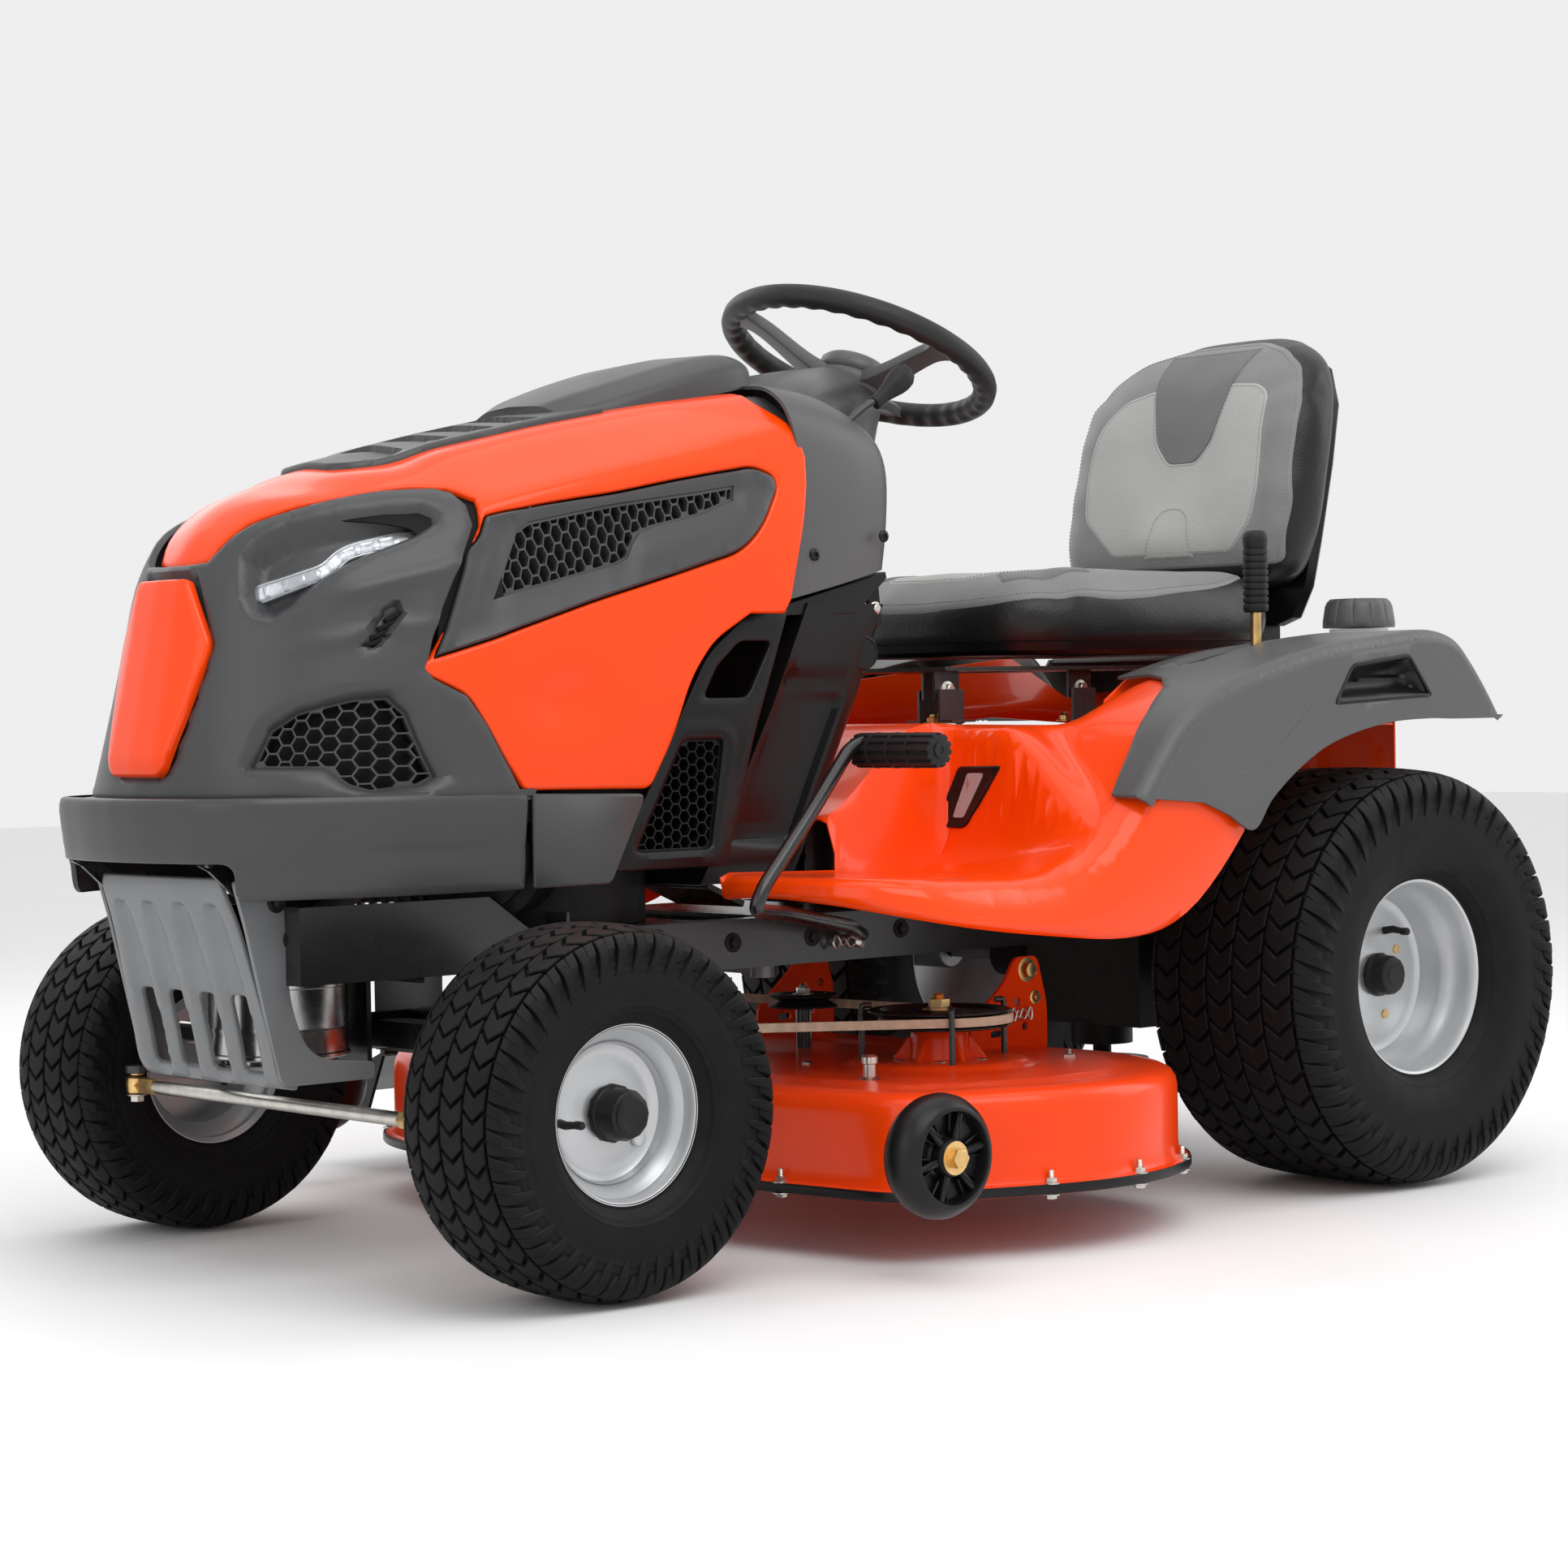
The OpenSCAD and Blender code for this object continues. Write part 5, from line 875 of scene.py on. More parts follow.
# ------------------------------------------------------------------ wheels: built with the axle along +Z, then turned to face +Y
def profile_arc(P, n):
    q = catmull(P, n); L = np.r_[0, np.cumsum(np.linalg.norm(np.diff(q, axis=0), axis=1))]
    return q, L
def tyre_mesh(R, W, rr, rows, cols, cw, depth, shoulder):
    """R outside radius, W width, rr bead radius; returns a mesh with the tyre's axis along +Z"""
    h = W / 2; c = R - depth
    half = np.array([(c, 0), (c - 0.3, h * 0.30), (c - 2.2, h * 0.62), (c - 7, h * 0.84), (c - W * 0.075, h * 0.945), (c - W * 0.15, h * 0.985), (rr + (R - rr) * 0.55, h * 0.992),
                     (rr + (R - rr) * 0.36, h * 0.985), (rr + (R - rr) * 0.2, h * 0.93), (rr + 12, h * 0.84), (rr + 6.5, h * 0.775)])
    q, L = profile_arc(half, 60)
    # faint ribs on the side wall
    o = q.copy(); nrm = np.gradient(q, axis=0); nrm /= np.linalg.norm(nrm, axis=1)[:, None]; nr = np.c_[nrm[:, 1], -nrm[:, 0]] * 1.0
    for rad, a, s in ((rr + 17, 1.3, 1.6), (rr + 22.5, 1.0, 1.3), (rr + (R - rr) * 0.58, 0.9, 1.4), (rr + (R - rr) * 0.66, 0.7, 1.4), (rr + (R - rr) * 0.46, 0.6, 1.2)):
        o += nr * (a * np.exp(-((q[:, 0] - rad) / s) ** 2) * (q[:, 1] > h * 0.6))[:, None]
    o = o
    inner = np.array([(rr + 1.5, h * 0.70), (rr + 8, h * 0.66), (rr + (R - rr) * 0.5, h * 0.84), (c - W * 0.14, h * 0.76), (c - 9, h * 0.2)])
    prof = np.vstack([o, inner, inner[::-1] * [1, -1], o[::-1][:-1] * [1, -1]])
    prof = np.vstack([o, [[rr + 1.5, h * 0.765], [rr + 0.6, h * 0.75]], inner, inner[::-1] * [1, -1], [[rr + 0.6, -h * 0.75], [rr + 1.5, -h * 0.765]], o[::-1][:-1] * [1, -1]])
    mb = MB(); v, f = lathe(prof, 144); mb.add(v, f, 0)
    # tread blocks laid on the carcass: s along the turn, t across
    full_t = np.r_[-L[::-1][:-1], L]; full_q = np.vstack([q[::-1][:-1] * [1, -1], q])
    def on(a, t, hgt):
        r = np.interp(t, full_t, full_q[:, 0]); y = np.interp(t, full_t, full_q[:, 1])
        r1 = np.interp(t + 1, full_t, full_q[:, 0]); y1 = np.interp(t + 1, full_t, full_q[:, 1])
        r0 = np.interp(t - 1, full_t, full_q[:, 0]); y0 = np.interp(t - 1, full_t, full_q[:, 1])
        tx, ty = r1 - r0, y1 - y0; l = np.sqrt(tx * tx + ty * ty) + 1e-9
        nx, ny = ty / l, -tx / l
        r = r + nx * hgt; y = y + ny * hgt
        return np.stack([r * np.cos(a), r * np.sin(a), y], -1)
    pitch = 2 * math.pi / rows
    def block(tt, chev, w0, w1, h0, off, top_in=1.0, base=-2.5):
        """tt lateral stations, chev offset per station, half lengths w0 (w1 is not used), heights"""
        n = len(tt); V = []; F = []
        rings = [(base, 0.6), (h0 - 1.0, 0.0), (h0, -top_in)]
        hh = np.broadcast_to(h0, (n,))
        ti = np.array(tt, float)
        for k, (dh, g) in enumerate([(None, 0.9), (1.0, 0.0), (0.0, -top_in)]):
            hgt = np.full(n, base) if dh is None else hh - dh * np.minimum(1, hh / 4)
            e = np.zeros(n); e[0] = -1; e[-1] = 1
            t2 = ti + e * g
            for sgn in (1, -1):
                s = chev + sgn * (np.broadcast_to(w0, (n,)) + g)
                a = s / R + off
                P = on(a, t2, hgt)
                V.append(P)
        # ring order: front row then back row reversed
        V2 = [np.vstack([V[2 * k], V[2 * k + 1][::-1]]) for k in range(3)]; m = 2 * n
        for k in range(2):
            for j in range(m): F.append((k * m + j, k * m + (j + 1) % m, (k + 1) * m + (j + 1) % m, (k + 1) * m + j))
        o = 2 * m
        for j in range(n - 1): F.append((o + j, o + j + 1, o + m - 2 - j, o + m - 1 - j)); F.append((j + 1, j, m - 1 - j, m - 2 - j))
        return np.vstack(V2), F
    arc = pitch * R
    for r in range(rows):
        for ci, (t0, t1, st) in enumerate(cols):
            tt = np.linspace(t0, t1, 7); u = np.linspace(-1, 1, 7)
            ch = cw * (0.5 - np.abs(u)) * 1.0
            # each block keeps a flat-topped chevron
            v, f = block(tt, ch, arc * 0.5 - arc * 0.105, None, depth, (r + st) * pitch)
            mb.add(v, f, 0)
        for sg in (1, -1):
            for lug in (0, 1):
                t0, t1 = shoulder[0], shoulder[1 + lug]
                tt = np.linspace(t0, t1, 7); hh = np.interp(np.linspace(0, 1, 7), [0, 0.45, 1], [depth, depth * 0.95, 0.8 if lug else 1.6])
                half_w = np.interp(np.linspace(0, 1, 7), [0, 0.5, 1], [arc * 0.235, arc * 0.22, arc * (0.15 if lug else 0.20)])
                slope = np.linspace(-cw * 0.35, cw * 0.9, 7)
                v, f = block(tt * sg if sg > 0 else -tt, slope, half_w, None, hh, (r + 0.25 + 0.5 * lug) * pitch)
                mb.add(v, f, 0)
    return mb.data()[:2]

def rim_mesh(rr, W, dish, hub_r, hub1, rear):
    """axle along +Z, the dish faces +Z; W is the tyre's width"""
    mb = MB(); h = W / 2
    lip = h * 0.77
    pr = [(rr + 4.4, lip - 2.2), (rr + 4.2, lip - 0.4), (rr + 2.6, lip), (rr + 0.2, lip - 1.4), (rr - 2.2, lip - 6), (rr - 3.4, lip - 15), (rr - 4.2, h * 0.56), (rr - 8, h * 0.50), (rr - 13, h * 0.43), (rr - 15.5, h * 0.36),
          (rr - 16.5, dish + 12), (rr - 19, dish + 4), (rr - 24, dish + 0.8), (rr - 30, dish), (rr - 36, dish + 1.5), (hub_r + 19, dish + 4.0), (hub_r + 12, dish + 5.2), (hub_r + 4, dish + 8), (hub_r - 1, dish + 9), (hub_r - 1.2, dish + 1), (hub_r - 1.2, dish - 3),
          (rr - 34, dish - 4), (rr - 19, dish - 3), (rr - 19.5, -h * 0.36), (rr - 14, -h * 0.44), (rr - 8, -h * 0.56), (rr - 5, -h * 0.6), (rr - 4, -lip + 6), (rr + 1, -lip + 0.2), (rr + 4.2, -lip + 0.6), (rr + 4.4, -lip + 3),
          (rr + 1.2, -h * 0.72), (rr - 1.0, -h * 0.58), (rr - 10, -h * 0.42), (rr - 12, h * 0.3), (rr - 10, h * 0.42), (rr - 1.0, h * 0.58), (rr + 1.2, h * 0.72)]
    mb.add(*lathe(pr, 128), 0)
    mb.add(*lathe([(9.8, -52), (hub_r - 3, -52), (hub_r - 1, -48), (hub_r - 1, hub1 - 4), (hub_r - 4, hub1), (9.8, hub1)], 48), 1)
    return mb
def wheel(node, at, R, W, rr, rows, cols, cw, depth, shoulder, rim, side, body, cache={}):
    key = (R, W)
    if key not in cache: cache[key] = tyre_mesh(R, W, rr, rows, cols, cw, depth, shoulder)
    v, f = cache[key]
    def place(v, f):
        q = np.c_[v[:, 0], v[:, 2], -v[:, 1]]
        if side < 0: q = q * [1, -1, 1]; f = [tuple(reversed(t)) for t in f]
        return q + np.array(at, float), f
    mb = MB(); mb.add(*place(v, f))
    make(node + "_tyre_skin", body, mb, "rubber", smooth=28, repl=[node + "_tyre"])
    mb = MB()
    for v, f, m in rim: mb.add(*place(v, f), m)
    make(node + "_rim_skin", body, mb, ["silver", "castiron", "black", "grip", "brass"], smooth=32, repl=[node + "_rim"])
# front wheel rim parts
def front_rim():
    q = rim_mesh(88, 152, 18, 20, 26, False); out = [(q.v[0], q.f[:len(q.f) // 1], 0)]
    L = []
    off = 0; parts = []
    return q
def parts_of(mb):
    out = []; o = 0; k = 0
    for V in mb.v:
        n = len(V); F = []; mi = 0
        while k < len(mb.f) and max(mb.f[k]) < o + n: F.append(tuple(i - o for i in mb.f[k])); mi = mb.m[k]; k += 1
        out.append((V, F, mi)); o += n
    return out
fr = rim_mesh(88, 152, 18, 20, 30, False)
# grease cap: black, faceted skirt and a dished face
fr.add(*lathe([(10.6, 30), (27, 30), (30, 31), (30, 36), (29, 38), (27.5, 39), (26.5, 56), (24, 62), (19, 65), (10.6, 65)], 12), 2)
fr.add(*lathe([(0, 55), (10.2, 55), (19, 64.4), (20, 66), (17, 67.2), (13, 66.0), (6, 65.2), (0, 65)], 40), 2)
fr.add(*tube([(58, 6, 22), (60, 7, 34), (56, 6, 48)], [4.6, 4.4, 3.4], 14), 3)
fr.add(*lathe([(0, 0), (4.4, 0), (4.4, 9), (3.6, 10.5), (0, 10.5)], 12, at=(56, 6, 46)), 2)
fr.add(*lathe([(0, 22.5), (9, 22.5), (8, 25.5), (5, 27), (0, 27)], 24, at=(-42, 30, 0)), 0)
rr_ = rim_mesh(115, 254, 20, 26, 34, True)
rr_.add(*lathe([(0, 33), (24.5, 33), (27, 34), (27, 40), (25.5, 42), (24.5, 44), (24.2, 56), (22, 60), (17.5, 61.8), (6, 61.4), (0, 60.6)], 14), 2)
rr_.add(*lathe([(0, 60), (13, 60), (12, 62.4), (0, 62.8)], 24), 2)
rr_.add(*tube([(-28, -52, 24), (-30, -54, 36), (-29, -52, 52)], [4.8, 4.6, 3.6], 14), 3)
rr_.add(*lathe([(0, 0), (4.6, 0), (4.6, 9), (3.6, 10.5), (0, 10.5)], 12, at=(-29, -52, 50)), 2)
for k in range(4):
    a = k * math.pi / 2 + 0.5; rr_.add(*lathe([(0, 21), (6.5, 21), (6, 25), (0, 25.5)], 6, at=(58 * math.cos(a), 58 * math.sin(a), 0)), 4)
FCOL = [(-61, -32, 0.0), (-29, 0, 0.5), (3, 32, 0.0), (35, 61, 0.5)]
FCOL = [(-62, -37, 0.5), (-33.5, -2, 0.0), (2, 33.5, 0.5), (37, 62, 0.0)]
RCOL = [(-103, -66, 0.0), (-62, -22, 0.5), (-18, 18, 0.0), (22, 62, 0.5), (66, 103, 0.0)]
for node, body, at, sd in (("front_left", "wheel_fl", (1200, 380.5, 190.5), 1), ("front_right", "wheel_fr", (1200, -380.5, 190.5), -1)):
    wheel(node, at, 190.5, 152, 88, 44, FCOL, 12, 6.5, (65.0, 88, 104), parts_of(fr), sd, body)
for node, body, at, sd in (("rear_left", "wheel_rl", (0, 382.4, 254), 1), ("rear_right", "wheel_rr", (0, -382.4, 254), -1)):
    wheel(node, at, 254, 254, 115, 50, RCOL, 15, 7.5, (106.5, 138, 158), parts_of(rr_), sd, body)
v, f = lathe([(0, -270), (9.5, -270), (9.5, -58), (0, -58)], 24)
for nm, sd, body in (("left", 1, "wheel_rl"), ("right", -1, "wheel_rr")):
    q = np.c_[v[:, 0], v[:, 2] * 1.0, -v[:, 1]]; q[:, 1] = (382.4 + q[:, 1]) * sd; q[:, 2] += 254
    make("rear_shaft_" + nm, body, (q, f), "castiron")
# front wheel's stub is the spindle itself, carried over
# ------------------------------------------------------------------ steering wheel
TL = 23.5; CT, ST = math.cos(math.radians(TL)), math.sin(math.radians(TL))
def ringframe(v):
    """local (x forward, y left, z up the shaft) to the frame"""
    v = np.asarray(v, float)
    return np.c_[463.5 + v[:, 0] * CT - v[:, 2] * ST, v[:, 1], 1020 + v[:, 0] * ST + v[:, 2] * CT]
mb = MB(); n, m = 240, 20; V = []
for i in range(n):
    a = 2 * math.pi * i / n
    # finger scallops on the inner, lower side
    sc = 0.5 + 0.5 * math.cos(a * 36)
    for j in range(m):
        b = 2 * math.pi * j / m
        r = 14.6
        w = max(0, -math.cos(b) * 0.8 - math.sin(b) * 0.45)
        r -= 2.6 * w * sc
        # a parting seam round the outside
        r -= 0.5 * math.exp(-((((b + math.pi) % (2 * math.pi)) - math.pi) / 0.12) ** 2)
        V.append(((160 + r * math.cos(b)) * math.cos(a), (160 + r * math.cos(b)) * math.sin(a), r * math.sin(b)))
F = [(i * m + j, ((i + 1) % n) * m + j, ((i + 1) % n) * m + (j + 1) % m, i * m + (j + 1) % m) for i in range(n) for j in range(m)]
mb.add(ringframe(V), F, 0)
def spoke(ang, w0, w1, recess):
    c, s = math.cos(math.radians(ang)), math.sin(math.radians(ang)); R = []
    for t in np.linspace(0, 1, 24):
        r = 26 + t * 126; w = w0 + (w1 - w0) * t + 7 * (1 - t) ** 3 + 9 * max(0, t - 0.8) / 0.2 * (t - 0.8) * 5
        zc = -34 + 34 * (t * t * (3 - 2 * t)) - 2; th = 7.5 + 3 * (1 - t)
        sec = rnd([(-w, -th), (w, -th), (w, th * 0.55), (w * 0.62, th), (w * 0.30, th - (recess * 4 if 0.16 < t < 0.86 else 0)), (-w * 0.30, th - (recess * 4 if 0.16 < t < 0.86 else 0)), (-w * 0.62, th), (-w, th * 0.55)], 1.6, 3)
        R.append(np.array([(r * c - y * s, r * s + y * c, zc + z) for y, z in sec]))
    return loft([ringframe(q) for q in R])
for a, w0, w1, rec in ((90, 15, 13, 0.6), (210, 15, 13, 0.6), (330, 15, 13, 0.6)):
    v, f = spoke(a, w0, w1, rec); mb.add(v, f, 1)
v, f = lathe([(0, -52), (38, -52), (43, -49), (44.5, -42), (44, -34), (42, -30), (44, -28), (44.5, -24), (43, -14), (38, -9), (30, -6.5), (12, -5.2), (0, -5)], 64)
mb.add(ringframe(v), f, 1)
v, f = lathe([(27, -6.9), (29, -5.6), (31.5, -7.2)], 64); mb.add(ringframe(v), f, 1)
make("steering_wheel_skin", "steering", mb, ["wheelgrip", "cover"], smooth=42, repl=["steering_wheel"])

# throttle: teardrop knob on its bar
mb = MB()
mb.add(*tube(fillet([(668, 172, 880), (664, 174, 906), (628, 186, 938), (600, 190, 954)], 14), 4.2, 12), 1)
kn = []
d = np.array([-0.79, 0.05, 0.60]); d /= np.linalg.norm(d); base = np.array([612, 188, 944])
prof = [(0, -2), (8, -2), (8.6, 0), (8.2, 5), (8.8, 14), (11.5, 26), (14.6, 38), (15.6, 47), (14.6, 56), (10.5, 62.5), (5, 65), (0, 65.6)]
v, f = lathe(prof, 40); v = v * [1, 0.82, 1]; mb.add(orient(v, tuple(d)) + base, f, 0)
make("throttle_knob", "throttle", mb, ["grip", "steel_black"], smooth=50, repl=["throttle_lever"])
# knob, key
mb = MB()
v, f = lathe([(0, 0), (18.5, 0), (19.5, 2), (19, 12), (17, 18), (13, 20.5), (0, 21)], 40); mb.add(v @ np.array([[0, 0, -1], [0, 1, 0], [1, 0, 0]]).T + [581, -110, 800], f, 0)
v, f = lathe([(0, -22), (6, -22), (6, 1), (0, 1)], 20); mb.add(v @ np.array([[0, 0, -1], [0, 1, 0], [1, 0, 0]]).T + [581, -110, 800], f, 1)
make("pto_knob_skin", "pto", mb, ["grip", "zinc"], repl=["pto_knob"])
mb = MB()
v, f = lathe([(0, 0), (12, 0), (12.5, 3), (11, 6), (5, 6.5), (0, 6.5)], 32); mb.add(v @ np.array([[0, 0, -1], [0, 1, 0], [1, 0, 0]]).T + [600, 110, 800], f, 1)
mb.add(*rbox((562, 108.6, 787), (594, 111.4, 813), 0.9), 0)
make("key_skin", "key", mb, ["black", "zinc"], repl=["ignition_key"])

# ------------------------------------------------------------------ brake pedal: bent bar and a ribbed pad
mb = MB()
mb.add(*tube(fillet([(640, 180, 330), (700, 228, 344), (890, 330, 372), (965, 366, 380), (952, 366, 404), (868, 350, 480), (790, 328, 548), (762, 326, 556), (752, 345, 552)], 16, 8), 8.0, 18), 0)
R = []
for k, y in enumerate(np.linspace(314, 440, 2)): pass
seg = 96; prof = []
def padsec(r0, y, ph=0.0):
    L = []
    for j in range(seg):
        a = 2 * math.pi * j / seg; rib = 1.3 if (j % 8) < 5 else -1.3
        L.append((762 + (r0 + rib) * math.cos(a + ph), y, 545 + (r0 + rib) * math.sin(a + ph)))
    return np.array(L)
rg = []
for y, r in ((313, 13), (314, 17.5), (316, 18), (437, 18), (440, 17.5), (441, 13)): rg.append(padsec(r, y))
v, f = loft(rg); mb.add(v, f, 1)
for y0 in (341, 372, 403): mb.add(*lathe([(17.4, 0), (19.8, 0.5), (19.8, 3.5), (17.4, 4)], 40, axis="y", at=(762, y0, 545)), 1)
mb.add(*lathe([(0, 0), (9, 0), (9, 2.2), (4, 2.4), (3.6, 1.4), (0, 1.4)], 24, axis="y", at=(762, 440.6, 545)), 1)
make("brake_pedal_skin", "brake", mb, ["steel_black", "grip"], smooth=35, repl=["brake_pedal"])

# drive pedals: two foot plates on the right
mb = MB()
for (x, y, z, rt, L_, Wd) in ((862, -285, 472, 35, 74, 42), (726, -330, 458, -20, 58, 38)):
    R_ = rotm("Y", -rt)
    v, f = prism(rnd([(-L_ / 2, -Wd), (L_ / 2, -Wd), (L_ / 2, Wd), (-L_ / 2, Wd)], 11, 5), -6, 6, 2.0); mb.add(v @ R_.T + [x, y, z], f, 1)
    for k in range(-3, 4):
        v, f = rbox((k * L_ / 8 - 1.8, -Wd + 7, 5.5), (k * L_ / 8 + 1.8, Wd - 7, 8.4), 0.8); mb.add(v @ R_.T + [x, y, z], f, 1)
make("drive_pedal_pads", "drive", mb, ["steel_black", "grip"])
recoat("drive_pedals", "steel_black")

# ------------------------------------------------------------------ lift lever
mb = MB()
mb.add(*tube(fillet([(110, 200, 330), (107, 200, 505), (106, 214, 530), (104, 302, 540), (104, 318, 560), (104, 320, 706)], 14, 6), 6.6, 18), 0)
prof = [(0, 0), (12, 0), (14.6, 1.5), (15, 4)]
z = 4
for k in range(9): prof += [(15.2, z), (15.4, z + 1.2), (15.4, z + 5.2), (15.2, z + 6.2), (13.4, z + 6.9), (13.4, z + 7.9)]; z += 8.3
prof += [(14.4, z), (14.8, z + 3), (15.4, z + 7), (15.6, z + 12), (14.4, z + 17), (10, z + 20.5), (0, z + 21.5)]
v, f = lathe(prof, 40); mb.add(v * [1, 1, 101.0 / (z + 21.5)] + [104, 320, 700], f, 1)
make("lift_lever_skin", "lever", mb, ["brass", "grip"], smooth=38, repl=["lift_lever"])
# ------------------------------------------------------------------ fender and foot pans: one pressed skin
ZI = catmull([(-260, 560), (100, 563), (480, 567), (500, 564), (509, 548), (514, 500), (522, 450), (538, 418), (566, 403), (620, 402), (700, 405), (900, 411)], 400)
ZO = catmull([(-260, 560), (200, 628), (296, 619), (330, 608), (380, 586), (418, 558), (452, 518), (480, 484), (510, 452), (545, 425), (590, 408), (640, 403), (720, 405), (900, 411)], 500)
ZT = catmull([(-260, 560), (100, 563), (470, 570), (530, 571), (570, 558), (620, 516), (668, 478), (710, 460), (900, 455)], 400)
def fz(x, y):
    a = np.abs(y)
    zi, zo, zt = (np.interp(x, t[:, 0], t[:, 1]) for t in (ZI, ZO, ZT))
    tq = blur(x, 420, 500); lo_, hi_ = 258 + 12 * tq, 318 + 122 * tq; bt = np.clip((a - lo_) / (hi_ - lo_), 0, 1); b = bt * bt * (3 - 2 * bt); z = zi * (1 - b) + zo * b
    t = 1 - blur(a, 176, 206); z = z * (1 - t) + np.maximum(zt, z) * t
    # flutes pressed in the deck under the seat
    z = z - 5 * np.exp(-((a - 222) / 12) ** 2) * (x < 470) * (x > -230)
    return z
oc = [(296, 468), (500, 470), (700, 470), (768, 469), (806, 458), (838, 434), (862, 396), (876, 350), (884, 300), (882, 250), (872, 205)]
ocp = np.vstack([catmull(oc, 60)]); path2 = [np.vstack([ocp, ocp[::-1][1:-1]]), np.vstack([ocp, ocp[::-1][1:-1]]) * [1, -1]]
def frad(x): return np.interp(x, [296, 440, 560, 760, 850, 890], [30, 46, 44, 40, 16, 12])
def fdrop(P):
    D = dist(np.c_[P[:, 0], np.abs(P[:, 1])], [path2[0]]); R = frad(P[:, 0]); q = np.clip(R - D, 0, R)
    return R - np.sqrt(np.maximum(R * R - q * q, 0.0)) * 1.0
def fen(a, b): return np.stack([a, b, fz(a, b)], -1)
def fen3(P, d):
    Q = fen(P[:, 0], P[:, 1]); n = normal(fen, P, 1.5, 1.5); n *= np.sign(n[:, 2])[:, None]
    return Q - n * d[:, None]
fo = np.vstack([ocp, [(872, 202), (700, 202), (692, 194), (692, -194), (700, -202), (872, -202)], (ocp[::-1] * [1, -1]), [(296, -256), (280, -249), (-246, -249), (-249, -246), (-249, 246), (-246, 249), (280, 249), (296, 256)]])
def fen_final(P, d):
    dr = fdrop(P); Q = fen3(P, d * np.where(dr > 0, np.maximum(0.35, 1 - dr / 60), 1)); Q[:, 2] -= dr
    D = dist(np.c_[P[:, 0], np.abs(P[:, 1])], [path2[0]])
    return Q
exf = []
for k in (1.2, 3, 6, 10, 15, 21, 28, 36): exf += [offset(ccw(fo), k)[:62] if False else np.zeros((0, 2))]
tn = np.gradient(ocp, axis=0); tn /= np.linalg.norm(tn, axis=1)[:, None]; nrl = np.c_[tn[:, 1], -tn[:, 0]]
for k in (1.0, 2.5, 5, 9, 14, 20, 27, 35, 43):
    q = ocp + nrl * k * -1.0
    if not inpoly(q[20:21], fo)[0]: q = ocp + nrl * k
    q = q[2:-2]; exf += [q, q * [1, -1]]
for x in (498, 502, 506, 509, 511.5, 514, 518, 523, 529, 536, 545, 556): exf.append(np.c_[np.full(56, x), np.linspace(-455, 455, 56)])
wells = [np.array([(-240, 62), (-60, 62), (-60, 240), (-240, 240)], float), rnd([(768, -262), (834, -262), (834, -218), (768, -218)], 5)]
v, f = panel(fo, fen_final, 2.2, holes=wells, step=13, edge=((0, 0.5), (0.8, 0)), extra=[e for e in exf if len(e)], hole_edge=False)
mb = MB().add(v, f, 0)
# skirt below the rolled edge
ZL_ = [(296, 440), (330, 404), (380, 362), (430, 338), (500, 329), (620, 338), (760, 356), (840, 372), (900, 392)]
zl = catmull(ZL_, 120)
for sg in (1, -1):
    top_z = fz(ocp[:, 0], ocp[:, 1]) - frad(ocp[:, 0]) - 0.2; bot = np.minimum(np.interp(ocp[:, 0], zl[:, 0], zl[:, 1]), top_z - 3)
    inn = ocp - nrl * 3.0
    if not inpoly(inn[20:21], fo)[0]: inn = ocp + nrl * 3.0
    rings = []
    bul = (ocp - inn) / 3.0
    for i in range(len(ocp)):
        o_, n_ = ocp[i], inn[i]; zt_, zb_ = top_z[i] + 1.0, bot[i]; u_ = bul[i]
        rings.append(np.array([[*(o_ - u_ * 0.2), zt_], [*(o_ + u_ * 1.2), zt_ * 0.7 + zb_ * 0.3], [*(o_ + u_ * 0.8), zt_ * 0.4 + zb_ * 0.6], [*(o_ - u_ * 1.5), zt_ * 0.12 + zb_ * 0.88], [*(o_ - u_ * 4.5), zb_ + 1.0], [*(o_ - u_ * 6.5), zb_ - 0.4], [*(o_ - u_ * 7.5), zb_ + 1], [*(o_ - u_ * 4.5), zt_ * 0.12 + zb_ * 0.88 + 1], [*(n_), zt_ * 0.7 + zb_ * 0.3], [*n_, zt_]]))
    v, f = loft(rings); mb.add(v * [1, sg, 1], f, 0)
for sg in (1, -1):
    v, f = side_prism([(-250, 568), (-250, 610), (-150, 600), (-40, 656), (250, 628), (300, 596), (300, 470), (200, 560), (0, 575), (-150, 565)], 246.5, 250.5, 0.6); mb.add(v * [1, sg, 1], f, 0)
make("fender_skin", "chassis", mb, ["orange"], smooth=48, repl=["fender_body"])

# fuel level window on the riser
mb = MB()
def ris3(P, d):
    # (y, z) on the riser
    z = P[:, 1]; x = np.interp(-z, [-566, -548, -500, -450, -418], [500, 509, 514, 522, 538])
    return np.c_[x + 3.0 - d, P[:, 0], z]
bz = rnd([(214, 521), (284, 522), (233, 449), (181, 450)], [5, 5, 9, 6]); wn = rnd([(231, 512), (255, 512), (229, 463), (214, 463)], 3)
v, f = panel(bz, ris3, 4, holes=[ccw(wn)], step=7, edge=((0, 2.2), (0.8, 0.6), (2, 0)), rise=lambda P: np.where(inpoly(P, offset(ccw(bz), 5)), 1.6, 0)); mb.add(v, f, 0)
v, f = panel(offset(ccw(wn), -1.5), lambda P, d: ris3(P, d + 0.7), 1.0, step=8, edge=()); mb.add(v, f, 1)
v, f = panel(offset(ccw(wn), -1.5), lambda P, d: ris3(P, d + 1.9), 1.0, step=8, edge=()); mb.add(v, f, 2)
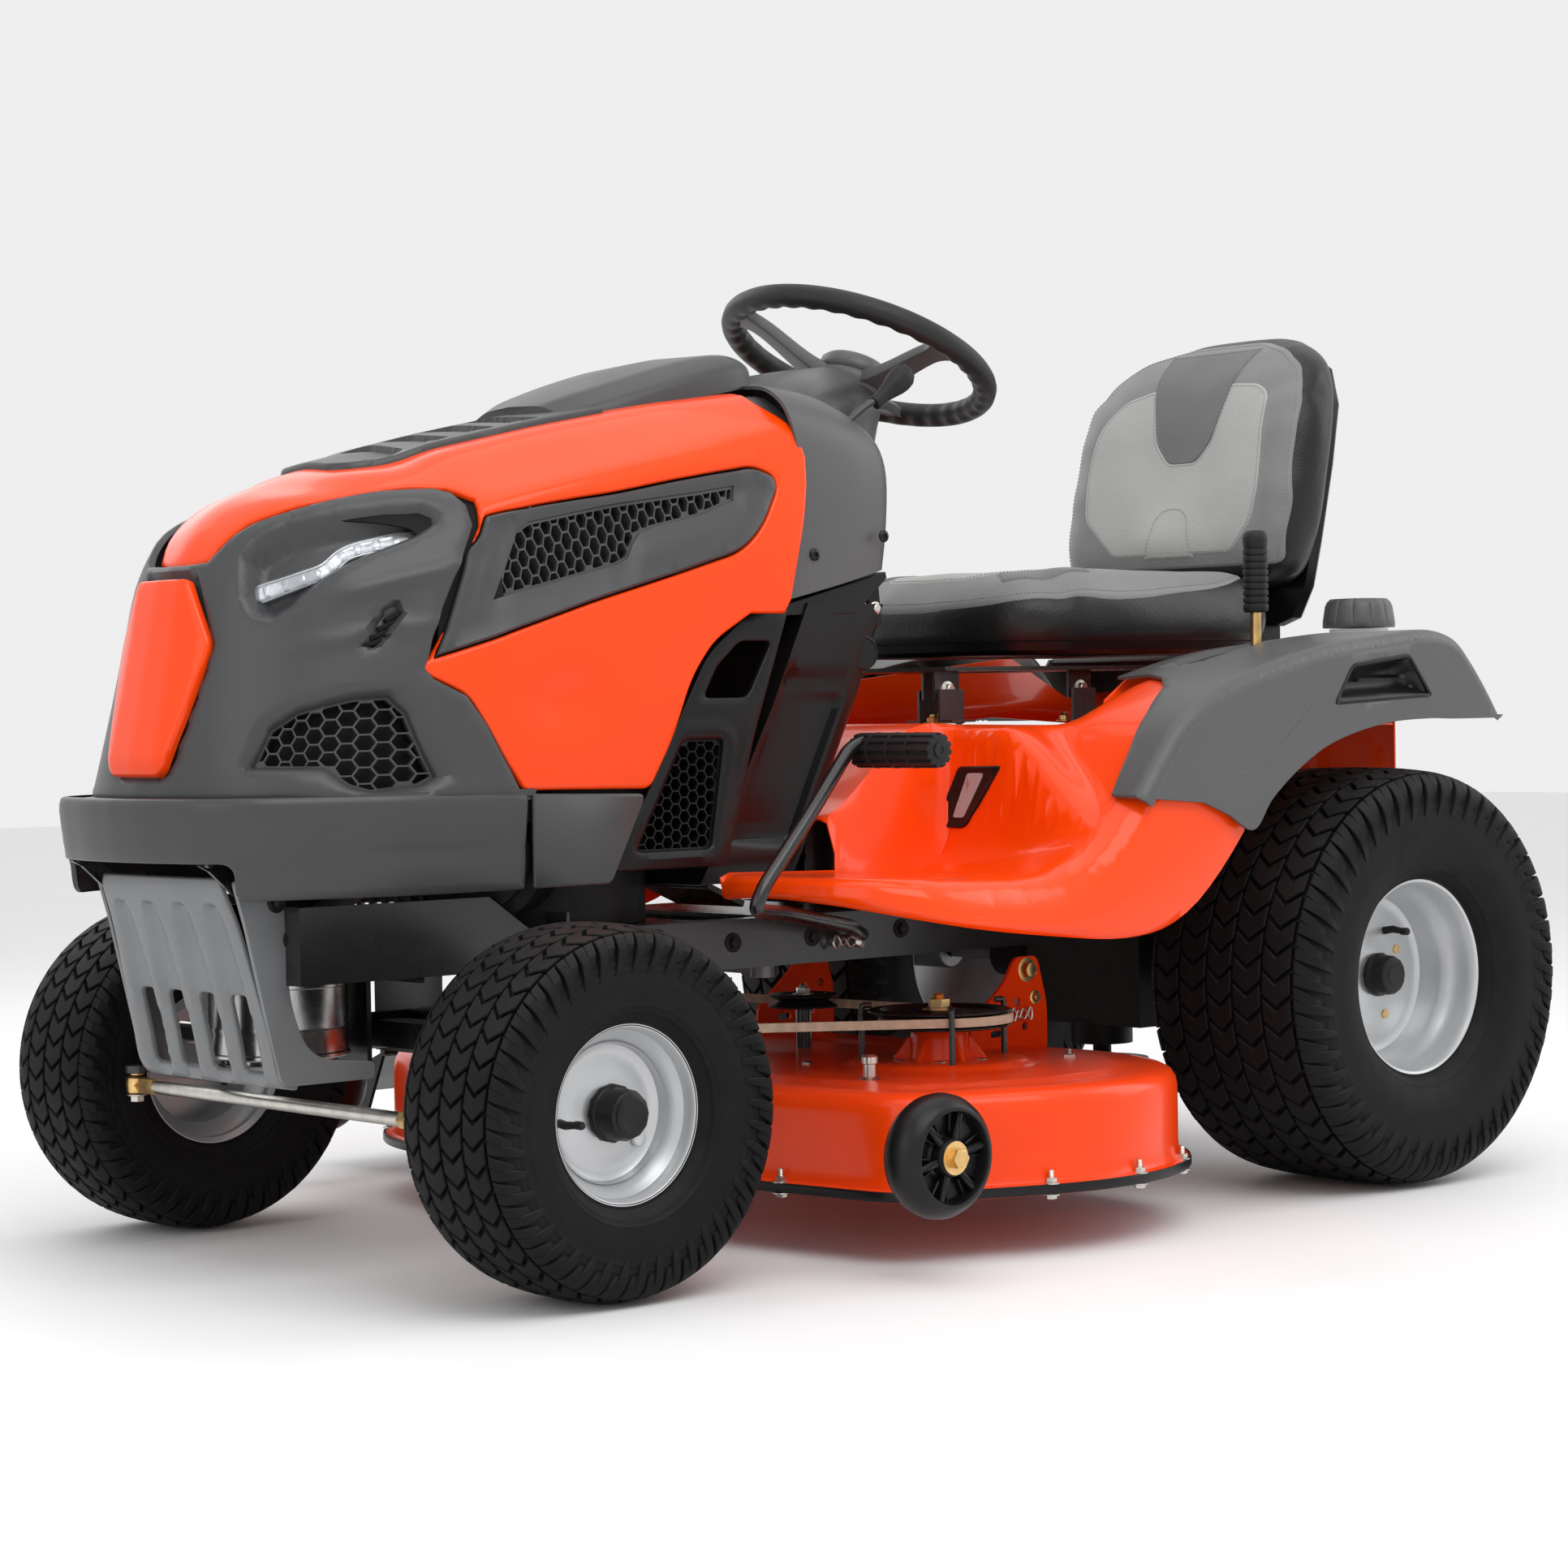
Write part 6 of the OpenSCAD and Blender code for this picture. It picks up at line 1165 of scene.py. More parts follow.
for k in range(4):
    v, f = lathe([(0, 0), (3.3, 0), (3.0, 0.8), (0, 0.9)], 16); mb.add(orient(v, (1, 0, 0.1)) + [np.interp(-(505 - k * 13), [-566, -548, -500, -450, -418], [500, 509, 514, 522, 538]) + 1.0, 266 - k * 9, 505 - k * 13], f, 0)
    v, f = prism(rnd([(0, -0.9), (6 + (k % 2) * 4, -0.9), (6 + (k % 2) * 4, 0.9), (0, 0.9)], 0.6, 2), 0, 0.6, 0.0); z_ = 506 - k * 12
    mb.add(np.c_[v[:, 2] + np.interp(-z_, [-566, -548, -500, -450, -418], [500, 509, 514, 522, 538]) + 2.2, 212 - k * 7.5 + v[:, 0], z_ + v[:, 1]], f, 0)
make("fuel_window", "chassis", mb, ["black", "window", "tank"], smooth=35)

# ------------------------------------------------------------------ grey fender covers
CO = catmull([(486, 487), (455, 526), (420, 566), (380, 594), (330, 616), (240, 640), (150, 658), (60, 668), (-47, 675), (-90, 664), (-118, 640), (-150, 604), (-176, 570)], 300)
CL = np.r_[0, np.cumsum(np.linalg.norm(np.diff(CO, axis=0), axis=1))]
def co_at(s): return np.c_[np.interp(s, CL, CO[:, 0]), np.interp(s, CL, CO[:, 1])]
arch = catmull([(381, 477), (340, 462), (296, 443), (262, 478), (210, 514), (155, 540), (57, 562), (-30, 567), (-82, 566), (-176, 566)], 200)
def s_at_x(x): return float(np.interp(-x, -CO[:, 0], CL))
YO = 479.0; RC = 20.0
def cov_s(P):  # no crown across the width: flat
    return 0
def cov3(P, d):
    q = co_at(P[:, 0]); q2 = co_at(P[:, 0] + 1.0); t = q2 - q; t /= np.linalg.norm(t, axis=1)[:, None] + 1e-9
    n = np.c_[-t[:, 1], t[:, 0]]; n *= np.sign(n[:, 1] + 1e-9)[:, None]
    a = np.abs(P[:, 1]); D = YO - a; R = np.interp(P[:, 0], [0, 60, 140, 300, CL[-1]], [17, 18, 18, 17, 15]); k = np.clip(R - D, 0, R)
    dr = R - np.sqrt(np.maximum(R * R - k * k, 0))
    low = 6 * (1 - blur(a, 256, 330)) + d + dr
    # the inner part hangs back from the front corner
    return np.c_[q[:, 0] + n[:, 0] * -low, P[:, 1], q[:, 1] - n[:, 1] * low]
CA = []
s0 = 0.0
sfr = [(s_at_x(282), 252), (s_at_x(288), 300), (s_at_x(310), 350), (s_at_x(345), 386), (s_at_x(401), 410), (s_at_x(441), 421), (3.0, 430), (0.5, 440), (0.5, YO)]
co_out = np.array([(s, y) for s, y in sfr] + [(CL[-1], YO), (CL[-1], 252)])
slot_c = (s_at_x(154), 320.0)
slot = rnd([(s_at_x(245), 309), (s_at_x(245), 331), (s_at_x(66), 331), (s_at_x(66), 309)], 9)
oval = rnd([(s_at_x(262), 300), (s_at_x(258), 344), (s_at_x(60), 352), (s_at_x(30), 320), (s_at_x(60), 288), (s_at_x(240), 290)], 18, 6)
def cov_rise(P):
    ins = inpoly(P, ccw(oval)); D = dist(P, [oval]); return np.where(ins, 5 * blur(D, 0, 5), -1.2 * np.exp(-(D / 3.0) ** 2))
exc = []
for k in (0.6, 2, 4.5, 8, 13, 20, 28, 38, 48): exc.append(np.c_[np.linspace(4, CL[-1] - 3, 110), np.full(110, YO - k)])
exc += [offset(ccw(oval), k) for k in (-3, 0.5, 3, 5.5)]
for sg, nm in ((1, "left"), (-1, "right")):
    mb = MB()
    hl = [ccw(slot)] if sg == 1 else []
    c3 = (lambda P, d: cov3(P, d)) if sg == 1 else (lambda P, d: cov3(P, d) * [1, -1, 1])
    v, f = panel(ccw(co_out), c3, 3.5, holes=hl, step=11, edge=((0, 0.6), (0.8, 0)), rise=cov_rise if sg == 1 else None, extra=exc); mb.add(v, f, 0)
    # side wall in (x, z) under the rounded edge
    ss = np.linspace(0.5, CL[-1], 90); RR = np.interp(ss, [0, 60, 140, 300, CL[-1]], [17, 18, 18, 17, 15])
    q = co_at(ss); q2 = co_at(ss + 1); q0 = co_at(ss - 1); t = q2 - q0; t /= np.linalg.norm(t, axis=1)[:, None]; n = np.c_[-t[:, 1], t[:, 0]]; n *= np.sign(n[:, 1])[:, None]
    edge_top = q - n * (RR - 0.5)[:, None]
    keep = edge_top[:, 1] > np.interp(-edge_top[:, 0], -arch[:, 0], arch[:, 1]) + 2
    et = edge_top[keep]
    wall = np.vstack([et[::-1], arch[(arch[:, 0] < et[0, 0])]])
    pocket = rnd([(150, 586), (116, 634), (8, 646), (-36, 594)], [8, 10, 8, 8])
    def side3(P, d, s=sg): return np.c_[P[:, 0], s * (YO + 0.3 - d), P[:, 1]]
    def side_rise(P):
        D = dist(P, [pocket]); E = dist(P, [arch[arch[:, 0] < 290]]); base = -1.0 * np.exp(-((D - 4) / 2.5) ** 2)
        return base
    v, f = panel(ccw(wall), side3, 3.5, holes=[ccw(pocket)], step=10, edge=((0, 0.4), (0.5, 0)), rise=side_rise); mb.add(v, f, 0)
    v, f = panel(offset(ccw(pocket), -1.2), lambda P, d, q_=side3: q_(P, d + 1.0), 2, step=5, edge=(), rise=lambda P: 17 * blur(dist(P, [pocket]), 0.5, 20) + 5 * (P[:, 1] > 618 - (P[:, 0] - 60) * 0.05) * blur(dist(P, [pocket]), 2, 8)); mb.add(v, f, 1)
    v, f = panel(ccw(pocket), lambda P, d, q_=side3: q_(P, d - 1.6), 1.6, holes=[offset(ccw(pocket), 4)], step=8, edge=((0, 0.8), (1, 0))); mb.add(v, f, 1)
    # fin that runs back along the side
    fin = catmull([(381, 488), (350, 500), (289, 516), (210, 570), (150, 622)], 30); w = np.interp(np.linspace(0, 1, 30), [0, 0.4, 1], [0.6, 3.2, 0.4])
    rg = [np.array([[p[0] - 7 * k, sg * YO - sg * 1.5, p[1] + 7 * k], [p[0], sg * (YO + k), p[1]], [p[0] + 6 * k, sg * YO - sg * 1.5, p[1] - 5 * k]]) for p, k in zip(fin, w / 3)]
    mb.add(*loft(rg), 0)
    if sg == 1:
        # black sheet 26 mm under the slot, painted shade standing in for the dark space below it, and the height scale
        v, f = panel(offset(ccw(slot), -3), lambda P, d: cov3(P, d + 26), 2, step=30, edge=()); mb.add(v, f, 2)
        segs = {"0": "abcdef", "1": "bc", "2": "abged", "3": "abgcd", "5": "afgcd", ".": "p"}
        ln = {"a": ((0, 2), (1, 2)), "b": ((1, 2), (1, 1)), "c": ((1, 1), (1, 0)), "d": ((0, 0), (1, 0)), "e": ((0, 0), (0, 1)), "f": ((0, 1), (0, 2)), "g": ((0, 1), (1, 1)), "p": ((0.3, 0), (0.5, 0))}
        for lab, xx in (("0.5", 228), ("1", 196), ("1.5", 172), ("2", 146), ("2.5", 120), ("3", 92)):
            sx = s_at_x(xx); cy = 337.0
            for ci, ch in enumerate(lab):
                for k in segs[ch]:
                    (a0, b0), (a1, b1) = ln[k]; w_, h_ = 3.2, 3.4
                    p0 = np.array([sx - b0 * h_ , cy + a0 * w_ + ci * 4.9 - (2 if ch == "." else 0)]); p1 = np.array([sx - b1 * h_, cy + a1 * w_ + ci * 4.9 - (2 if ch == "." else 0)])
                    dd = p1 - p0; l = np.linalg.norm(dd); dd = dd / (l + 1e-9); nn = np.array([-dd[1], dd[0]]) * 0.42; e = dd * 0.4
                    qd = np.array([p0 - e - nn, p1 + e - nn, p1 + e + nn, p0 - e + nn])
                    v, f = panel(ccw(qd), lambda P, d: cov3(P, d + 4.7), 0.5, step=9, edge=()); mb.add(v, f, 3)
    make("fender_cover_" + nm, "chassis", mb, ["cover", "black", "blackmatte", "white"], smooth=38, repl=["fender_covers"] if sg == 1 else ())
# panel over the tank
mb = MB()
hole = np.array([(-205 + 41 * math.cos(a), 228 + 41 * math.sin(a)) for a in np.arange(48) * math.pi / 24])
v, f = panel(rnd([(-261, -298), (-170, -298), (-170, 298), (-261, 298)], 6), lambda P, d: np.c_[P, 656 - d + 0 * d], 4, holes=[hole], step=16, edge=((0, 2.5), (0.8, 0.8), (2.5, 0)), rise=lambda P: 3 * blur(dist(P, [np.array([(-250, -285), (-182, -285), (-182, 285), (-250, 285)])]), 0, 6) * inpoly(P, np.array([(-250, -285), (-182, -285), (-182, 285), (-250, 285)], float)) * (np.abs(P[:, 1] - 228) > 60)); mb.add(v, f, 0)
mb.add(*rbox((-262, -299, 570), (-258, 299, 652), 0.8), 0)
for sg in (1, -1): v, f = side_prism([(-262, 570), (-178, 570), (-142, 618), (-168, 654), (-262, 654)], 296, 300, 0.8); mb.add(v * [1, sg, 1], f, 0)
make("tank_panel", "chassis", mb, ["cover"], smooth=35)

# cap: twelve lobes over a white neck
mb = MB(); R = []
for z, r, am in ((684.5, 40, 0), (684.5, 46.0, 0.0), (686, 46.8, 0.2), (693, 46.6, 0.6), (712, 43.6, 1.0), (718, 41.0, 0.8), (722, 36.5, 0.2), (722.6, 22, 0), (721, 20, 0), (721, 6, 0)):
    L = []
    for j in range(192):
        a = 2 * math.pi * j / 192; p = abs(math.sin(a * 6)); L.append((-205 + (r - am * 2.6 * (1 - p ** 0.35)) * math.cos(a), 228 + (r - am * 2.6 * (1 - p ** 0.35)) * math.sin(a), z))
    R.append(np.array(L))
mb.add(*loft(R), 0)
make("fuel_cap_skin", "cap", mb, ["cover"], smooth=35, repl=["fuel_cap"])
recoat("fuel_tank", "tank")

# ------------------------------------------------------------------ seat
def smooth_ring(L, n=96):
    L = rnd(L, 60, 8); L = resample(ccw(L), 4); d = np.r_[0, np.cumsum(np.linalg.norm(np.roll(L, -1, 0) - L, axis=1))]; t = np.linspace(0, d[-1], n, endpoint=False); Lc = np.vstack([L, L[:1]])
    return np.c_[np.interp(t, d, Lc[:, 0]), np.interp(t, d, Lc[:, 1])]
def puff(ob, cap, keep=None, pressure=4.0, voxel=0.006):
    """inflates a cushion in its cover: a voxel copy is draped under a little air pressure, each point's move is capped"""
    r = ob.modifiers.new("r", "REMESH"); r.mode = "VOXEL"; r.voxel_size = voxel; r.use_smooth_shade = True
    bake(ob)
    me = ob.data; n = len(me.vertices); c0 = np.empty(n * 3); me.vertices.foreach_get("co", c0); c0 = c0.reshape(-1, 3)
    vg = ob.vertex_groups.new(name="hold")
    if keep is not None:
        idx = np.nonzero(keep(c0 / MM))[0].tolist()
        if idx: vg.add(idx, 1.0, "REPLACE")
    m = ob.modifiers.new("c", "CLOTH"); st = m.settings; st.quality = 4; st.mass = 0.3; st.tension_stiffness = 12; st.compression_stiffness = 12; st.bending_stiffness = 0.6
    st.use_pressure = True; st.uniform_pressure_force = pressure; st.vertex_group_mass = "hold"; st.effector_weights.gravity = 0.0
    m.collision_settings.use_self_collision = False; m.collision_settings.use_collision = False
    m.point_cache.frame_start = 1; m.point_cache.frame_end = 20
    sc = bpy.context.scene
    for k in range(1, 21): sc.frame_set(k)
    dg = bpy.context.evaluated_depsgraph_get(); ev = ob.evaluated_get(dg).to_mesh(); c1 = np.empty(n * 3); ev.vertices.foreach_get("co", c1); c1 = c1.reshape(-1, 3).copy(); ob.evaluated_get(dg).to_mesh_clear()
    ob.modifiers.clear(); sc.frame_set(1)
    d = c1 - c0; l = np.linalg.norm(d, axis=1); print("puff", ob.name, "max mm", l.max() * 1000, "cap", cap)
    lim = cap * MM; s = np.where(l > 1e-9, lim * np.tanh(l / lim) / np.maximum(l, 1e-9), 1); c = c0 + d * s[:, None]
    me.vertices.foreach_set("co", c.reshape(-1)); me.update()
    sm = ob.modifiers.new("s", "SMOOTH"); sm.iterations = 16; sm.factor = 0.5; bake(ob)
    return ob
# bottom cushion: rings stacked in z over a plan outline
plan_c = smooth_ring([(-98, -172), (-60, -200), (60, -212), (200, -214), (310, -208), (372, -170), (394, -90), (396, 0), (394, 90), (372, 170), (310, 208), (200, 214), (60, 212), (-60, 200), (-98, 172)])
def ringz(ins, z):
    c = np.array([150, 0]); q = plan_c - c; s = 1 - ins / 214.0; s2 = 1 - ins / 246.0
    return np.c_[q[:, 0] * s2 + c[0], q[:, 1] * s, np.zeros(len(q)) + z]
def dish(V):
    # hollows where the sitter rests and the crease that runs round the top
    x, y = V[:, 0], V[:, 1]; top = V[:, 2] > 700
    h = -15 * np.exp(-((x - 110) / 130) ** 2 - (y / 120) ** 2) + 8 * np.exp(-((np.abs(y) - 168) / 40) ** 2) * (x < 300) - 6 * blur(x, 330, 395) +  5 * np.exp(-((x - 250) / 60) ** 2 - (y / 40) ** 2)
    V[:, 2] += h * np.clip((V[:, 2] - 690) / 45, 0, 1); return V
rg = [ringz(i, z) for i, z in ((60, 656), (34, 657), (16, 664), (5, 676), (0, 692), (1, 706), (6, 720), (15, 733), (28, 742), (46, 747), (74, 750), (110, 750), (170, 749), (205, 749))]
V_, F_ = loft(rg); V_ = dish(V_)
cush = make("seat_cushion_skin", "seat", (V_, F_), "seatblack", smooth=None, repl=["seat_cushion"])
puff(cush, 5, keep=lambda c: c[:, 2] < 672)
shade(cush, None)
# backrest
def xfr(z): return np.interp(z, [700, 745, 800, 870, 950, 1020, 1060, 1082], [-92, -92, -95, -107, -127, -153, -186, -232])
ZB = [(742, 160, 62, 26), (746, 176, 70, 12), (760, 190, 80, 2), (800, 202, 88, 0), (850, 206, 92, 0), (900, 205, 92, 0), (950, 202, 92, 0), (990, 194, 90, 0), (1020, 182, 86, 2), (1045, 160, 78, 5), (1062, 132, 66, 10), (1072, 100, 50, 16), (1077, 66, 34, 24), (1079, 30, 16, 33)]
def bring(z, w, T, ins):
    x1 = xfr(z) - ins * 0.6; x0 = x1 - T; L = smooth_ring2([(x0, -w * 0.86), (x0 + T * 0.3, -w), (x1 - 12, -w), (x1, -w * 0.80), (x1, w * 0.80), (x1 - 12, w), (x0 + T * 0.3, w), (x0, w * 0.86)])
    return np.c_[L, np.full(len(L), z)]
def smooth_ring2(L, n=120):
    L = rnd(L, 26, 6); d = np.r_[0, np.cumsum(np.linalg.norm(np.roll(L, -1, 0) - L, axis=1))]; t = np.linspace(0, d[-1], n, endpoint=False); Lc = np.vstack([L, L[:1]])
    return np.c_[np.interp(t, d, Lc[:, 0]), np.interp(t, d, Lc[:, 1])]
zb = catmull(np.array(ZB, float), 40)
V_, F_ = loft([bring(*q) for q in zb])
fr_ = V_[:, 0] > xfr(V_[:, 2]) - 22
V_[:, 0] += np.where(fr_, -12 * np.exp(-((V_[:, 1]) / 105) ** 2 - ((V_[:, 2] - 900) / 120) ** 2) + 9 * np.exp(-((np.abs(V_[:, 1]) - 172) / 30) ** 2) * (V_[:, 2] < 1000) + 8 * np.exp(-(V_[:, 1] / 60) ** 2 - ((V_[:, 2] - 800) / 50) ** 2), 0)
backr = make("seat_back_skin", "seat", (V_, F_), "seatblack", smooth=None, repl=["seat_back"])
puff(backr, 5, keep=lambda c: c[:, 0] < xfr(c[:, 2]) - 74)
shade(backr, None)

# leather panels laid on the cushions, with their seams
from mathutils.bvhtree import BVHTree
def bvh(ob):
    me = ob.data; return BVHTree.FromPolygons([v.co.copy() for v in me.vertices], [tuple(p.vertices) for p in me.polygons])
def layer(tree, mode, off):
    def to3(P, d):
        out = np.zeros((len(P), 3))
        for i in range(len(P)):
            if mode == "top": o_ = Vector((P[i, 0] * MM, P[i, 1] * MM, 0.9)); dr = Vector((0, 0, -1))
            else: o_ = Vector((0.15, P[i, 0] * MM, P[i, 1] * MM)); dr = Vector((-1, 0, 0))
            h = tree.ray_cast(o_, dr)
            if h[0] is None:
                nr_ = tree.find_nearest(Vector((P[i, 0] * MM, P[i, 1] * MM, 0.74)) if mode == "top" else Vector((xfr(P[i, 1]) * MM, P[i, 0] * MM, P[i, 1] * MM))); p_, n_ = nr_[0], nr_[1]
            else: p_, n_ = h[0], h[1]
            if n_.dot(dr) > 0: n_ = -n_
            out[i] = np.array(p_ + n_ * ((off - d[i]) * MM)) / MM
        return out
    return to3
def stitch(tree, L, mode, mb, m, off=2.1, closed=True, pitch=5.2):
    L = np.asarray(L, float); q = resample(L, 1.0) if closed else np.vstack([resample(L, 1.0)[:-1]])
    q = q[::1]; k = int(pitch); to = layer(tree, mode, off)
    pts = to(q, np.zeros(len(q)))
    for i in range(0, len(q) - 4, k):
        a, b, c = pts[i], pts[i + 1], pts[i + 3]
        if np.linalg.norm(c - a) > 6: continue
        v, f = tube([a, b, c], [0.30, 0.52, 0.30], 5); mb.add(v, f, m)
tc_, tb_ = bvh(cush), bvh(backr)
EDG = ((0, 1.6), (0.7, 0.9), (2.2, 0.15), (4.0, 0))
mb = MB()
grey_o = smooth_ring([(-70, -165), (40, -192), (200, -204), (300, -198), (364, -160), (386, -82), (388, 0), (386, 82), (364, 160), (300, 198), (200, 204), (40, 192), (-70, 165), (-78, 0)], 130)
light_i = rnd([(-60, -70), (60, -96), (180, -104), (262, -112), (346, -84), (358, 0), (346, 84), (262, 112), (180, 104), (60, 96), (-60, 70)], 22, 5)
v, f = panel(grey_o, layer(tc_, "top", 1.7), 1.6, step=11, edge=EDG); mb.add(v, f, 0)
v, f = panel(ccw(light_i), layer(tc_, "top", 2.7), 1.5, step=10, edge=EDG); mb.add(v, f, 1)
for sg in (1, -1):
    pp = rnd([(238, sg * 120), (330, sg * 96), (350, sg * 128), (298, sg * 168), (236, sg * 172)], 8, 4)
    v, f = panel(ccw(pp), layer(tc_, "top", 2.7), 1.5, step=9, edge=EDG); mb.add(v, f, 2)
    stitch(tc_, offset(ccw(pp), 4), "top", mb, 3, 3.0)
stitch(tc_, offset(ccw(grey_o), 5), "top", mb, 3, 2.0); stitch(tc_, offset(ccw(light_i), 4), "top", mb, 3, 3.1)
make("seat_panels", "seat", mb, ["mid", "light", "dark", "thread"], smooth=50)
mb = MB()
bo = smooth_ring([(-196, 775), (-200, 850), (-198, 930), (-188, 992), (-160, 1030), (-118, 1056), (-60, 1070), (0, 1073), (60, 1070), (118, 1056), (160, 1030), (186, 992), (186, 950), (188, 900), (200, 850), (198, 800), (188, 766), (0, 762), (-188, 766)], 150)
bo = np.c_[np.clip(bo[:, 0], -186, 186), np.clip(bo[:, 1], 766, 1064)]
v, f = panel(ccw(rnd([(-188, 768), (-199, 850), (-198, 930), (-189, 988), (-162, 1030), (-120, 1056), (-64, 1071), (64, 1071), (120, 1056), (162, 1030), (186, 988), (188, 950), (189, 900), (196, 850), (188, 768)], 14, 4)), layer(tb_, "back", 1.7), 1.6, step=11, edge=EDG); mb.add(v, f, 0)
stitch(tb_, offset(ccw(rnd([(-188, 768), (-199, 850), (-198, 930), (-189, 988), (-162, 1030), (-120, 1056), (-64, 1071), (64, 1071), (120, 1056), (162, 1030), (186, 988), (188, 950), (189, 900), (196, 850), (188, 768)], 14, 4)), 5), "back", mb, 3, 2.0)
li = rnd([(-100, 786), (-152, 838), (-158, 915), (-148, 968), (-118, 1000), (-66, 1012), (-48, 938), (-24, 910), (24, 910), (48, 938), (66, 1012), (118, 1008), (140, 990), (144, 940), (152, 870), (146, 825), (112, 786)], [10, 14, 20, 20, 16, 5, 8, 8, 8, 8, 5, 16, 16, 16, 14, 14, 10], 5)
v, f = panel(ccw(li), layer(tb_, "back", 2.8), 1.5, step=10, edge=EDG); mb.add(v, f, 1)
stitch(tb_, offset(ccw(li), 4), "back", mb, 3, 3.1)
hp = rnd([(-80, 1060), (80, 1060), (70, 1008), (50, 938), (25, 907), (-25, 907), (-50, 938), (-70, 1008)], [3, 3, 20, 12, 14, 14, 12, 20], 5)
v, f = panel(ccw(hp), layer(tb_, "back", 3.0), 1.5, step=9, edge=EDG); mb.add(v, f, 2)
stitch(tb_, offset(ccw(hp), 4), "back", mb, 3, 3.3)
nt = rnd([(-44, 782), (-30, 838), (-14, 850), (14, 850), (30, 838), (44, 782)], [3, 14, 10, 10, 14, 3], 5)
v, f = panel(ccw(nt), layer(tb_, "back", 3.4), 1.2, step=8, edge=((0, 1.8), (1.2, 0.9), (3, 0.2), (6, 0)), rise=lambda P: 3.0 * np.exp(-((P[:, 0]) / 26) ** 2 - ((P[:, 1] - 826) / 26) ** 2)); mb.add(v, f, 1)
stitch(tb_, offset(ccw(nt), 3), "back", mb, 3, 3.9)
make("seat_back_panels", "seat", mb, ["mid", "light", "dark", "thread"], smooth=50)
# moulded shell under and behind the cushions
mb = MB()
plan_s = lambda ins: np.c_[(plan_c[:, 0] - 150) * (1 - ins / 246.0) + 150, plan_c[:, 1] * (1 - ins / 214.0)]
mb.add(*loft([np.c_[plan_s(i), np.full(len(plan_c), z)] for i, z in ((60, 652.5), (30, 653), (17, 658), (12, 668), (16, 670), (60, 668))]), 0)
bk = []
for z, w in ((690, 120), (700, 150), (740, 172), (800, 184), (900, 188), (980, 180), (1030, 150), (1052, 110), (1060, 70)):
    x0 = xfr(z) - 96 + (6 if z > 1030 else 0); bk.append(np.array([(x0 - 5, -w + 8, z), (x0 + 6, -w, z), (x0 + 20, -w + 3, z), (x0 + 20, w - 3, z), (x0 + 6, w, z), (x0 - 5, w - 8, z)]))
mb.add(*loft(bk), 0)
for y in (-90, 90): mb.add(*side_prism(rnd([(-196, 668), (-90, 668), (-60, 690), (-96, 730), (-196, 760)], 6), y - 14, y + 14, 2.0), 0)
make("seat_shell_skin", "seat", mb, ["black"], smooth=40, repl=["seat_shell"])
recoat("seat_pan", "steel_black")
# seat hardware
mb = MB()
for x, z in ((450, 612), (220, 612)):
    for sg in (1, -1): bolt(mb, (x, sg * 132, z), (0, sg, 0), 12, 7, 0)
make("seat_bolts", "seat_frame", mb, ["zinc"], smooth=30)
mb = MB()
for x in (438, 456, 202, 228):
    for sg in (1, -1): bolt(mb, (x, sg * 112, 571), "z", 12, 7, 0, stub=4)
make("plate_bolts", "chassis", mb, ["brass"], smooth=30)
# ------------------------------------------------------------------ deck shell
from functools import reduce
def hull2(P):
    P = sorted(set(map(tuple, np.round(P, 3)))); 
    def half_(L):
        o = []
        for p in L:
            while len(o) > 1 and (o[-1][0] - o[-2][0]) * (p[1] - o[-2][1]) - (o[-1][1] - o[-2][1]) * (p[0] - o[-2][0]) <= 0: o.pop()
            o.append(p)
        return o
    a, b = half_(P), half_(P[::-1]); return np.array(a[:-1] + b[:-1])
def circ(x, y, r, n=96): return [(x + r * math.cos(2 * math.pi * k / n), y + r * math.sin(2 * math.pi * k / n)) for k in range(n)]
def deck_out(g, extra=True):
    return hull2(np.array(circ(600, 265, 270 + g) + circ(660, -262, 270 + g) + (circ(790, 415, 60 + g, 48) + circ(450, 400, 60 + g, 48) if extra else [])))
def even(L, n):
    d = np.r_[0, np.cumsum(np.linalg.norm(np.roll(L, -1, 0) - L, axis=1))]; t = np.linspace(0, d[-1], n, endpoint=False); Lc = np.vstack([L, L[:1]])
    return np.c_[np.interp(t, d, Lc[:, 0]), np.interp(t, d, Lc[:, 1])]
ND = 260
def lev(g, z): 
    L = even(deck_out(g), ND); k = np.argmax(L[:, 0] * 1.0); L = np.roll(L, -k, 0); return np.c_[L, np.full(ND, z)]
outer = [(-26, 179.5), (-14, 178), (-6, 174), (-1.5, 167), (0.5, 157), (0.5, 96), (1.5, 86), (5, 79.5), (10.5, 77.8), (12, 76.6), (12, 67.5), (11, 66.3), (9.5, 66.3), (8.7, 67.4), (8.7, 74.2), (3.5, 76), (-1.5, 84), (-2.6, 96), (-2.6, 155), (-5, 164), (-11, 171), (-16, 173.5), (-28, 175.4)]
rings = [lev(g, z) for g, z in outer]; V_ = np.vstack(rings); K = len(rings)
# the right end opens into the chute: those columns are left out above the lip
F_ = []
for j in range(ND):
    j2 = (j + 1) % ND; p = rings[4][j]
    mouth = p[1] < -470 and 525 < p[0] < 795
    for k in range(K):
        k2 = (k + 1) % K
        if mouth and 4 <= k < 18: continue
        F_.append((k * ND + j, k * ND + j2, k2 * ND + j2, k2 * ND + j))
# close the two sides of the mouth and its brow
cols = [j for j in range(ND) if rings[4][j][1] < -470 and 525 < rings[4][j][0] < 795]
if cols:
    a, b = cols[0], (cols[-1] + 1) % ND
    F_.append(tuple(k * ND + a for k in range(4, 19))); F_.append(tuple(k * ND + b for k in range(18, 3, -1)))
    for j in cols:
        j2 = (j + 1) % ND; F_.append((4 * ND + j, 4 * ND + j2, 18 * ND + j2, 18 * ND + j))
mb = MB().add(V_, F_, 0)
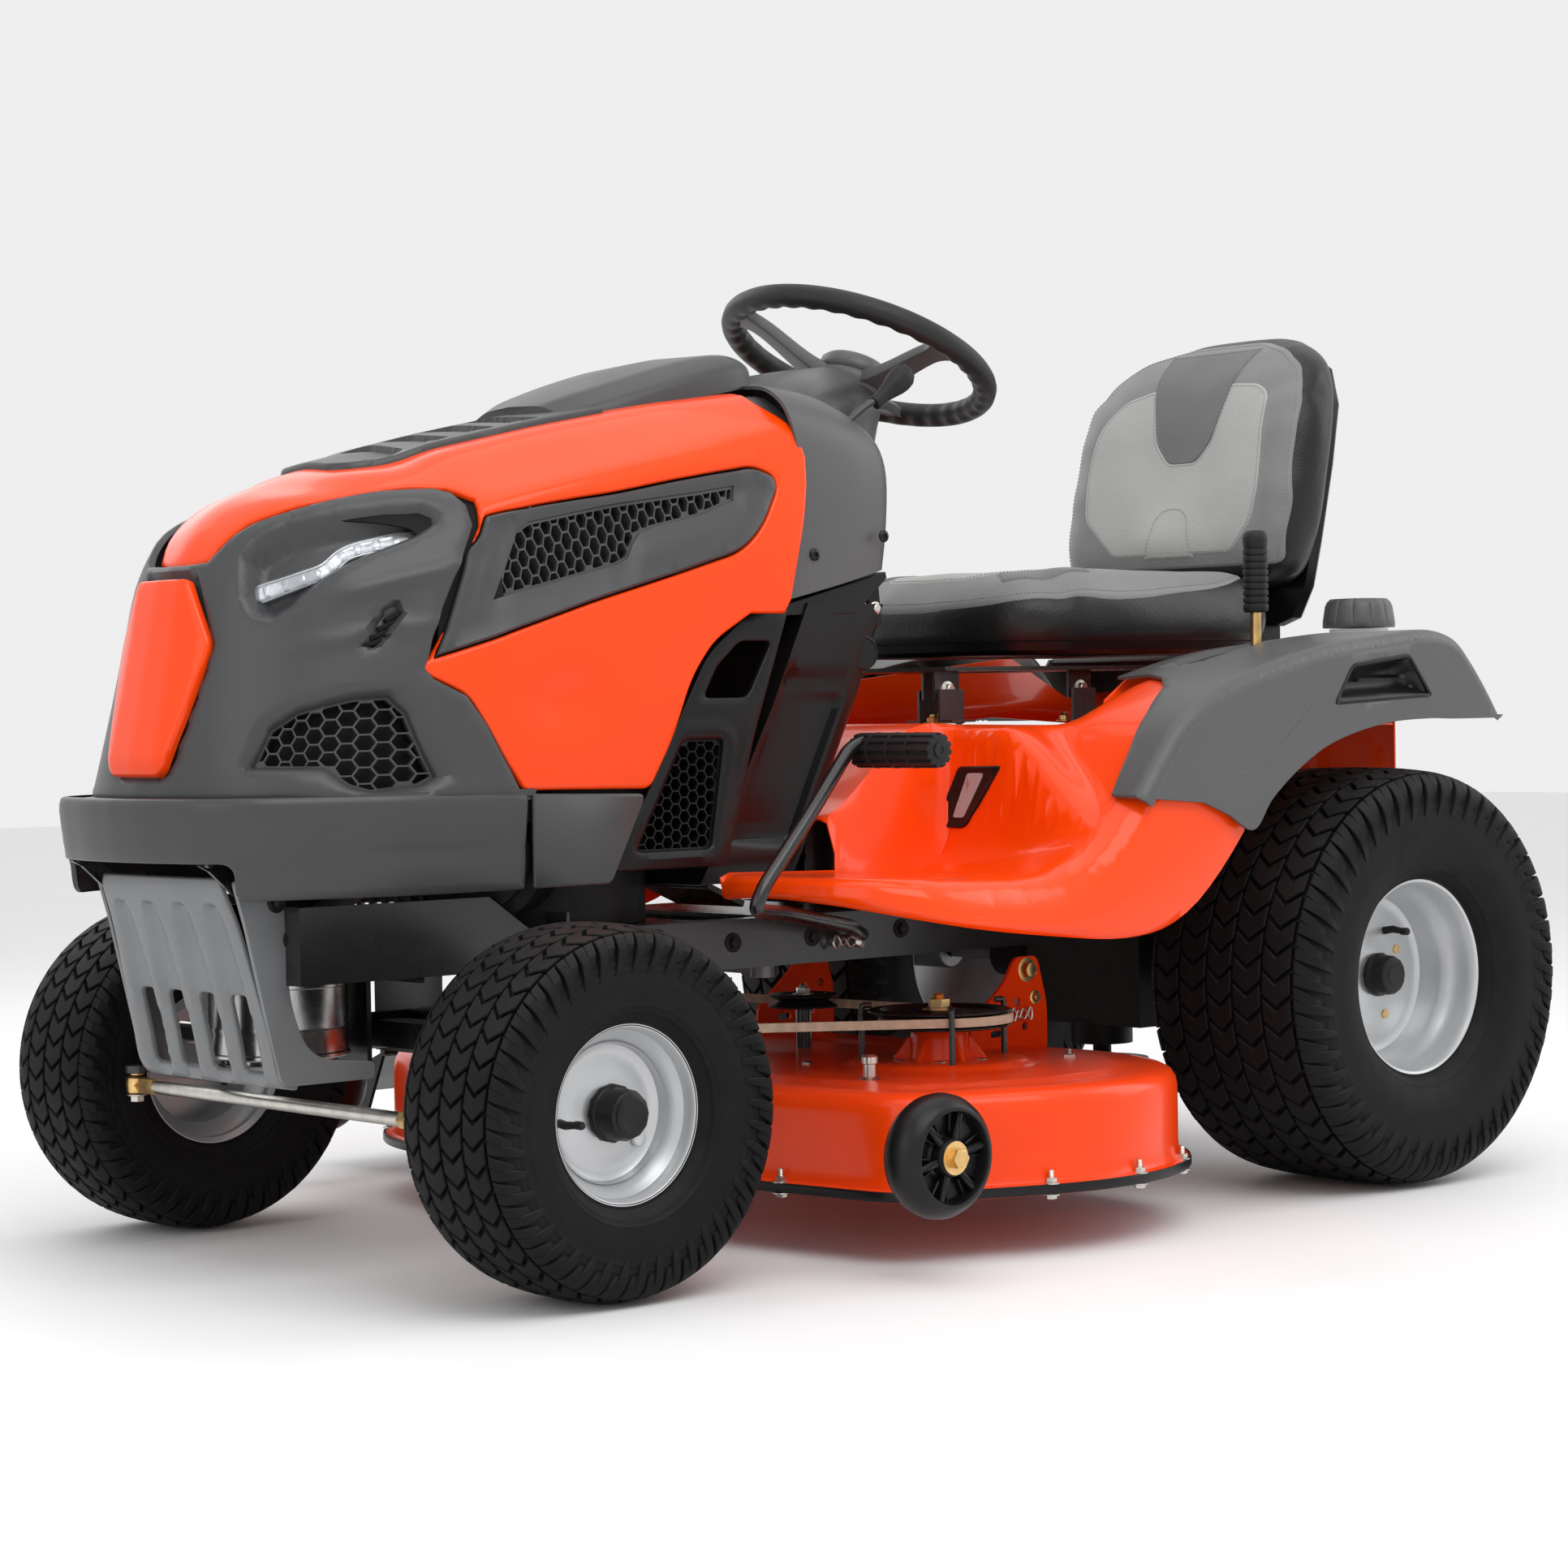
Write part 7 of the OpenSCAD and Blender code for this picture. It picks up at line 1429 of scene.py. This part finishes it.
# pressed top: raised rings round the spindles and a rib between them
top_o = even(deck_out(-25.5), 200)
def top3(P, d): return np.c_[P, 179.6 - d]
def top_rise(P):
    r1 = np.hypot(P[:, 0] - 600, P[:, 1] - 265); r2 = np.hypot(P[:, 0] - 660, P[:, 1] + 262); D = dist(P, [top_o])
    h = -6.5 * np.maximum(1 - blur(r1, 96, 112), 1 - blur(r2, 96, 112)) - 3.5 * blur(D, 26, 40) * 1.0
    h += 5.0 * np.exp(-((np.abs(P[:, 0] - 640) - 150) / 10) ** 2) * (np.abs(P[:, 1]) < 90)
    return h
v, f = panel(ccw(top_o), top3, 3.0, holes=[np.array(circ(600, 265, 31, 32)), np.array(circ(660, -262, 31, 32))], step=14, edge=((0, 0.1), (0.5, 0)), rise=top_rise, hole_edge=False,
             extra=[np.array(circ(600, 265, r, 60)) for r in (97, 104, 111)] + [np.array(circ(660, -262, r, 60)) for r in (97, 104, 111)]); mb.add(v, f, 0)
for (a, b) in (((522, -520), (522, -560)), ((798, -515), (798, -560))): pass
make("deck_shell_skin", "deck", mb, ["orange_deck"], smooth=35, repl=["deck_shell"])
# trim strip with its bolts
rg = [lev(g, z) for g, z in ((12.2, 67), (14.4, 67), (15.4, 68.5), (15.4, 75), (14.4, 77.8), (12.2, 77.8))]
V_ = np.vstack(rg); F_ = [(k * ND + j, k * ND + (j + 1) % ND, ((k + 1) % 6) * ND + (j + 1) % ND, ((k + 1) % 6) * ND + j) for k in range(6) for j in range(ND)]
mb = MB().add(V_, F_, 0)
L = deck_out(10)
for px_ in ((900, 320), (842, 470), (700, 550), (560, 560), (440, 495), (340, 380), (322, 180), (385, 0), (430, -350), (520, -500), (850, -430), (930, -260)):
    d_ = np.hypot(L[:, 0] - px_[0], L[:, 1] - px_[1]); p = L[np.argmin(d_)]
    c = np.array([630, 0]); u = (p - c) / np.linalg.norm(p - c); q = p - u * 3.0
    bolt(mb, (q[0], q[1], 77.6), "z", 11, 6, 1, stub=9)
    bolt(mb, (q[0], q[1], 66.6), "-z", 11, 5, 1)
make("deck_trim_skin", "deck", mb, ["black", "zinc"], smooth=35, repl=["deck_trim"])
# spindle housings: cast tubes with ribs and bolts on a flange
mb = MB()
for i, (x, y) in enumerate(((600, 265), (660, -262))):
    mb.add(*lathe([(26, 150), (33, 150), (33, 172), (62, 174), (64, 176), (64, 182), (60, 184), (40, 186), (35, 190), (33.5, 200), (33, 218), (31, 222.5), (26, 222.5)], 56, at=(x, y, 0)), i)
    for k in range(6):
        a = k * math.pi / 3 + 0.3; rb = side_prism([(33, 183), (58, 183), (36, 214), (33, 214)], -2.6, 2.6, 0.8); v = rb[0] @ rotm("Z", math.degrees(a)).T + [x, y, 0]; mb.add(v, rb[1], i)
        bolt(mb, (x + 54 * math.cos(a + 0.52), y + 54 * math.sin(a + 0.52), 183), "z", 11, 7, 2)
make("mandrel_housing_skin", "deck", mb, ["orange_deck", "orange_deck", "zinc"], smooth=35, repl=["mandrel_housings"])
# pulleys on the spindles, belts, keepers
def pulley(R, z0, z1, n=64, at=(0, 0, 0)):
    h = z1 - z0
    return lathe([(10, z0 + 2), (22, z0 + 2), (24, z0 + 5), (R - 20, z0 + 5), (R - 16, z0), (R - 2, z0), (R, z0 + 1), (R, z0 + 2.4), (R - 11, z0 + 7), (R - 12, z0 + h / 2), (R - 11, z1 - 7), (R, z1 - 2.4), (R, z1 - 1), (R - 2, z1), (R - 14, z1), (R - 18, z1 - 4), (30, z1 - 4), (26, z1 - 1.5), (10, z1 - 1.5)], n, at=at)
for nm, x, y, body in (("left", 600, 265, "mandrel_l"), ("right", 660, -262, "mandrel_r")):
    mb = MB(); mb.add(*pulley(82, 226, 246, 72, (x, y, 0)), 0)
    bolt(mb, (x, y, 245), "z", 22, 12, 1, stub=6, tm=1)
    mb.add(*lathe([(0, 112), (12.4, 112), (12.4, 248), (0, 248)], 32, at=(x, y, 0)), 2)
    make(nm + "_mandrel_skin", body, mb, ["black", "brass", "castiron"], smooth=35, repl=[nm + "_mandrel"])
recoat("left_blade", "castblack"); recoat("right_blade", "castblack")
recoat("deck_belt", "belt"); recoat("crank_pulley", "castblack")
mb = MB()
for (x, y) in ((600, 265), (660, -262)):
    for a in (55, -35, 170):
        c, s = math.cos(math.radians(a)), math.sin(math.radians(a)); mb.add(*tube(fillet([(x + 90 * c, y + 90 * s, 178), (x + 90 * c, y + 90 * s, 252), (x + 78 * c, y + 78 * s, 252)], 5), 3.6, 12), 0)
        bolt(mb, (x + 90 * c, y + 90 * s, 179), "z", 12, 7, 1)
# idler group beside the middle
mb.add(*pulley(42, 232, 248, 48, (572, 0, 0)), 2); bolt(mb, (572, 0, 247), "z", 15, 8, 1, stub=4); mb.add(*lathe([(0, 178), (9, 178), (9, 247), (0, 247)], 20, at=(572, 0, 0)), 0)
mb.add(*pulley(40, 214, 230, 48, (700, -70, 0)), 2); bolt(mb, (700, -70, 229), "z", 15, 8, 1, stub=4); mb.add(*lathe([(0, 178), (9, 178), (9, 229), (0, 229)], 20, at=(700, -70, 0)), 0)
arm = rnd([(556, -16), (590, -16), (716, -86), (716, -54), (590, 16), (556, 16)], 12); v, f = prism(arm, 206, 210, 0.8); mb.add(v, f, 0)
# wash port on the front left shoulder
mb.add(*lathe([(0, 172), (12, 172), (13, 174), (13, 182), (10, 184), (7, 186), (7, 200), (9, 201), (9, 208), (6.5, 210), (0, 210)], 32, at=(770, 330, 0)), 1)
bolt(mb, (455, 330, 178), "z", 13, 8, 1, stub=6); bolt(mb, (700, 150, 177), "z", 13, 8, 1)
make("deck_fittings", "deck", mb, ["steel_black", "zinc", "castblack"], smooth=35)

# ------------------------------------------------------------------ hangers: side plates, links, pins
mb = MB()
for sg in (1, -1):
    pl = rnd([(480, 178), (350, 178), (350, 232), (366, 290), (404, 290), (420, 262), (480, 214)], [4, 6, 14, 10, 10, 20, 10])
    hs = [np.array(circ(385, 274, 5.5, 20)), np.array(circ(372, 240, 5, 20)), np.array(circ(400, 236, 5, 20)), np.array(circ(388, 206, 5, 20)), rnd([(424, 196), (446, 196), (446, 204), (424, 204)], 3)]
    v, f = prism(pl, 190, 194, 0.8, holes=hs); v = np.c_[v[:, 0], sg * v[:, 2], v[:, 1]]; mb.add(v, f, 0)
    mb.add(*rbox((352, min(sg * 166, sg * 190), 178.5), (478, max(sg * 166, sg * 190), 182.5), 0.8), 0)
    bolt(mb, (385, sg * 194, 274), (0, sg, 0), 17, 9, 1)
    bolt(mb, (372, sg * 194, 240), (0, sg, 0), 10, 6, 1)
    # hairpin clip
    c = np.array([392, sg * 202, 222]); t_ = np.linspace(0, 1, 40)
    w = np.array([(0, 0), (10, 4), (20, -3), (29, 5), (34, 0), (29, -5), (20, 3), (10, -4), (0, 0.5), (-6, 5), (-9, 0), (-6, -5), (0, 0)], float)
    q = catmull(w, 60); mb.add(*tube([(c[0] + a_ * 0.8, c[1], c[2] + b_ * 1.6) for a_, b_ in q], 1.3, 8), 2)
for y in (82, -82):
    v, f = prism(rnd([(860, 178), (905, 178), (905, 214), (893, 226), (872, 226), (860, 214)], 5), y - 2, y + 2, 0.7, holes=[np.array(circ(882, 206, 6.5, 24))]); mb.add(np.c_[v[:, 0], v[:, 2], v[:, 1]], f, 0)
make("deck_hanger_skin", "deck", mb, ["orange_deck", "brass", "zinc"], smooth=35, repl=["deck_hangers"])

# ------------------------------------------------------------------ gauge wheels
for nm, sg, body in (("left", 1, "gauge_l"), ("right", -1, "gauge_r")):
    mb = MB()
    pr = [(12.5, -33), (24, -33), (36, -31.5), (48, -26), (57, -18), (63, -8), (65.4, 2), (64.4, 12), (60, 21), (54, 27.5), (51, 29.5), (48.5, 29.5), (47.4, 28), (46.6, 20), (44, 14), (24, 12), (21, 14), (20.4, 25), (19, 27), (12.5, 27)]
    mb.add(*lathe(pr, 80), 0)
    for k in range(6):
        a = k * 60 + 12; rb = prism(rnd([(19, -4.2), (47.6, -3.4), (47.6, 3.4), (19, 4.2)], 0.5, 2), 11, 24.5, 1.4); mb.add(rb[0] @ rotm("Z", a).T, rb[1], 0)
        for s2 in (-1, 1):
            rb = prism(rnd([(26, s2 * 6 - 1.2), (46, s2 * 12 - 1.2), (46, s2 * 12 + 1.2), (26, s2 * 6 + 1.2)], 0.3, 2), 11, 19, 0.6); mb.add(rb[0] @ rotm("Z", a).T, rb[1], 0)
    mb.add(*lathe([(12.5, 26), (17, 26), (18, 27.4), (17, 28.6), (12.5, 28.6)], 32), 0)
    def pl_(v, f):
        q = np.c_[v[:, 0], v[:, 2], -v[:, 1]]
        if sg < 0: q = q * [1, -1, 1]
        return q + [892, sg * 560, 130], f
    out = MB(); 
    for v, f, m in parts_of(mb): out.add(*pl_(v, f), m)
    bq = MB(); bq.add(*lathe([(0, 20), (17.5, 27.8), (17.5, 29.4), (0, 29.4)], 32), 1); bolt(bq, (0, 0, 29.2), "z", 19, 9, 1, washer=False)
    for v, f, m in parts_of(bq): out.add(*pl_(v, f), 1)
    make("gauge_wheel_%s_skin" % nm, body, out, ["black", "brass"], smooth=38, repl=["gauge_wheel_" + nm])
recoat("chute_deflector", "black")

# ------------------------------------------------------------------ brush guard: one pressed plate with windows
GP = catmull([(1469, 430), (1468, 418), (1455, 380), (1440, 322), (1426, 262), (1418, 226), (1408, 213), (1392, 209)], 200)
GL = np.r_[0, np.cumsum(np.linalg.norm(np.diff(GP, axis=0), axis=1))]
def g3(P, d):
    s = P[:, 1]; x = np.interp(s, GL, GP[:, 0]); z = np.interp(s, GL, GP[:, 1]); s2 = s + 1
    tx, tz = np.interp(s + 1, GL, GP[:, 0]) - np.interp(s - 1, GL, GP[:, 0]), np.interp(s + 1, GL, GP[:, 1]) - np.interp(s - 1, GL, GP[:, 1])
    l = np.hypot(tx, tz) + 1e-9; nx, nz = -tz / l, tx / l
    bow = 4 * (P[:, 0] / 130) ** 2
    return np.c_[x + nx * -d - bow, P[:, 0], z + nz * -d]
def s_z(z): return float(np.interp(-z, -GP[:, 1], GL))
def w_z(z): return np.interp(z, [209, 260, 380, 424, 430], [132, 132, 121, 116, 112])
zz = [430, 420, 400, 380, 340, 300, 260, 230, 214, 209]
go = np.array([(w_z(z), s_z(z)) for z in zz] + [(-w_z(z), s_z(z)) for z in zz[::-1]])
win = []
for yc in (-88, -30, 30, 88):
    win.append(rnd([(yc - 17, s_z(306)), (yc + 17, s_z(306)), (yc + 18, s_z(222)), (yc - 18, s_z(222))], [12, 12, 6, 6], 5))
win = [ccw(w) for w in win]
def g_rise(P):
    h = np.zeros(len(P))
    for yc in (-88, -30, 30, 88):
        L = rnd([(yc - 13, s_z(404)), (yc + 13, s_z(404)), (yc + 24, s_z(300)), (yc + 25, s_z(216)), (yc - 25, s_z(216)), (yc - 24, s_z(300))], 9)
        ins = inpoly(P, L); h += np.where(ins, 5.5 * blur(dist(P, [L]), 0, 7), 0)
    return h
exg = []
for yc in (-88, -30, 30, 88):
    L = rnd([(yc - 13, s_z(404)), (yc + 13, s_z(404)), (yc + 24, s_z(300)), (yc + 25, s_z(216)), (yc - 25, s_z(216)), (yc - 24, s_z(300))], 9)
    exg += [offset(ccw(L), k) for k in (0.3, 3, 6.5)]
v, f = panel(ccw(go), g3, 4.0, holes=win, step=9, edge=((0, 2.0), (0.8, 0.7), (2.2, 0)), rise=g_rise, extra=exg)
mb = MB().add(v, f, 0)
for sg in (1, -1):
    sp = rnd([(1401, 428), (1462, 428), (1448, 380), (1420, 262), (1408, 214), (1292, 214), (1292, 232), (1372, 240), (1396, 300)], [6, 6, 10, 10, 12, 6, 6, 30, 30])
    v, f = side_prism(sp, 129.5, 134.5, 1.2); mb.add(v * [1, sg, 1], f, 0)
    bolt(mb, (1392, sg * 134, 365), (0, sg, 0), 13, 7, 1); bolt(mb, (1410, sg * 134, 404), (0, sg, 0), 13, 7, 1)
make("front_guard_skin", "chassis", mb, ["guard", "black"], smooth=35, repl=["front_guard"])
# silencer: rolled drum and its square outlet
mb = MB()
mb.add(*lathe([(0, 226), (58, 226), (62, 228), (62, 233), (72, 234), (75, 236), (75, 239), (73.6, 240.5), (73.4, 262), (74.2, 264), (74.2, 267), (73.4, 269), (73.4, 308), (75, 309.5), (75, 313), (72, 316), (64, 317), (58, 313), (0, 312)], 80, at=(1335, 20, 0)), 0)
mb.add(*rbox((1352, -108, 245), (1380, -30, 267), 2.0, 3), 0)
mb.add(*rbox((1380, -104, 249), (1383, -70, 263), 0.8), 1)
mb.add(*tube(fillet([(1290, 20, 312), (1290, 20, 372), (1215, 30, 424)], 26), 13.5, 24), 2)
make("muffler_skin", "chassis", mb, ["muffler", "blackmatte", "castiron"], smooth=35, repl=["muffler"])
# ------------------------------------------------------------------ tie rod ends, ball joints, spindles
recoat("axle_beam", "steel_black"); recoat("left_spindle", "steel_black"); recoat("right_spindle", "steel_black")
mb = MB()
mb.add(*tube([(1330, -258, 182), (1330, 258, 182)], 7.6, 20), 0)
for sg in (1, -1):
    mb.add(*lathe([(0, 171), (8, 171), (12, 174), (12.6, 182), (12, 190), (8, 193.5), (8, 195), (0, 195)], 32, at=(1330, sg * 278, 0)), 1)
    mb.add(*tube([(1330, sg * 270, 182), (1330, sg * 236, 182)], 9.5, 6), 1)
    bolt(mb, (1330, sg * 278, 171.5), "-z", 14, 8, 0)
make("tie_rod_skin", "tie", mb, ["zinc", "brass"], smooth=35, repl=["tie_rod"])
recoat("drag_link", "zinc"); recoat("steering_sector", "castiron")
for n_, m_ in (("engine_block", "castblack"), ("engine_shroud", "black"), ("battery", "black"), ("transaxle", "castblack"), ("frame_rails", "steel_black"), ("hitch_plate", "steel_black")): recoat(n_, m_)
# frame hardware: bolts and the hairpin on the lift shaft
mb = MB()
for x, z in ((1100, 346), (1010, 330), (930, 340), (820, 330), (700, 330), (560, 332), (420, 330), (300, 330)):
    for sg in (1, -1): bolt(mb, (x, sg * 161, z), (0, sg, 0), 13, 7, 0)
for sg in (1, -1):
    q = catmull([(0, 0), (10, 4), (20, -3), (29, 5), (34, 0), (29, -5), (20, 3), (10, -4), (0, 0.5), (-6, 5), (-9, 0), (-6, -5), (0, 0)], 60)
    mb.add(*tube([(640 + a_ * 1.1, sg * 172, 322 + b_ * 1.6) for a_, b_ in q], 1.5, 8), 1)
    mb.add(*lathe([(0, 0), (7, 0), (7, 16), (5.5, 17), (0, 17)], 20, axis="y" if sg > 0 else "-y", at=(640, sg * 161, 322)), 1)
make("frame_hardware", "chassis", mb, ["castblack", "zinc"], smooth=35)
# ------------------------------------------------------------------ liners and closing pieces
mb = MB()
for sg in (1, -1):
    fn = (lambda P, d: hood3(P, d)) if sg == 1 else (lambda P, d: hood3(P, d) * [1, -1, 1])
    L = np.array([(1172, 0.315 * KS), (1236, 0.245 * KS), (1330, 0.19 * KS), (1392, 0.13 * KS), (1404, 0.20 * KS), (1330, 0.27 * KS), (1262, 0.36 * KS), (1252, 0.52 * KS), (1262, 0.62 * KS), (1196, 0.66 * KS), (1180, 0.55 * KS)])
    v, f = panel(ccw(rnd(L, 8, 3)), lambda P, d, q=fn: q(P, d + 7.5), 1.5, step=12, edge=()); mb.add(v, f, 0)
    L = np.array([(1290, 0.60 * KS), (1236, 0.60 * KS), (1166, 0.72 * KS), (1140, 0.93 * KS), (1190, 0.93 * KS), (1262, 0.74 * KS)])
    v, f = panel(ccw(rnd(L, 8, 3)), lambda P, d, q=fn: q(P, d + 7.5), 1.5, step=12, edge=()); mb.add(v, f, 0)
make("hood_liner", "hood", mb, ["blackmatte"], smooth=40)
# moulded fairing from the column to the cowl
c0 = rc - ax * 52; c1 = np.array([690.0, 0, 916.0]); R = []
for t in np.linspace(0, 1, 26):
    e = t * t * (3 - 2 * t); c = c0 * (1 - t) + c1 * t + np.array([0, 0, 8 * math.sin(math.pi * t)]); d_ = c1 - c0; d_ /= np.linalg.norm(d_); nn = np.array([-d_[2], 0, d_[0]]); wy = 40 + (138 - 40) * e; wn = 38 + (52 - 38) * e
    w_ = nn * (1 - 0) ; ring_ = []
    for j in range(64):
        a = 2 * math.pi * j / 64; p = 2.0 / (2.0 + 1.6 * e); cy, cz = math.copysign(abs(math.cos(a)) ** p, math.cos(a)), math.copysign(abs(math.sin(a)) ** p, math.sin(a))
        ring_.append(c + np.array([0, 1, 0]) * wy * cy + nn * wn * cz)
    R.append(np.array(ring_))
make("column_fairing", "chassis", loft(R), "cover", smooth=40)
mb = MB()
mb.add(*side_prism([(618, 748), (776, 709), (792, 702), (792, 696), (664, 700), (616, 741)], -207, 207, 1.0), 0)
for y in (-70, 0, 70): mb.add(*side_prism([(664, 690), (760, 690), (760, 700), (664, 700)], y - 14, y + 14, 1.5), 0)
make("cowl_floor", "chassis", mb, ["black"], smooth=35)
# rear panel: pressed fields and a rolled foot
def rear3(P, d): return np.c_[np.full(len(P), -256.5) + d, P[:, 0], P[:, 1]]
ro = rnd([(-246, 430), (246, 430), (246, 564), (-246, 564)], [26, 26, 3, 3])
f1 = [rnd([(a, 452), (b, 452), (b, 540), (a, 540)], 14) for a, b in ((-220, -100), (-80, 80), (100, 220))]
def rear_rise(P):
    h = np.zeros(len(P))
    for L in f1: h += np.where(inpoly(P, L), 5 * blur(dist(P, [L]), 0, 7), 0)
    return h
exr = [offset(ccw(L), k) for L in f1 for k in (0.3, 3, 6.5)]
v, f = panel(ccw(ro), rear3, 2.5, step=14, edge=((0, 1.6), (0.8, 0.4), (2, 0)), rise=rear_rise, extra=exr)
mb = MB().add(v, f, 0)
for y in (-228, 228): bolt(mb, (-256, y, 548), "-x", 12, 7, 1)
make("rear_panel", "chassis", mb, ["orange", "zinc"], smooth=38)

# flange of the cowl that the hood's rear edge lies over
fl_ = rnd([(750, -0.37 * KS), (812, -0.40 * KS), (812, 0.40 * KS), (750, 0.37 * KS)], 6)
make("cowl_flange", "chassis", panel(ccw(fl_), lambda P, d: hood3(P, d + 6.5), 2.5, step=11, edge=((0, 1.0), (0.8, 0))), "cover", smooth=40)
# ------------------------------------------------------------------ studio
def studio():
    w = bpy.data.worlds.new("studio"); bpy.context.scene.world = w; w.use_nodes = True
    bg = w.node_tree.nodes["Background"]; bg.inputs[0].default_value = (1, 1, 1, 1); bg.inputs[1].default_value = 0.86
    n = 24; v, f = [], []
    me = bpy.data.meshes.new("floor"); s = 14.0
    bm = bmesh.new()
    for i in range(n + 1):
        for j in range(n + 1): bm.verts.new((-s + 2 * s * i / n, -s + 2 * s * j / n, -0.0005))
    bm.verts.ensure_lookup_table()
    for i in range(n):
        for j in range(n): bm.faces.new([bm.verts[i * (n + 1) + j], bm.verts[(i + 1) * (n + 1) + j], bm.verts[(i + 1) * (n + 1) + j + 1], bm.verts[i * (n + 1) + j + 1]])
    bm.to_mesh(me); bm.free()
    fl = bpy.data.objects.new("floor", me); COL.objects.link(fl)
    m = mat("studio_floor", (0.86, 0.86, 0.865), 0.6, vary=0.01, vscale=2); me.materials.append(m)
    def area(name, loc, to, size, power, col=(1, 1, 1)):
        d = bpy.data.lights.new(name, "AREA"); d.shape = "RECTANGLE"; d.size, d.size_y = size; d.energy = power; d.color = col
        o = bpy.data.objects.new(name, d); COL.objects.link(o); o.location = loc
        o.rotation_euler = (Vector(to) - Vector(loc)).to_track_quat("-Z", "Y").to_euler()
    area("key", (1.2, 2.6, 3.4), (0.6, 0, 0.5), (3.2, 2.2), 62)
    area("front", (4.6, 0.6, 1.9), (0.9, 0, 0.5), (2.2, 2.4), 16)
    area("rear", (-2.6, 1.6, 2.2), (0.2, 0, 0.6), (2.0, 2.4), 22)
    area("far", (0.8, -3.2, 2.6), (0.6, 0, 0.5), (3.0, 2.0), 18)
    area("top", (0.6, 0, 4.2), (0.6, 0, 0), (3.5, 2.5), 26)
studio()
try:
    bpy.context.scene.view_settings.view_transform = "Standard"
except TypeError:
    pass
